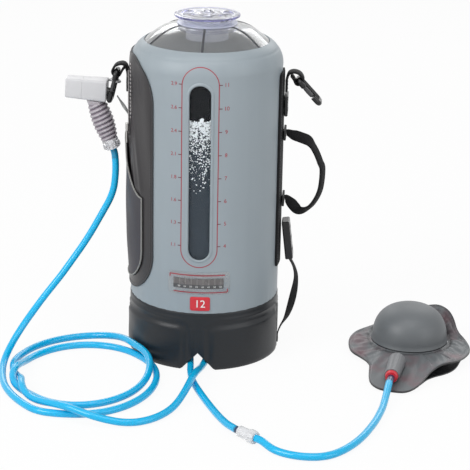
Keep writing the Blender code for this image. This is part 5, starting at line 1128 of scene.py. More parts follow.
class CAMPSHOWER_OT_bag_wall(bpy.types.Operator):
    """Grey wall with its window hole, and the raised weld round the window"""

    bl_idname = "camp_shower.bag_wall"
    bl_label = "Bag wall"

    def execute(self, context):
        rings = []
        for angle, signed in around(168):
            rings.append([round_bag(angle, radius, height) for radius, height in wall_profile(signed)])
        wall = lay_mesh("bag_wall", rings, looped=True)
        columns = panel_columns(WINDOW_HALF, WINDOW_LOW, WINDOW_HIGH, WINDOW_HALF, 10)
        cutter_mesh = wrapped_sheet_mesh("window_cutter", columns, 1, BAG_RADIUS - 0.006,
            BAG_RADIUS + 0.006)
        cutter = put_in_scene("window_cutter", cutter_mesh)

        def cut_window(piece):
            boolean = piece.modifiers.new("window", "BOOLEAN")
            boolean.operation = "DIFFERENCE"
            boolean.solver = "EXACT"
            boolean.object = cutter

        mesh = settled_mesh("bag_wall", wall, cut_window)
        bpy.data.objects.remove(cutter, do_unlink=True)
        shade(mesh)
        fabric = wall_material()
        add_piece("bag_wall", mesh, fabric, ("bag_shell",))
        rings = []
        width = 0.0042
        for point, normal in rounded_outline(WINDOW_HALF, WINDOW_LOW, WINDOW_HIGH, WINDOW_HALF, 12):
            ring = []
            for share, lift in ((-0.02, -0.001), (0.02, 0.0004), (0.14, 0.001), (0.32, 0.0012),
                (0.6, 0.0009), (0.85, 0.0004), (1.0, -0.0002), (1.0, -0.0012)):
                spot = point + normal * width * share
                radius = wall_radius(spot.x / BAG_RADIUS, spot.y) + lift
                ring.append(on_bag(spot.x, spot.y, radius))
            rings.append(ring)
        weld = lay_mesh("window_weld", rings, looped=True)
        add_piece("window_weld", weld, fabric, ("window_frame",))
        return {"FINISHED"}


FOAM_WHITE = (0.93, 0.95, 0.95, 1.0)
FOAM_LOW = 0.236
FOAM_DEPTH = 0.108


def water_material():
    """Painted shade at the top, a near-black standing in for the unlit inside of the bag above the water,
    churned foam below it and blue-grey water at the bottom.
    """
    colour = tuple(colours().water)
    material, tree, shader = bare_material("water_seen", colour, 0.25, Specular_IOR_Level=0.1)
    calc, spot = partial(math_node, tree), coordinates(tree)
    height = add_node(tree, "ShaderNodeSeparateXYZ", {0: spot}).outputs[2]
    churn = noise(tree, spot, 300.0, Detail=6.0, Roughness=0.7)
    waves = noise(tree, spot, 90.0)
    level = calc("ADD", height, calc("MULTIPLY", calc("SUBTRACT", waves, 0.5), 0.034))
    painted_shade_above = map_range(tree, level, 0.3445, 0.3455)
    # Painted shade: above the water level the sheet is darkened to near black for the unlit inside of the
    # bag.
    body = mix_colour(tree, painted_shade_above, colour, (0.0075, 0.0085, 0.01, 1.0))
    thick = map_range(tree, height, 0.268, 0.338, To_Max=0.34)
    clump = calc("SUBTRACT", calc("ADD", churn, thick), 0.76)
    white = calc("MINIMUM", calc("MAXIMUM", calc("MULTIPLY", clump, 14.0), 0.0), 1.0)
    share = calc("MULTIPLY", white, calc("SUBTRACT", 1.0, painted_shade_above))
    feed(tree, shader, {"Base Color": mix_colour(tree, share, body, FOAM_WHITE)})
    add_bump(tree, shader, churn, 0.0004)
    return material


def add_foam(inner):
    """Bubbles of the foam, strewn just behind the film."""
    columns = panel_columns(WINDOW_HALF + 0.001, FOAM_LOW, FOAM_LOW + FOAM_DEPTH, 0.002, 12)
    bm = bmesh.new()
    rows = 30
    grid = [[bm.verts.new(on_bag(arc, low + (high - low) * row / rows, inner - 0.0018))
        for row in range(rows + 1)] for arc, low, high in columns]
    for near, far in zip(grid, grid[1:]):
        for row in range(rows):
            bm.faces.new((near[row], far[row], far[row + 1], near[row + 1]))
    sheet = bpy.data.meshes.new("foam_sheet")
    bm.to_mesh(sheet)
    bm.free()
    share = sheet.attributes.new("foam", "FLOAT", "POINT")
    for index, vertex in enumerate(sheet.vertices):
        place = (vertex.co.z - FOAM_LOW) / FOAM_DEPTH
        clumps = 0.5 + 0.5 * sin(310 * vertex.co.x + 5 * sin(130 * vertex.co.z))
        share.data[index].value = max(0.0, place) ** 1.6 * (0.35 + 0.65 * clumps)
    white = bare_material("foam_white", FOAM_WHITE, 0.3)[0]
    area = 0.03 * FOAM_DEPTH
    mesh = settled_mesh("foam_bubbles", sheet, lambda piece: use_tree(
        piece, scatter_tree(), Density=sizes().bubble_count / area * 2.2, Smallest=0.00025,
        Largest=0.0011, Seed=7, Material=white))
    add_piece("foam_bubbles", mesh, white)


class CAMPSHOWER_OT_window(bpy.types.Operator):
    """Clear window strip with the water and its foam behind it"""

    bl_idname = "camp_shower.window"
    bl_label = "Window and water"

    def execute(self, context):
        inner = BAG_RADIUS - SHELL_WALL + 0.0004
        half = WINDOW_HALF - SEAT_GAP
        columns = panel_columns(half, WINDOW_LOW + SEAT_GAP, WINDOW_HIGH - SEAT_GAP, half, 14)
        film = wrapped_sheet_mesh("window_clear", columns, 30, inner, inner + 0.0012)
        glass = clear_material("window_film_clear", (0.93, 0.95, 0.97, 1.0), 0.06, 1.0, IOR=1.15)
        add_piece("window_clear", film, glass, ("window_film",))
        past = 0.006
        columns = panel_columns(WINDOW_HALF + past, WINDOW_LOW - past, WINDOW_HIGH + past, 0.012, 24)
        water = wrapped_sheet_mesh("water_column", columns, 90, inner - 0.0044, inner - 0.003)
        add_piece("water_column", water, water_material())
        add_foam(inner)
        return {"FINISHED"}


def text_mesh(name, words, size):
    """Plain numbers as a flat closed mesh, centred, with X to the right and Y up."""
    curve = bpy.data.curves.new(name, "FONT")
    curve.body = words
    curve.size = size
    curve.align_x = "CENTER"
    curve.align_y = "CENTER"
    curve.extrude = 0.00003
    curve.resolution_u = 3
    piece = put_in_scene(name, curve)
    graph = bpy.context.evaluated_depsgraph_get()
    mesh = bpy.data.meshes.new_from_object(piece.evaluated_get(graph))
    bpy.data.objects.remove(piece, do_unlink=True)
    return mesh


def numbers_on_bag(name, entries, material, lift, centre_angle=0.0):
    """Printed numbers laid on the wall. An entry is (text, arc, height, size)."""
    made = []
    for words, arc, height, size in entries:
        mesh = text_mesh(name, words, size)
        for vertex in mesh.vertices:
            place_arc = arc + vertex.co.x
            place_height = height + vertex.co.y
            angle = centre_angle + place_arc / BAG_RADIUS
            radius = wall_radius(angle, place_height) + lift + vertex.co.z
            vertex.co = on_bag(place_arc, place_height, radius, centre_angle)
        made.append(mesh)
    add_piece(name, joined_mesh(name, made), material)


INK_COAT = 0.00008


def line_on_bag(outline, width, lift, closed=True, extra=None):
    """A printed line on the wall along (point, normal) pairs."""
    rings = []
    for point, normal in outline:
        ring = []
        for side, rise in ((-0.5, 0.0), (-0.5, INK_COAT), (0.5, INK_COAT), (0.5, 0.0)):
            spot = point + normal * width * side
            base = extra(spot) if extra else wall_radius(spot.x / BAG_RADIUS, spot.y)
            ring.append(on_bag(spot.x, spot.y, base + lift + rise))
        rings.append(ring)
    return lay_mesh("printed_line", rings, looped=closed)


class CAMPSHOWER_OT_scale_print(bpy.types.Operator):
    """Printed outline and scale round the window, with plain numbers"""

    bl_idname = "camp_shower.scale_print"
    bl_label = "Scale print"

    def execute(self, context):
        red = red_ink()
        lift = sizes().print_height
        half, width = radians(13.6) * BAG_RADIUS, 0.0011
        outline = rounded_outline(half, 0.146, 0.415, half, 16, 0.004)
        add_piece("scale_outline", line_on_bag(outline, width, lift), red)
        ticks = []
        for index in range(8):
            level = TICK_TOP - index * TICK_PITCH
            for side in (-1, 1):
                spots = [Vector(((half + width * part) * side, level)) for part in range(5)]
                line = [(spot, Vector((0, 1))) for spot in spots]
                ticks.append(line_on_bag(line, width, lift, closed=False))
        dark = ink("tick_ink", (0.12, 0.03, 0.04, 1.0))
        add_piece("scale_ticks", joined_mesh("scale_ticks", ticks), dark)
        entries = []
        for index, value in enumerate((11, 10, 9, 8, 7, 6, 5, 4)):
            level = TICK_TOP - index * TICK_PITCH
            entries.append((str(value), radians(19.4) * BAG_RADIUS, level, 0.0075))
            entries.append((f"{value * 0.2642:.1f}", -radians(19.8) * BAG_RADIUS, level, 0.007))
        numbers_on_bag("scale_numbers", entries, red, lift)
        return {"FINISHED"}


STRIP_PITCH = 0.0078


def strip_material(low):
    """Liquid-crystal strip: dark brown-grey fields between paler bars."""
    def fields(tree, spot, colour):
        calc = partial(math_node, tree)
        parts = add_node(tree, "ShaderNodeSeparateXYZ", {0: spot}).outputs
        bars = calc("SINE", calc("MULTIPLY", parts[0], 2 * pi / STRIP_PITCH))
        bar = calc("GREATER_THAN", bars, 0.93)
        upper = calc("GREATER_THAN", parts[2], low + 0.0056)
        field = mix_colour(tree, upper, (0.07, 0.07, 0.074, 1.0), colour)
        mark = calc("MULTIPLY", calc("MULTIPLY", bar, upper), 0.5)
        return mix_colour(tree, mark, field, (0.28, 0.27, 0.26, 1.0))

    return grained("strip_fields", (0.125, 0.115, 0.115, 1.0), 0.28, 0.25, 900.0, 0.0, 90.0, fields)


def add_badge(base):
    """Red badge with a plain number."""
    offset = 0.0024
    half, low, high = 0.0133, 0.085, 0.1045
    columns = panel_columns(half, low, high, 0.0028, 12)

    def crown(arc, height):
        edge = min(half - abs(arc), height - low, high - height)
        return base + 0.0004 + 0.0005 * soft_step(edge / 0.0016)

    badge = wrapped_sheet_mesh("volume_badge", columns, 12, base - 0.0001, crown, offset / BAG_RADIUS)
    red = grained("badge_enamel", (0.56, 0.022, 0.035, 1.0), 0.34, 0.06, 1500.0, 0.00002, 60.0)
    add_piece("volume_badge", badge, red, ("capacity_badge",))
    white = white_ink()
    numbers_on_bag("badge_number", [("12", 0.0, 0.0946, 0.0148)], white, 0.0016, offset / BAG_RADIUS)


class CAMPSHOWER_OT_front_patches(bpy.types.Operator):
    """Clear patch with the temperature strip, its red brackets, and the badge"""

    bl_idname = "camp_shower.front_patches"
    bl_label = "Temperature strip and badge"

    def execute(self, context):
        half, low, high, margin = 0.0335, 0.1165, 0.1304, 0.0085
        base = BAG_RADIUS + SEAT_GAP

        def puff(arc, height):
            edge = min(half + margin - abs(arc), height - (low - margin), high + margin - height)
            return base + 0.0001 + 0.0009 * soft_step(edge / 0.0035)

        columns = panel_columns(half + margin, low - margin, high + margin, 0.0045, 34)
        patch = wrapped_sheet_mesh("strip_patch", columns, 18, base - 0.0002, puff)
        film = clear_material("patch_film", (0.95, 0.96, 0.97, 1.0), 0.1, 0.92)
        add_piece("strip_patch", patch, film, ("thermometer_patch",))
        columns = panel_columns(half, low, high, 0.0006, 24)
        strip = wrapped_sheet_mesh("temperature_strip", columns, 6, base + 0.001, base + 0.0016)
        add_piece("temperature_strip", strip, strip_material(low), ("thermometer_strip",))
        white = white_ink()
        entries = [(str(value), -0.0255 + STRIP_PITCH * index, low + 0.0028, 0.0034)
            for index, value in enumerate((20, 25, 30, 35, 40, 45, 50, 55))]
        lift = base + 0.00165 - BAG_RADIUS
        numbers_on_bag("strip_numbers", entries, white, lift + 0.0006)
        red = red_ink()
        wide = radians(21.8) * BAG_RADIUS
        top, bottom = 0.135, 0.111
        outside = lambda spot: puff(spot.x, spot.y)
        for name, spots in (("bracket_top", ((-wide, top - 0.0045), (-wide, top), (wide - 0.0035, top))),
            ("bracket_bottom", ((-wide + 0.005, bottom), (wide, bottom), (wide, bottom + 0.0045)))):
            meshes = []
            for (start_arc, start_height), (end_arc, end_height) in zip(spots, spots[1:]):
                start, end = Vector((start_arc, start_height)), Vector((end_arc, end_height))
                way = (end - start).normalized()
                normal = Vector((-way.y, way.x))
                count = max(2, int((end - start).length / 0.003))
                line = [(start.lerp(end, index / count), normal) for index in range(count + 1)]
                meshes.append(line_on_bag(line, 0.0014, 0.0001, closed=False, extra=outside))
            add_piece(name, joined_mesh(name, meshes), red)
        add_badge(base)
        return {"FINISHED"}


NOTCH_HALF = 0.0225
NOTCH_HEIGHT = 0.0235


def skirt_radius(angle, height):
    """Outer radius of the skirt: soft pads with rounded corners, and a welded ridge round them."""
    pitch = pi / 2
    from_strip = abs((angle + pitch / 2) % pitch - pitch / 2) * BAG_RADIUS
    beside = from_strip - radians(8.5) * BAG_RADIUS
    below = 0.064 - height
    corner = 0.012
    if beside < corner and below < corner:
        inside = corner - math.hypot(corner - beside, corner - below)
    else:
        inside = min(beside, below)
    pad = soft_step(inside / 0.0075)
    foot = 1.0 - 0.35 * soft_step((0.006 - height) / 0.006)
    ridge = 0.0012 * bell(inside + 0.0066, 0.0011)
    weld = -0.0004 * bell(height - 0.0762, 0.001)
    sag = 0.0005 * pad * sin(9.0 * angle + 60.0 * height) * sin(70.0 * height)
    return BAG_RADIUS + 0.0005 + 0.0028 * pad * foot + ridge + weld + sag


class CAMPSHOWER_OT_base_skirt(bpy.types.Operator):
    """Black skirt with its four pads, welded ridge and hose notch"""

    bl_idname = "camp_shower.base_skirt"
    bl_label = "Base skirt"

    def execute(self, context):
        inner = BAG_RADIUS + 0.0005 - 0.0027
        notch = NOTCH_HALF / BAG_RADIUS
        levels, rings = 44, []
        for _, signed in around(216):
            opened = max(0.0, 1.0 - abs(signed) / notch) * NOTCH_HEIGHT
            ring = []
            for level in range(levels + 1):
                height = opened + (SKIRT_TOP - opened) * level / levels
                edge = soft_step((height - opened) / 0.0012) * soft_step((SKIRT_TOP - height) / 0.001)
                ring.append(round_bag(signed, skirt_radius(signed, height) - 0.0009 * (1 - edge), height))
            rings.append(ring + [round_bag(signed, inner, height) for height in (SKIRT_TOP, opened)])
        mesh = lay_mesh("skirt", rings, looped=True)
        fabric = grained("skirt_fabric", tuple(colours().skirt), 0.36, 0.18, 1300.0, 0.00004, 16.0,
            Specular_IOR_Level=0.35)
        add_piece("skirt", mesh, fabric, ("base_skirt",))
        inside = grained("floor_fabric", (0.03, 0.032, 0.036, 1.0), 0.5, 0.1)
        give_finish(inside, "chamber_floor")
        fitting = clear_material("fitting_clear", (0.85, 0.88, 0.92, 1.0), 0.2, 0.5)
        give_finish(fitting, "outlet_fitting", "inlet_fitting")
        return {"FINISHED"}


def dome_edge():
    """Radius of the clear top's edge, inside the rolled lip of the wall."""
    lip = BAG_RADIUS - SHOULDER_RADIUS + (SHOULDER_RADIUS - SHELL_WALL) * cos(radians(60.0))
    return lip - SEAT_GAP - 0.0006


def dome_height(radius):
    """Height of the clear top's outer side at a radius from the axis."""
    foot = RIM_HEIGHT - SHOULDER_RADIUS * (1 - sin(radians(60.0))) - 0.0006
    share = (dome_edge() - radius) / (dome_edge() - NECK_OUTER)
    return foot + (DOME_TOP - foot) * share + 0.006 * sin(pi * share)


def gore_rise(angle, radius):
    """How far a gore swells between its seams."""
    share = (dome_edge() - radius) / (dome_edge() - NECK_OUTER)
    return 0.0011 * abs(sin(3.0 * angle)) ** 0.7 * sin(pi * min(max(share, 0.0), 1.0))


def rim_tint(tree, spot, colour):
    """Violet tint towards the cap's rim."""
    shift = add_node(tree, "ShaderNodeMapping", {"Vector": spot,
        "Location": (-BAG_AXIS.x, -BAG_AXIS.y, 0.0), "Scale": (1.0, 1.0, 0.0)})
    reach = add_node(tree, "ShaderNodeVectorMath", {0: shift}, operation="LENGTH").outputs["Value"]
    ramp = map_range(tree, reach, 0.0415, 0.0436)
    return mix_colour(tree, ramp, colour, (0.3, 0.3, 0.78, 1.0))


def add_seams():
    """Dark weld tapes over the six seams."""
    meshes = []
    for index in range(6):
        angle = 2 * pi * index / 6
        across = Vector((cos(angle), sin(angle), 0.0))
        centres = []
        for part in range(15):
            radius = NECK_FLANGE + 0.0004 + (dome_edge() + 0.0002 - NECK_FLANGE) * part / 14
            centres.append(round_bag(angle, radius, dome_height(radius) + 0.0007))
        width = 0.003 if index == 0 else 0.0022
        meshes.append(band_mesh("seam", centres, across, width, 0.0009))
    dark = grained("seam_weld", (0.035, 0.037, 0.045, 1.0), 0.35, 0.1)
    add_piece("top_seams", joined_mesh("top_seams", meshes), dark, ("dome_seams",))


def add_neck_and_cap():
    """Moulded neck, gasket, cap with its recesses and rim, and the relief plug."""
    base = DOME_TOP + SEAT_GAP
    seat = base + 0.0018 + 0.003
    bore = NECK_OUTER - 0.0028
    neck = turned_mesh("neck", [(NECK_OUTER + 0.003, seat), (NECK_OUTER + 0.003, base + 0.0022),
        (NECK_OUTER + 0.0036, base + 0.0017), (NECK_FLANGE - 0.0006, base + 0.0012),
        (NECK_FLANGE, base + 0.0007), (NECK_FLANGE, base - 0.0002), (NECK_OUTER, base),
        (NECK_OUTER, DOME_TOP - 0.006), (NECK_OUTER - 0.0006, DOME_TOP - 0.0066),
        (NECK_OUTER - 0.0006, DOME_TOP - 0.0194), (NECK_OUTER - 0.0012, DOME_TOP - 0.02),
        (bore, DOME_TOP - 0.02), (bore, seat)], 96, BAG_AXIS, closed=True)
    milky = clear_material("neck_clear", (0.8, 0.83, 0.97, 1.0), 0.16, 0.55)
    add_piece("neck", neck, milky, ("valve_neck",))
    gasket = grained("gasket_rubber", (0.62, 0.63, 0.66, 1.0), 0.6)
    give_finish(gasket, "cap_gasket")
    low = seat + 0.0002 + 0.0012 + 0.0002
    high = low + 0.006
    plug = bore - 0.0006
    stem = 0.0045 + 0.0004
    foot = low - 0.022
    profile = [(stem, high + 0.0012), (0.013, high + 0.0012), (0.0145, high + 0.0008), (0.0155, high),
        (0.019, high), (0.019, high - 0.0026), (0.02, high - 0.003), (0.0335, high - 0.003),
        (0.0345, high - 0.0026), (0.0345, high), (0.0375, high), (0.038, high - 0.0006),
        (0.039, high - 0.0006), (0.0395, high), (0.0426, high), (0.0433, high - 0.0003),
        (0.0435, high - 0.0009), (0.0435, high - 0.0022), (0.0432, high - 0.0026),
        (0.0402, high - 0.0031), (0.039, high - 0.0037), (0.0385, high - 0.0042), (0.0384, low + 0.0008),
        (0.0375, low), (plug, low), (plug, foot + 0.008), (plug - 0.006, foot), (plug - 0.008, foot),
        (plug - 0.003, foot + 0.008), (plug - 0.003, low + 0.002), (stem, low + 0.002)]
    cap = turned_mesh("cap", profile, 128, BAG_AXIS, closed=True)
    for vertex in cap.vertices:
        spot = vertex.co - BAG_AXIS
        if spot.z > high - 0.0032 and 0.0185 < spot.xy.length < 0.0348:
            angle = math.degrees(math.atan2(spot.y, spot.x)) % 180.0
            away = abs((angle + 90.0) % 180.0 - 90.0)
            vertex.co.z += (high - vertex.co.z) * soft_step((away - 34.0) / 6.0)
    clear = clear_material("cap_clear", (0.93, 0.94, 0.99, 1.0), 0.05, 0.88, rim_tint)
    add_piece("cap", cap, clear, ("filler_cap",), body="cap")
    ring = line_mesh("cap_rib_line", round_ring(BAG_AXIS + Vector((0, 0, low + 0.0011)),
        Vector((1, 0, 0)), BACK, 0.0384, 120), [UP] * 120, cyclic=True)
    rib = block_mesh("cap_rib", (0.0008, 0.001, 0.0016), 0.0002, 1)
    ribs = row_mesh("cap_ribs", ring, rib, 0.00302, clear)
    add_piece("cap_ribs", ribs, clear, (), body="cap")
    knob = high + 0.0012 + SEAT_GAP
    relief = turned_mesh("relief_knob", [(0.0, knob + 0.0034), (0.003, knob + 0.0034),
        (0.0042, knob + 0.0038), (0.0056, knob + 0.0037), (0.0072, knob + 0.003), (0.0088, knob + 0.0018),
        (0.0094, knob + 0.0008), (0.0094, knob), (0.0045, knob), (0.0045, low - 0.004),
        (0.003, low - 0.006), (0.0, low - 0.006)], 64, BAG_AXIS)
    add_piece("relief_knob", relief, clear, ("relief_plug",), body="relief")


class CAMPSHOWER_OT_clear_top(bpy.types.Operator):
    """Clear top sheet with its welded seams, the neck and the filler cap"""

    bl_idname = "camp_shower.clear_top"
    bl_label = "Clear top and cap"

    def execute(self, context):
        film = clear_material("top_film", (0.9, 0.91, 0.92, 1.0), 0.07, 0.94)
        edge, hole = dome_edge(), NECK_OUTER + SEAT_GAP
        rings = []
        for angle, _ in around(144):
            outer, inner = [], []
            for part in range(13):
                radius = edge + (hole - edge) * part / 12
                level = dome_height(radius) + gore_rise(angle, radius)
                outer.append(round_bag(angle, radius, level))
                inner.append(round_bag(angle, radius, level - 0.001))
            rings.append(outer + inner[::-1])
        mesh = lay_mesh("top_sheet", rings, looped=True)
        add_piece("top_sheet", mesh, film, ("clear_dome",))
        add_seams()
        add_neck_and_cap()
        return {"FINISHED"}


POCKET_ANGLE = radians(-90.0)
POCKET_HALF = 0.092
POCKET_LOW = 0.095
POCKET_HIGH = 0.415
POUCH_HALF = 0.072
POUCH_LOW = 0.108
ON_PANEL = BAG_RADIUS + 2 * SEAT_GAP + 0.0012


def pouch_top(arc):
    """Height of the pouch's slanted opening at an arc length from the pocket's middle."""
    share = soft_step((POUCH_HALF - arc) / (1.2 * POUCH_HALF))
    return 0.228 + 0.077 * share


def pouch_lift(arc, height):
    """How far the pouch stands off its backing, with its folds."""
    across = cos(0.5 * pi * min(1.0, abs(arc) / POUCH_HALF))
    upwards = soft_step((height - POUCH_LOW) / 0.06)
    folds = 0.0004 * sin(150.0 * arc + 3.0 * sin(30.0 * height)) * upwards
    return 0.0032 * across * upwards + folds * across


def add_piping(columns, outer):
    """Piping round the pouch's edge, and the binding round the backing."""
    grey = woven("piping_cloth", (0.26, 0.26, 0.25, 1.0), 0.0009, 0.6)
    spots = [(arc, high) for arc, low, high in columns]
    spots += [(arc, low) for arc, low, high in reversed(columns)]
    points = [on_bag(arc, height, outer(arc, height) + 0.0003, POCKET_ANGLE) for arc, height in spots]
    points = even_points(points + [points[0]], 0.003)[:-1]
    mesh = lay_mesh("pouch_piping", tube_rings(points, sizes().piping_radius, 8, True), looped=True)
    add_piece("pouch_piping", mesh, grey)
    outline = rounded_outline(POCKET_HALF - 0.0004, 0.0954, 0.4146, 0.056, 16, 0.005)
    points = [on_bag(*point, BAG_RADIUS + 0.0011, POCKET_ANGLE) for point, _ in outline]
    mesh = lay_mesh("pocket_binding", tube_rings(points, 0.001, 8, True), looped=True)
    edge = woven("binding_cloth", (0.035, 0.035, 0.037, 1.0), 0.0009, 0.6)
    add_piece("pocket_binding", mesh, edge)
    inside = rounded_outline(POCKET_HALF - 0.004, 0.099, 0.411, 0.0525, 16, 0.005)
    points = [on_bag(*point, BAG_RADIUS + 0.00175, POCKET_ANGLE) for point, _ in inside]
    facings = outwards(points)
    sew("pocket_stitches", [(points + points[:1], facings + facings[:1])], dark_thread())


def add_zip():
    """Zip tape with two rows of teeth, and its slider."""
    angle = radians(-77.0)
    tape = wrapped_sheet_mesh("zip_tape", panel_columns(0.0045, 0.302, 0.392, 0.002, 8), 12, ON_PANEL,
        ON_PANEL + 0.0009, angle)
    cloth = woven("zip_cloth", (0.05, 0.048, 0.052, 1.0), 0.0008, 0.75)
    add_piece("zip_tape", tape, cloth, ("pocket_zip",))
    teeth = []
    tooth = block_mesh("tooth", (0.0009, 0.0021, 0.0011), 0.0002, 1)
    pale = grained("zip_teeth_plastic", (0.42, 0.4, 0.4, 1.0), 0.35, 0.2)
    for side, shift in ((-1, 0.0), (1, 0.0009)):
        points = [on_bag(side * 0.0008, 0.305 + shift + 0.084 * index / 10, ON_PANEL + 0.0013, angle)
            for index in range(11)]
        facings = outwards(points)
        teeth.append(row_mesh("zip_teeth", line_mesh("teeth_line", points, facings), tooth, 0.0018, pale))
    add_piece("zip_teeth", joined_mesh("zip_teeth", teeth), pale)
    seam = block_mesh("seam_stitch", (0.003, 0.0013, 0.0008), 0.0002, 1)
    pairs = []
    for shift in (0.0, 0.003):
        points = [on_bag(shift, 0.33 + 0.0072 * index, BAG_RADIUS + 0.0026, radians(-70.5))
            for index in range(11)]
        line = line_mesh("seam_line", points, outwards(points))
        pairs.append(row_mesh("zip_seams", line, seam, 0.005, pale))
    add_piece("zip_seams", joined_mesh("zip_seams", pairs), pale)
    steel = grained("slider_steel", (0.5, 0.49, 0.48, 1.0), 0.3, 0.1, 900.0, 0.00002, 40.0, Metallic=1.0)
    give_finish(steel, "zip_slider")


class CAMPSHOWER_OT_pocket(bpy.types.Operator):
    """Side pocket: backing, pouch with piping, zip and slider"""

    bl_idname = "camp_shower.pocket"
    bl_label = "Side pocket"

    def execute(self, context):
        cloth = grained("pocket_cloth", tuple(colours().pocket), 0.36, 0.3, 1500.0, 0.00006, 34.0,
            Specular_IOR_Level=0.5)
        base = BAG_RADIUS + SEAT_GAP

        def backing(arc, height):
            edge = POCKET_HALF - abs(arc)
            waves = 0.0007 * sin(150.0 * arc + 22.0 * height) * soft_step((height - 0.21) / 0.05)
            fold = 0.0007 * bell(height - pouch_top(arc) - 0.01, 0.006)
            slant = arc - 0.046 + 0.22 * (height - 0.285)
            drawn = soft_step((height - 0.215) / 0.03) * soft_step((0.375 - height) / 0.05)
            for shift, rise, reach in ((0.0, 0.0013, 0.004), (0.0125, 0.0009, 0.0035),
                (-0.013, 0.001, 0.0045)):
                waves += rise * drawn * bell(slant - shift, reach)
            waves += fold * soft_step((arc + 0.03) / 0.03)
            return base + 0.0008 + (0.0005 + waves) * soft_step(edge / 0.003)

        columns = panel_columns(POCKET_HALF, POCKET_LOW, POCKET_HIGH, 0.056, 96)
        mesh = wrapped_sheet_mesh("pocket_backing", columns, 70, base, backing, POCKET_ANGLE)
        back = add_piece("pocket_backing", mesh, cloth, ("pocket_panel",))
        dark = grained("pouch_cloth", (0.027, 0.025, 0.033, 1.0), 0.52, 0.14, 1500.0, 0.00006, 26.0)
        whole = panel_columns(POUCH_HALF, POUCH_LOW, 0.305, 0.045, 60)
        columns = [(arc, low, pouch_top(arc)) for arc, low, _ in whole]

        def inner(arc, height):
            return ON_PANEL + pouch_lift(arc, height)

        def outer(arc, height):
            return inner(arc, height) + 0.0011

        mesh = wrapped_sheet_mesh("pocket_front", columns, 50, inner, outer, POCKET_ANGLE)
        front = add_piece("pocket_front", mesh, dark, ("pocket_pouch",))
        add_piping(columns, outer)
        add_zip()
        return {"FINISHED"}


# Hooks and straps


def side_path(spots, step):
    """Smooth line through spots beside the bag, as lengths to the right and heights."""
    return smooth_path([by_bag(x, 0.0, z) for x, z in spots], step)


LEFT_EYE = (-0.1195, 0.384, radians(13.9), -1)
RIGHT_EYE = (0.1225, 0.38, radians(43.0), 1)
HOOK_LENGTH = 0.041
HOOK_WIDTH = 0.03
HOOK_CORNER = 0.0055
HOOK_BAR = 0.0036


def webbing_material():
    """Black webbing with its weave."""
    return woven("webbing_black_weave", tuple(colours().webbing), 0.0013, 0.72, 0.0003, 0.5,
        Specular_IOR_Level=0.2)


def hook_plastic():
    """Black moulded plastic of hooks and buckles."""
    return grained("hook_black", (0.008, 0.008, 0.009, 1.0), 0.24, 0.15, 900.0, 0.00002, 60.0,
        Specular_IOR_Level=0.4)


def add_hook(prefix, eye_x, eye_z, lean, side):
    """Moulded carabiner and its sprung gate."""
    pivot = by_bag(eye_x, 0.0, eye_z)
    down = Vector((side * sin(lean), 0.0, -cos(lean)))
    half = HOOK_WIDTH / 2 - HOOK_BAR
    gate_top, gate_low = 0.0115, HOOK_LENGTH - 0.0125
    beside, below = half - HOOK_CORNER, HOOK_LENGTH - HOOK_CORNER
    arcs = ((beside, HOOK_CORNER, 270.0), (beside, below, 0.0), (-beside, below, 90.0),
        (-beside, HOOK_CORNER, 180.0))
    outline = []
    for centre_width, centre_drop, start in arcs:
        for index in range(9):
            angle = radians(start + 90.0 * index / 8)
            outline.append((centre_width + HOOK_CORNER * cos(angle),
                centre_drop + HOOK_CORNER * sin(angle)))
    line = [(-half, gate_top - 0.0006)] + outline[30:36] + outline[0:27] + [(-half, gate_low + 0.0006)]
    points = [pivot + Vector((0, width, 0)) + down * drop for width, drop in line]
    points = even_points(points, 0.0016)
    mesh = lay_mesh(prefix + "_hook", tube_rings(points, HOOK_BAR, 14))
    add_piece(prefix + "_hook_body", mesh, hook_plastic(), (prefix + "_carabiner",),
        body=prefix + "_hook")
    start = pivot + Vector((0, -half, 0)) + down * (gate_low - 0.0003)
    end = pivot + Vector((0, -half, 0)) + down * (gate_top - 0.0003)
    points = [start.lerp(end, index / 10) for index in range(11)]
    radii = [HOOK_BAR * 0.8 * (0.86 + 0.14 * sin(pi * index / 10)) for index in range(11)]
    radii[0] = 0.0008
    mesh = lay_mesh(prefix + "_gate", tube_rings(points, radii, 14))
    dark = grained("gate_black", (0.035, 0.035, 0.038, 1.0), 0.28, 0.1)
    add_piece(prefix + "_hook_gate", mesh, dark, (prefix + "_carabiner_gate",),
        body=prefix + "_gate")


def add_loop(name, eye, sewn_low, backing, node):
    """Webbing sewn to the bag and folded round the carabiner's top bar."""
    eye_x, eye_z, _, side = eye
    wall = side * (BAG_RADIUS + backing + 2 * SEAT_GAP + 0.0003 + 0.0015)
    reach = 0.006
    sewn = ((wall, sewn_low), (wall, sewn_low + 0.014), (wall, eye_z - 0.001),
        (wall + side * 0.003, eye_z + 0.008), (eye_x - side * 0.006, eye_z + 0.0105))
    folded = ((eye_x + side * 0.002, eye_z + 0.0075), (eye_x + side * reach, eye_z),
        (eye_x + side * reach * 0.5, eye_z - reach * 0.9),
        (eye_x - side * reach * 0.5, eye_z - reach * 0.9), (eye_x - side * reach * 1.1, eye_z + 0.001),
        (eye_x - side * (reach + 0.004), eye_z + 0.0055))
    mesh = band_mesh(name, side_path(sewn + folded, 0.001), BACK, 0.019, 0.003)
    add_piece(name, mesh, webbing_material(), (node,))
    out = Vector((side, 0, 0))
    lines = []
    for shift in (-0.0052, 0.0052):
        points = [by_bag(wall + side * 0.0016, shift, sewn_low + 0.002 + 0.0016 * index)
            for index in range(7)]
        lines.append((points, [out] * 7))
    sew(name + "_stitches", lines, dark_thread())


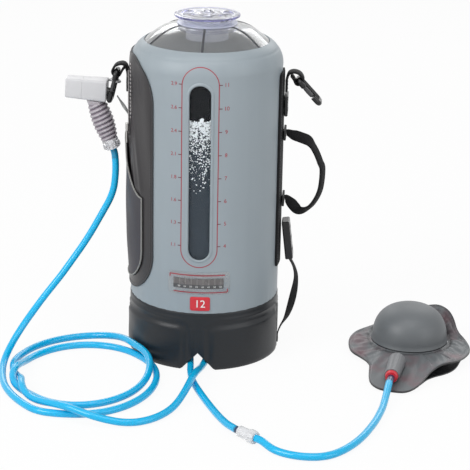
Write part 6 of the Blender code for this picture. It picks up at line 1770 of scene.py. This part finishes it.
class CAMPSHOWER_OT_hooks(bpy.types.Operator):
    """Two carabiners with their gates, webbing loops and the clear tether"""

    bl_idname = "camp_shower.hooks"
    bl_label = "Hooks and loops"

    def execute(self, context):
        for prefix, (eye_x, eye_z, lean, side) in (("left", LEFT_EYE), ("right", RIGHT_EYE)):
            add_hook(prefix, eye_x, eye_z, lean, side)
        add_loop("left_loop", LEFT_EYE, 0.358, 0.0012, "left_hook_loop")
        add_loop("right_loop", RIGHT_EYE, 0.364, 0.0026, "right_hook_loop")
        wall = -(BAG_RADIUS + 0.0012 + 2 * SEAT_GAP + 0.0006)
        centres = side_path(((wall, 0.318), (wall - 0.0008, 0.325), (wall - 0.006, 0.334),
            (wall - 0.012, 0.343), (wall - 0.016, 0.3495)), 0.002)
        count = len(centres)
        twist = [radians(62.0) * sin(pi * index / (count - 1)) ** 2 for index in range(count)]
        sides = [Vector((0.0, cos(turn), sin(turn))) for turn in twist]
        mesh = band_mesh("tether", centres, sides, 0.005, 0.0012)
        grey = clear_material("tether_clear", (0.6, 0.61, 0.61, 1.0), 0.2, 0.3)
        add_piece("tether", mesh, grey, ("hook_tether",),
            ("bag", "left_hook", tuple(centres[0]), tuple(centres[-1])))
        return {"FINISHED"}


ON_STRAP = BAG_RADIUS + SEAT_GAP + 0.0026 + SEAT_GAP
STRAP_HALF = 0.0225
STRAP_LOW = 0.123
STRAP_HIGH = 0.393
HANDLE_HIGH = 0.306
HANDLE_LOW = 0.214


def add_handle(start):
    """Handle of folded webbing: flat arms that twist into an upright grip."""
    high, low = HANDLE_HIGH, HANDLE_LOW
    middle = (high + low) / 2
    spots = ((start, high), (start + 0.003, high),
        (start + 0.009, high - 0.0025), (start + 0.02, high - 0.006), (start + 0.031, high - 0.011),
        (start + 0.04, high - 0.024), (start + 0.0465, high - 0.039), (start + 0.05, middle - 0.004),
        (start + 0.048, low + 0.015), (start + 0.04, low - 0.004), (start + 0.03, low - 0.014),
        (start + 0.019, low - 0.016), (start + 0.009, low - 0.006), (start + 0.003, low), (start, low))
    centres = side_path(spots, 0.002)
    last = len(centres) - 1
    directions, widths, thicknesses = [], [], []
    for index in range(last + 1):
        share = index / last
        near = min(share, 1 - share)
        turn = soft_step((near - 0.1) / 0.14) * radians(66.0)
        before = centres[max(index - 1, 0)]
        after = centres[min(index + 1, last)]
        along = (after - before).normalized()
        flat = along.cross(BACK)
        directions.append(flat * cos(turn) + BACK * sin(turn))
        widths.append(0.015 * (0.62 + 0.38 * soft_step(near / 0.08)))
        thicknesses.append(0.0012 + 0.0024 * soft_step((near - 0.012) / 0.03))
    mesh = band_mesh("handle_web", centres, directions, widths, thicknesses)
    add_piece("handle_web", mesh, webbing_material(), ("carry_handle",), body="handle")


def add_tail():
    """Narrow strap from the buckle down to the skirt, with its twist."""
    buckle_x = ON_STRAP + 0.0105 / 2 + 0.0036
    foot = buckle_x + sin(radians(7.0)) * 0.027
    face = BAG_RADIUS + 0.0005 + SEAT_GAP + 0.0008 + 0.0002
    centres = side_path(((foot - 0.0002, 0.1289), (foot + 0.005, 0.12), (0.1255, 0.109),
        (0.1265, 0.098), (0.1245, 0.08), (0.1205, 0.06), (0.115, 0.042), (face + 0.004, 0.028),
        (face, 0.016), (face, 0.006)), 0.002)
    count = len(centres)
    directions = []
    for index in range(count):
        share = index / (count - 1)
        turn = radians(50.0) * sin(pi * share) ** 2
        directions.append(Vector((sin(turn), cos(turn), 0.0)))
    mesh = band_mesh("tail_web", centres, directions, 0.013, 0.0016)
    add_piece("tail_web", mesh, webbing_material(), ("tail_strap",))


class CAMPSHOWER_OT_side_straps(bpy.types.Operator):
    """Side strap, handle with its anchors, ladder lock, buckle and tail strap"""

    bl_idname = "camp_shower.side_straps"
    bl_label = "Side straps"

    def execute(self, context):
        angle = radians(87.0)
        base = BAG_RADIUS + SEAT_GAP
        columns = panel_columns(STRAP_HALF, STRAP_LOW, STRAP_HIGH, 0.008, 18)

        def face(arc, height):
            edge = min(STRAP_HALF - abs(arc), height - STRAP_LOW, STRAP_HIGH - height)
            return base + 0.0012 + 0.0013 * soft_step(edge / 0.0014)

        mesh = wrapped_sheet_mesh("side_band", columns, 90, base, face, angle)
        web = webbing_material()
        add_piece("side_band", mesh, web, ("side_strap",))
        lines = []
        for shift in (-0.019, 0.019):
            points = [on_bag(shift, 0.13 + 0.256 * index / 40, base + 0.0027, angle) for index in range(41)]
            lines.append((points, outwards(points)))
        sew("side_band_stitches", lines, dark_thread())
        for name, node, level in (("anchor_upper", "handle_anchor_upper", HANDLE_HIGH),
            ("anchor_lower", "handle_anchor_lower", HANDLE_LOW)):
            block = block_mesh(name, (0.003, 0.028, 0.015), 0.0009, 3,
                by_bag(ON_STRAP + 0.0015, 0.0, level))
            add_piece(name, block,
                grained("anchor_web", (0.018, 0.018, 0.019, 1.0), 0.7, 0.2, 700.0, 0.0002),
                (node,))
        add_handle(ON_STRAP + 0.003 + SEAT_GAP)
        give_finish(hook_plastic(), "ladder_lock", "side_buckle")
        add_tail()
        return {"FINISHED"}


# Handset


HANDSET_CENTRE = Vector((-0.1494, 0.0, 0.358))
HANDSET_LEAN = radians(3.5)
HEAD_REAR = -0.0165
HEAD_JOINT = 0.0165
HEAD_FRONT = HEAD_JOINT + SEAT_GAP + 0.0222


def on_handset(along, up=0.0, depth=0.0):
    """Point from the head's centre: forwards, upwards and to the back."""
    forward = Vector((-cos(HANDSET_LEAN), 0.0, sin(HANDSET_LEAN)))
    upward = Vector((sin(HANDSET_LEAN), 0.0, cos(HANDSET_LEAN)))
    return BAG_AXIS + HANDSET_CENTRE + forward * along + upward * up + Vector((0, depth, 0))


def head_ring(along, inset):
    """Rounded-rectangle section of the tapered head, inset at its edges."""
    share = 1.0 - 0.1 * (along - HEAD_REAR) / (HEAD_FRONT - HEAD_REAR)
    return soft_rectangle(along, 0.0138 * share - inset, 0.0145 * share - inset, 0.0034 - inset * 0.6)


def soft_rectangle(along, half_depth, half_height, corner, up=0.0):
    """Rounded rectangle, or a circle where the corner fills it, across the head."""
    ring = []
    for quarter, (side, rise) in enumerate(((1, 1), (-1, 1), (-1, -1), (1, -1))):
        for index in range(9):
            angle = radians(90.0 * quarter + 5.0 + 10.0 * index)
            ring.append(on_handset(along, up + rise * (half_height - corner) + corner * sin(angle),
                side * (half_depth - corner) + corner * cos(angle)))
    return ring


def rounded_edge(end, edge, inward):
    """Rings round an edge of the head, from its end face on to its sides."""
    rings = []
    for index in range(5):
        turn = radians(22.5 * index)
        rings.append(head_ring(end + inward * edge * (1 - cos(turn)), edge * (1 - sin(turn))))
    return rings


def lug_meshes():
    """Ring threaded on the back of the left hook, and the arm that carries it."""
    eye_x, eye_z, lean, side = LEFT_EYE
    down = Vector((side * sin(lean), 0.0, -cos(lean)))
    centre = by_bag(eye_x, HOOK_WIDTH / 2 - HOOK_BAR, eye_z) + down * 0.017
    sideways = Vector((-down.z, 0.0, down.x))
    reach = HOOK_BAR + 0.001 + 0.0016
    points = round_ring(centre, sideways, BACK, reach, 32)
    ring = lay_mesh("lug_ring", tube_rings(points, 0.0016, 12, True), looped=True)
    start = BAG_AXIS.x + HANDSET_CENTRE.x + HEAD_JOINT - 0.004
    finish = centre.x - reach + 0.0008
    arm = block_mesh("lug_arm", (finish - start, 0.0032, 0.0032), 0.0007, 3,
        Vector(((finish + start) / 2, centre.y, centre.z + 0.0006)))
    return [ring, arm]


def add_grip():
    """Curved grip whose ribs dip in a shallow V along its front and back, with painted shade darkening the
    grooves between them.
    """
    rings, groove_shade_amounts = [], []
    rows, sides = 144, 40
    upward = Vector((sin(HANDSET_LEAN), 0.0, cos(HANDSET_LEAN)))
    seat = HANDSET_CENTRE - upward * (0.0145 + SEAT_GAP)
    for row in range(rows + 1):
        share = row / rows
        point, along = grip_point(share)
        side = along.cross(BACK)
        ring = []
        for angle, _ in around(sides):
            dip = 0.026 * sin(angle)
            wave = (0.5 - 0.5 * cos(2 * pi * (share + dip) * 9)) ** 0.7
            end = soft_step(min(share, 1 - share) / 0.03)
            radius = 0.0124 - 0.001 * share + 0.0031 * sin(pi * share)
            radius -= 0.0019 * (1 - wave) * end + 0.0009 * (1 - end)
            ring.append(point + (BACK * cos(angle) + side * sin(angle)) * radius)
            # How deep each point lies in a groove; this drives the painted groove shade.
            groove_shade_amounts.append((1 - wave) * end)
        rings.append(ring)
    along = grip_point(0.0)[1]
    rings[0] = [spot + along * ((seat - spot).dot(upward) / along.dot(upward)) for spot in rings[0]]
    for row in range(1, 10):
        rings[row] = [
            spot if (seat - spot).dot(upward) > 0.0004 * row else
            rings[0][k] + along * 0.0004 * row for k, spot in enumerate(rings[row])]
    mesh = lay_mesh("ribbed_grip", [[spot + BAG_AXIS for spot in ring] for ring in rings])
    marks = mesh.attributes.new("hollow", "FLOAT", "POINT")
    marks.data.foreach_set("value", groove_shade_amounts)

    # Painted shade: the grooves between the ribs are darkened in colour.
    def hollow(tree, spot, colour):
        return mix_colour(tree, mark_of(tree, "hollow"), colour, (0.115, 0.085, 0.12, 1.0))

    material = grained("grip_soft", (0.42, 0.39, 0.42, 1.0), 0.42, 0.05, 1400.0, 0.00003, 60.0, hollow)
    add_piece("ribbed_grip", mesh, material, ("handset_grip",), body="handset")


def add_nut():
    """Fluted nut: a clear sleeve with ribs set round it."""
    end, along = grip_point(1.0)
    side = along.cross(BACK)
    start = BAG_AXIS + end + along * SEAT_GAP
    rings = []
    for drop, radius in ((0.0, 0.0108), (0.0006, 0.0112), (0.004, 0.0112), (0.0046, 0.0108),
        (0.0115, 0.0106), (0.0128, 0.01), (0.0135, 0.0088)):
        rings.append(round_ring(start + along * drop, BACK, side, radius, 48))
    mesh = lay_mesh("nut_sleeve", rings)
    clear = clear_material("nut_clear", (0.86, 0.86, 0.88, 1.0), 0.12, 0.6)
    add_piece("nut_sleeve", mesh, clear, ("hose_nut",), body="grip_nut")
    ring = round_ring(start + along * 0.0082, BACK, side, 0.0107, 96)
    rib = block_mesh("nut_rib", (0.0016, 0.0024, 0.0066), 0.0005, 2)
    ribs = row_mesh("nut_ribs", line_mesh("nut_line", ring, [along] * 96, cyclic=True), rib, 0.00479, clear)
    add_piece("nut_ribs", ribs, clear, (), body="grip_nut")


class CAMPSHOWER_OT_handset(bpy.types.Operator):
    """Handset: head with its lug, spray cover, spray plate, button, ribbed grip and hose nut"""

    bl_idname = "camp_shower.handset"
    bl_label = "Handset"

    def execute(self, context):
        silver = grained("handset_silver", tuple(colours().handset), 0.38, 0.03, 1600.0, 0.00002, 40.0,
            Specular_IOR_Level=0.4)
        well = [soft_rectangle(HEAD_REAR + deep, 0.0074, 0.0074, 0.0074, -0.003) for deep in (0.0051, 0.0)]
        box = lay_mesh("head", well + rounded_edge(HEAD_REAR, 0.0016, 1) + [head_ring(0.0, 0.0),
            head_ring(HEAD_JOINT - 0.0002, 0.0), head_ring(HEAD_JOINT, 0.0002)])
        add_piece("head", joined_mesh("head", [box] + lug_meshes()), silver, ("handset_body",),
            body="handset")
        mouth = [soft_rectangle(HEAD_FRONT - deep, 0.009, 0.0096, 0.0008) for deep in (0.0, 0.0026)]
        start = HEAD_JOINT + 0.00008
        cover = lay_mesh("spray_cover", [head_ring(start, 0.0002), head_ring(start + 0.0002, 0.0)]
            + rounded_edge(HEAD_FRONT, 0.0016, -1)[::-1] + mouth)
        add_piece("spray_cover", cover, silver, ("spray_collar",), body="handset")
        give_finish(grained("plate_grey", (0.36, 0.35, 0.36, 1.0), 0.5, 0.05), "spray_plate")
        give_finish(hook_plastic(), "handset_button")
        add_grip()
        add_nut()
        return {"FINISHED"}


# Foot pump


CHAMBER_RADIUS = 0.053
CHAMBER_TOP = 0.0175
PUMP_DOME_RADIUS = 0.0515
PUMP_DOME_HEIGHT = 0.0482
FLANGE_FOLD = 0.0018
FLANGE_SEAT = 0.0009
FLANGE_GUIDES = ((-101.0, 0.151, 0.0045), (-90.0, 0.157, 0.0035), (-79.0, 0.155, 0.0045),
    (-73.0, 0.125, 0.01), (-64.0, 0.107, 0.017), (-54.0, 0.101, 0.02), (-40.0, 0.095, 0.016),
    (-26.0, 0.089, 0.012), (-5.0, 0.0865, 0.012), (9.0, 0.079, 0.016), (24.0, 0.069, 0.023),
    (36.0, 0.0695, 0.036), (50.0, 0.0715, 0.044), (64.0, 0.0705, 0.047), (80.0, 0.068, 0.042),
    (102.0, 0.066, 0.028), (126.0, 0.066, 0.019), (152.0, 0.068, 0.016), (168.0, 0.079, 0.0125),
    (184.0, 0.0825, 0.011), (200.0, 0.085, 0.01), (214.0, 0.087, 0.008), (227.0, 0.082, 0.006),
    (240.0, 0.088, 0.0075), (249.0, 0.102, 0.008), (254.0, 0.13, 0.006))


def flange_guide(angle, column):
    """A flange guide's value at an angle in degrees, rounded off over a few degrees."""
    places = [guide[0] % 360.0 for guide in FLANGE_GUIDES]
    values = [guide[column] for guide in FLANGE_GUIDES]
    nearby = [angle + offset for offset in (-5.0, -2.5, 0.0, 2.5, 5.0)]
    return float(np.mean(np.interp(nearby, places, values, period=360.0)))


def flange_level(tip, share):
    """Height of the flange's upper side: lobes puffed in their middle, the back one turned up."""
    root = CHAMBER_TOP - 0.001
    if tip < root:
        return root + (tip - root) * (1.0 - (1.0 - share) ** 2) + FLANGE_FOLD * sin(pi * share)
    return root + (tip - root) * share


def squared_arc(radius, height, share):
    """Point of a squared quarter arc, from the crown at 0 down to the foot at 1."""
    angle = pi / 2 * share
    return radius * sin(angle) ** 0.8, height * max(cos(angle), 0.0) ** 0.8


def add_base(material):
    """Black sheet under the flange."""
    rings = []
    steps = 180
    for index in range(steps):
        angle = 360.0 * index / steps
        x, y = cos(radians(angle)), sin(radians(angle))
        away = (angle - 312.0 + 180.0) % 360.0 - 180.0
        reach = flange_guide(angle, 1) * 0.965 - 0.01 * (1.0 - bell(away, 30.0))
        rings.append([by_pump(x * r, y * r, z) for r, z in (
            (reach, 0.0002), (reach + 0.0006, 0.001), (reach, 0.002), (0.02, 0.002), (0.02, 0.0))])
    mesh = lay_mesh("pump_sheet", rings, looped=True)
    sheet = add_piece("pump_sheet", mesh, material, ("pump_base_sheet",))


def add_flange(material):
    """Flange of coated fabric: folds run out into its lobes, its edge is welded."""
    inner = CHAMBER_RADIUS + 0.0002
    rings, marks = [], []
    steps, parts = 320, 28
    for index in range(steps):
        angle = 360.0 * index / steps
        turn = radians(angle)
        x, y = cos(turn), sin(turn)
        reach, tip = flange_guide(angle, 1), flange_guide(angle, 2)
        upper, lower = [], []
        for part in range(parts + 1):
            share = part / parts
            radius = inner + (reach - inner) * share
            middle = sin(pi * min(share * 1.05, 1.0)) ** 0.7
            folds = 0.0009 * middle * (
                sin(turn * 9 + 5 * share) + 0.7 * sin(turn * 21 + 1.3 - 3 * share)
                + 0.4 * sin(turn * 43 + 9 * share))
            seat = FLANGE_SEAT * bell(radius - inner - 0.0035, 0.0022)
            weld = 0.0008 * bell(reach - radius - 0.0045, 0.0013)
            level = max(flange_level(tip, share) + folds - seat - weld, 0.0024)
            upper.append(by_pump(x * radius, y * radius, level))
            lower.append(by_pump(x * radius, y * radius, level - 0.0022))
            # Painted shade: the 'dark' mark covers the outer edge and the dipped crease where the flange
            # meets the dome.
            marks.append(max(1.0 - (reach - radius) / 0.002, 0.7 * seat / FLANGE_SEAT, 0.0))
        rings.append(upper + lower[::-1])
        marks += marks[-parts - 1:][::-1]
    mesh = lay_mesh("pump_skirt", rings, looped=True)
    mesh.attributes.new("dark", "FLOAT", "POINT").data.foreach_set("value", marks)
    skirt = add_piece("pump_skirt", mesh, material, ("pump_flange",))


def flange_material():
    """Grey coated fabric with a faint reddish cast in its folds, and painted shade darkening its outer edge
    and the crease round the dome.
    """
    def cast_and_welds(tree, spot, colour):
        calc = partial(math_node, tree)
        cast = noise(tree, spot, 26.0, Detail=3.0)
        amount = calc("MULTIPLY", calc("SUBTRACT", cast, 0.46), 3.0)
        amount = calc("MINIMUM", calc("MAXIMUM", amount, 0.0), 0.62)
        tinted = mix_colour(tree, amount, colour, (0.16, 0.07, 0.085, 1.0))
        # Painted shade: darken the outer edge and the crease round the dome.
        return mix_colour(tree, mark_of(tree, "dark"), tinted, (0.018, 0.018, 0.02, 1.0))

    return grained("flange_fabric", tuple(colours().pump), 0.44, 0.16, 1200.0, 0.00005, 30.0,
        cast_and_welds)


def add_dome(material):
    """Trodden dome over its return spring, each given a mesh of its own; on the real pump both flatten as
    it is pressed.
    """
    low = CHAMBER_TOP + SEAT_GAP
    profile = []
    for index in range(41):
        across, rise = squared_arc(PUMP_DOME_RADIUS, PUMP_DOME_HEIGHT, index / 40)
        foot = 0.0014 * bell(rise, 0.0012)
        profile.append((across + foot, low + (rise if index < 40 else 0.0)))
    for index in range(20, -1, -1):
        across, rise = squared_arc(PUMP_DOME_RADIUS - 0.0024, PUMP_DOME_HEIGHT - 0.0024, index / 20)
        profile.append((across, low + (rise if index < 20 else 0.0)))
    dome = turned_mesh("pump_crown_skin", profile, 96, PUMP_AXIS)
    piece = add_piece("pump_crown_skin", dome, material, ("pump_dome",))
    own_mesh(piece)
    low_wire, high_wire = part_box("return_spring")
    wire = 0.0013
    bottom, top = low_wire.z + wire, high_wire.z - wire
    points = []
    for index in range(161):
        share = index / 160
        angle = 2 * pi * 5 * share
        radius = 0.03 - 0.012 * share
        points.append(by_pump(radius * cos(angle), radius * sin(angle), bottom + (top - bottom) * share))
    spring = lay_mesh("spring_wire", tube_rings(points, wire, 10))
    steel = grained("spring_bright", (0.55, 0.56, 0.58, 1.0), 0.28, 0.05, 900.0, 0.00001, 60.0,
        Metallic=1.0)
    piece = add_piece("spring_wire", spring, steel, ("return_spring",))
    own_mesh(piece)


class CAMPSHOWER_OT_foot_pump(bpy.types.Operator):
    """Foot pump: base sheet, lobed flange, trodden dome, spring and socket"""

    bl_idname = "camp_shower.foot_pump"
    bl_label = "Foot pump"

    def execute(self, context):
        grey = grained("pump_fabric", tuple(colours().pump), 0.46, 0.1, 1200.0, 0.00005, 22.0)
        black = grained("pump_base_fabric", (0.016, 0.017, 0.019, 1.0), 0.45, 0.15)
        add_base(black)
        add_flange(flange_material())
        add_dome(grey)
        give_finish(black, "pump_chamber")
        give_finish(grained("valve_rubber", (0.55, 0.55, 0.56, 1.0), 0.6), "intake_valve")
        give_finish(grained("disc_plastic", (0.5, 0.5, 0.5, 1.0), 0.45), "pressure_disc")
        give_finish(grained("socket_plastic", (0.15, 0.155, 0.165, 1.0), 0.4, 0.1), "pump_socket")
        give_finish(grained("collar_red", (0.6, 0.02, 0.035, 1.0), 0.3, 0.06), "socket_collar")
        ring = clear_material("coupling_white", (0.85, 0.86, 0.88, 1.0), 0.2, 0.35)
        give_finish(ring, "hose_coupling", "coupling_nut")
        return {"FINISHED"}


# Panel and running


OPERATORS = (CAMPSHOWER_OT_stage, CAMPSHOWER_OT_hoses, CAMPSHOWER_OT_bag_wall, CAMPSHOWER_OT_window,
    CAMPSHOWER_OT_scale_print, CAMPSHOWER_OT_front_patches, CAMPSHOWER_OT_base_skirt,
    CAMPSHOWER_OT_clear_top, CAMPSHOWER_OT_pocket, CAMPSHOWER_OT_hooks, CAMPSHOWER_OT_side_straps,
    CAMPSHOWER_OT_handset, CAMPSHOWER_OT_foot_pump)


class CAMPSHOWER_PT_looks(bpy.types.Panel):
    """Lists the operators that dress the shower"""

    bl_idname = "CAMPSHOWER_PT_looks"
    bl_label = "Camp shower"
    bl_space_type = "VIEW_3D"
    bl_region_type = "UI"
    bl_category = "Camp shower"

    def draw(self, context):
        for operator in OPERATORS:
            self.layout.operator(operator.bl_idname)


CLASSES = (ShowerSizes, ShowerColours) + OPERATORS + (CAMPSHOWER_PT_looks,)


def register():
    """Register the classes and the scene's settings."""
    for one in CLASSES:
        bpy.utils.register_class(one)
    bpy.types.Scene.shower_sizes = PointerProperty(type=ShowerSizes)
    bpy.types.Scene.shower_colours = PointerProperty(type=ShowerColours)


def unregister():
    """Take the settings and the classes away again."""
    del bpy.types.Scene.shower_colours
    del bpy.types.Scene.shower_sizes
    for one in reversed(CLASSES):
        bpy.utils.unregister_class(one)


def main():
    """Dress the shower piece by piece."""
    register()
    for operator in OPERATORS:
        group, name = operator.bl_idname.split(".")
        getattr(getattr(bpy.ops, group), name)()


if __name__ == "__main__":
    main()
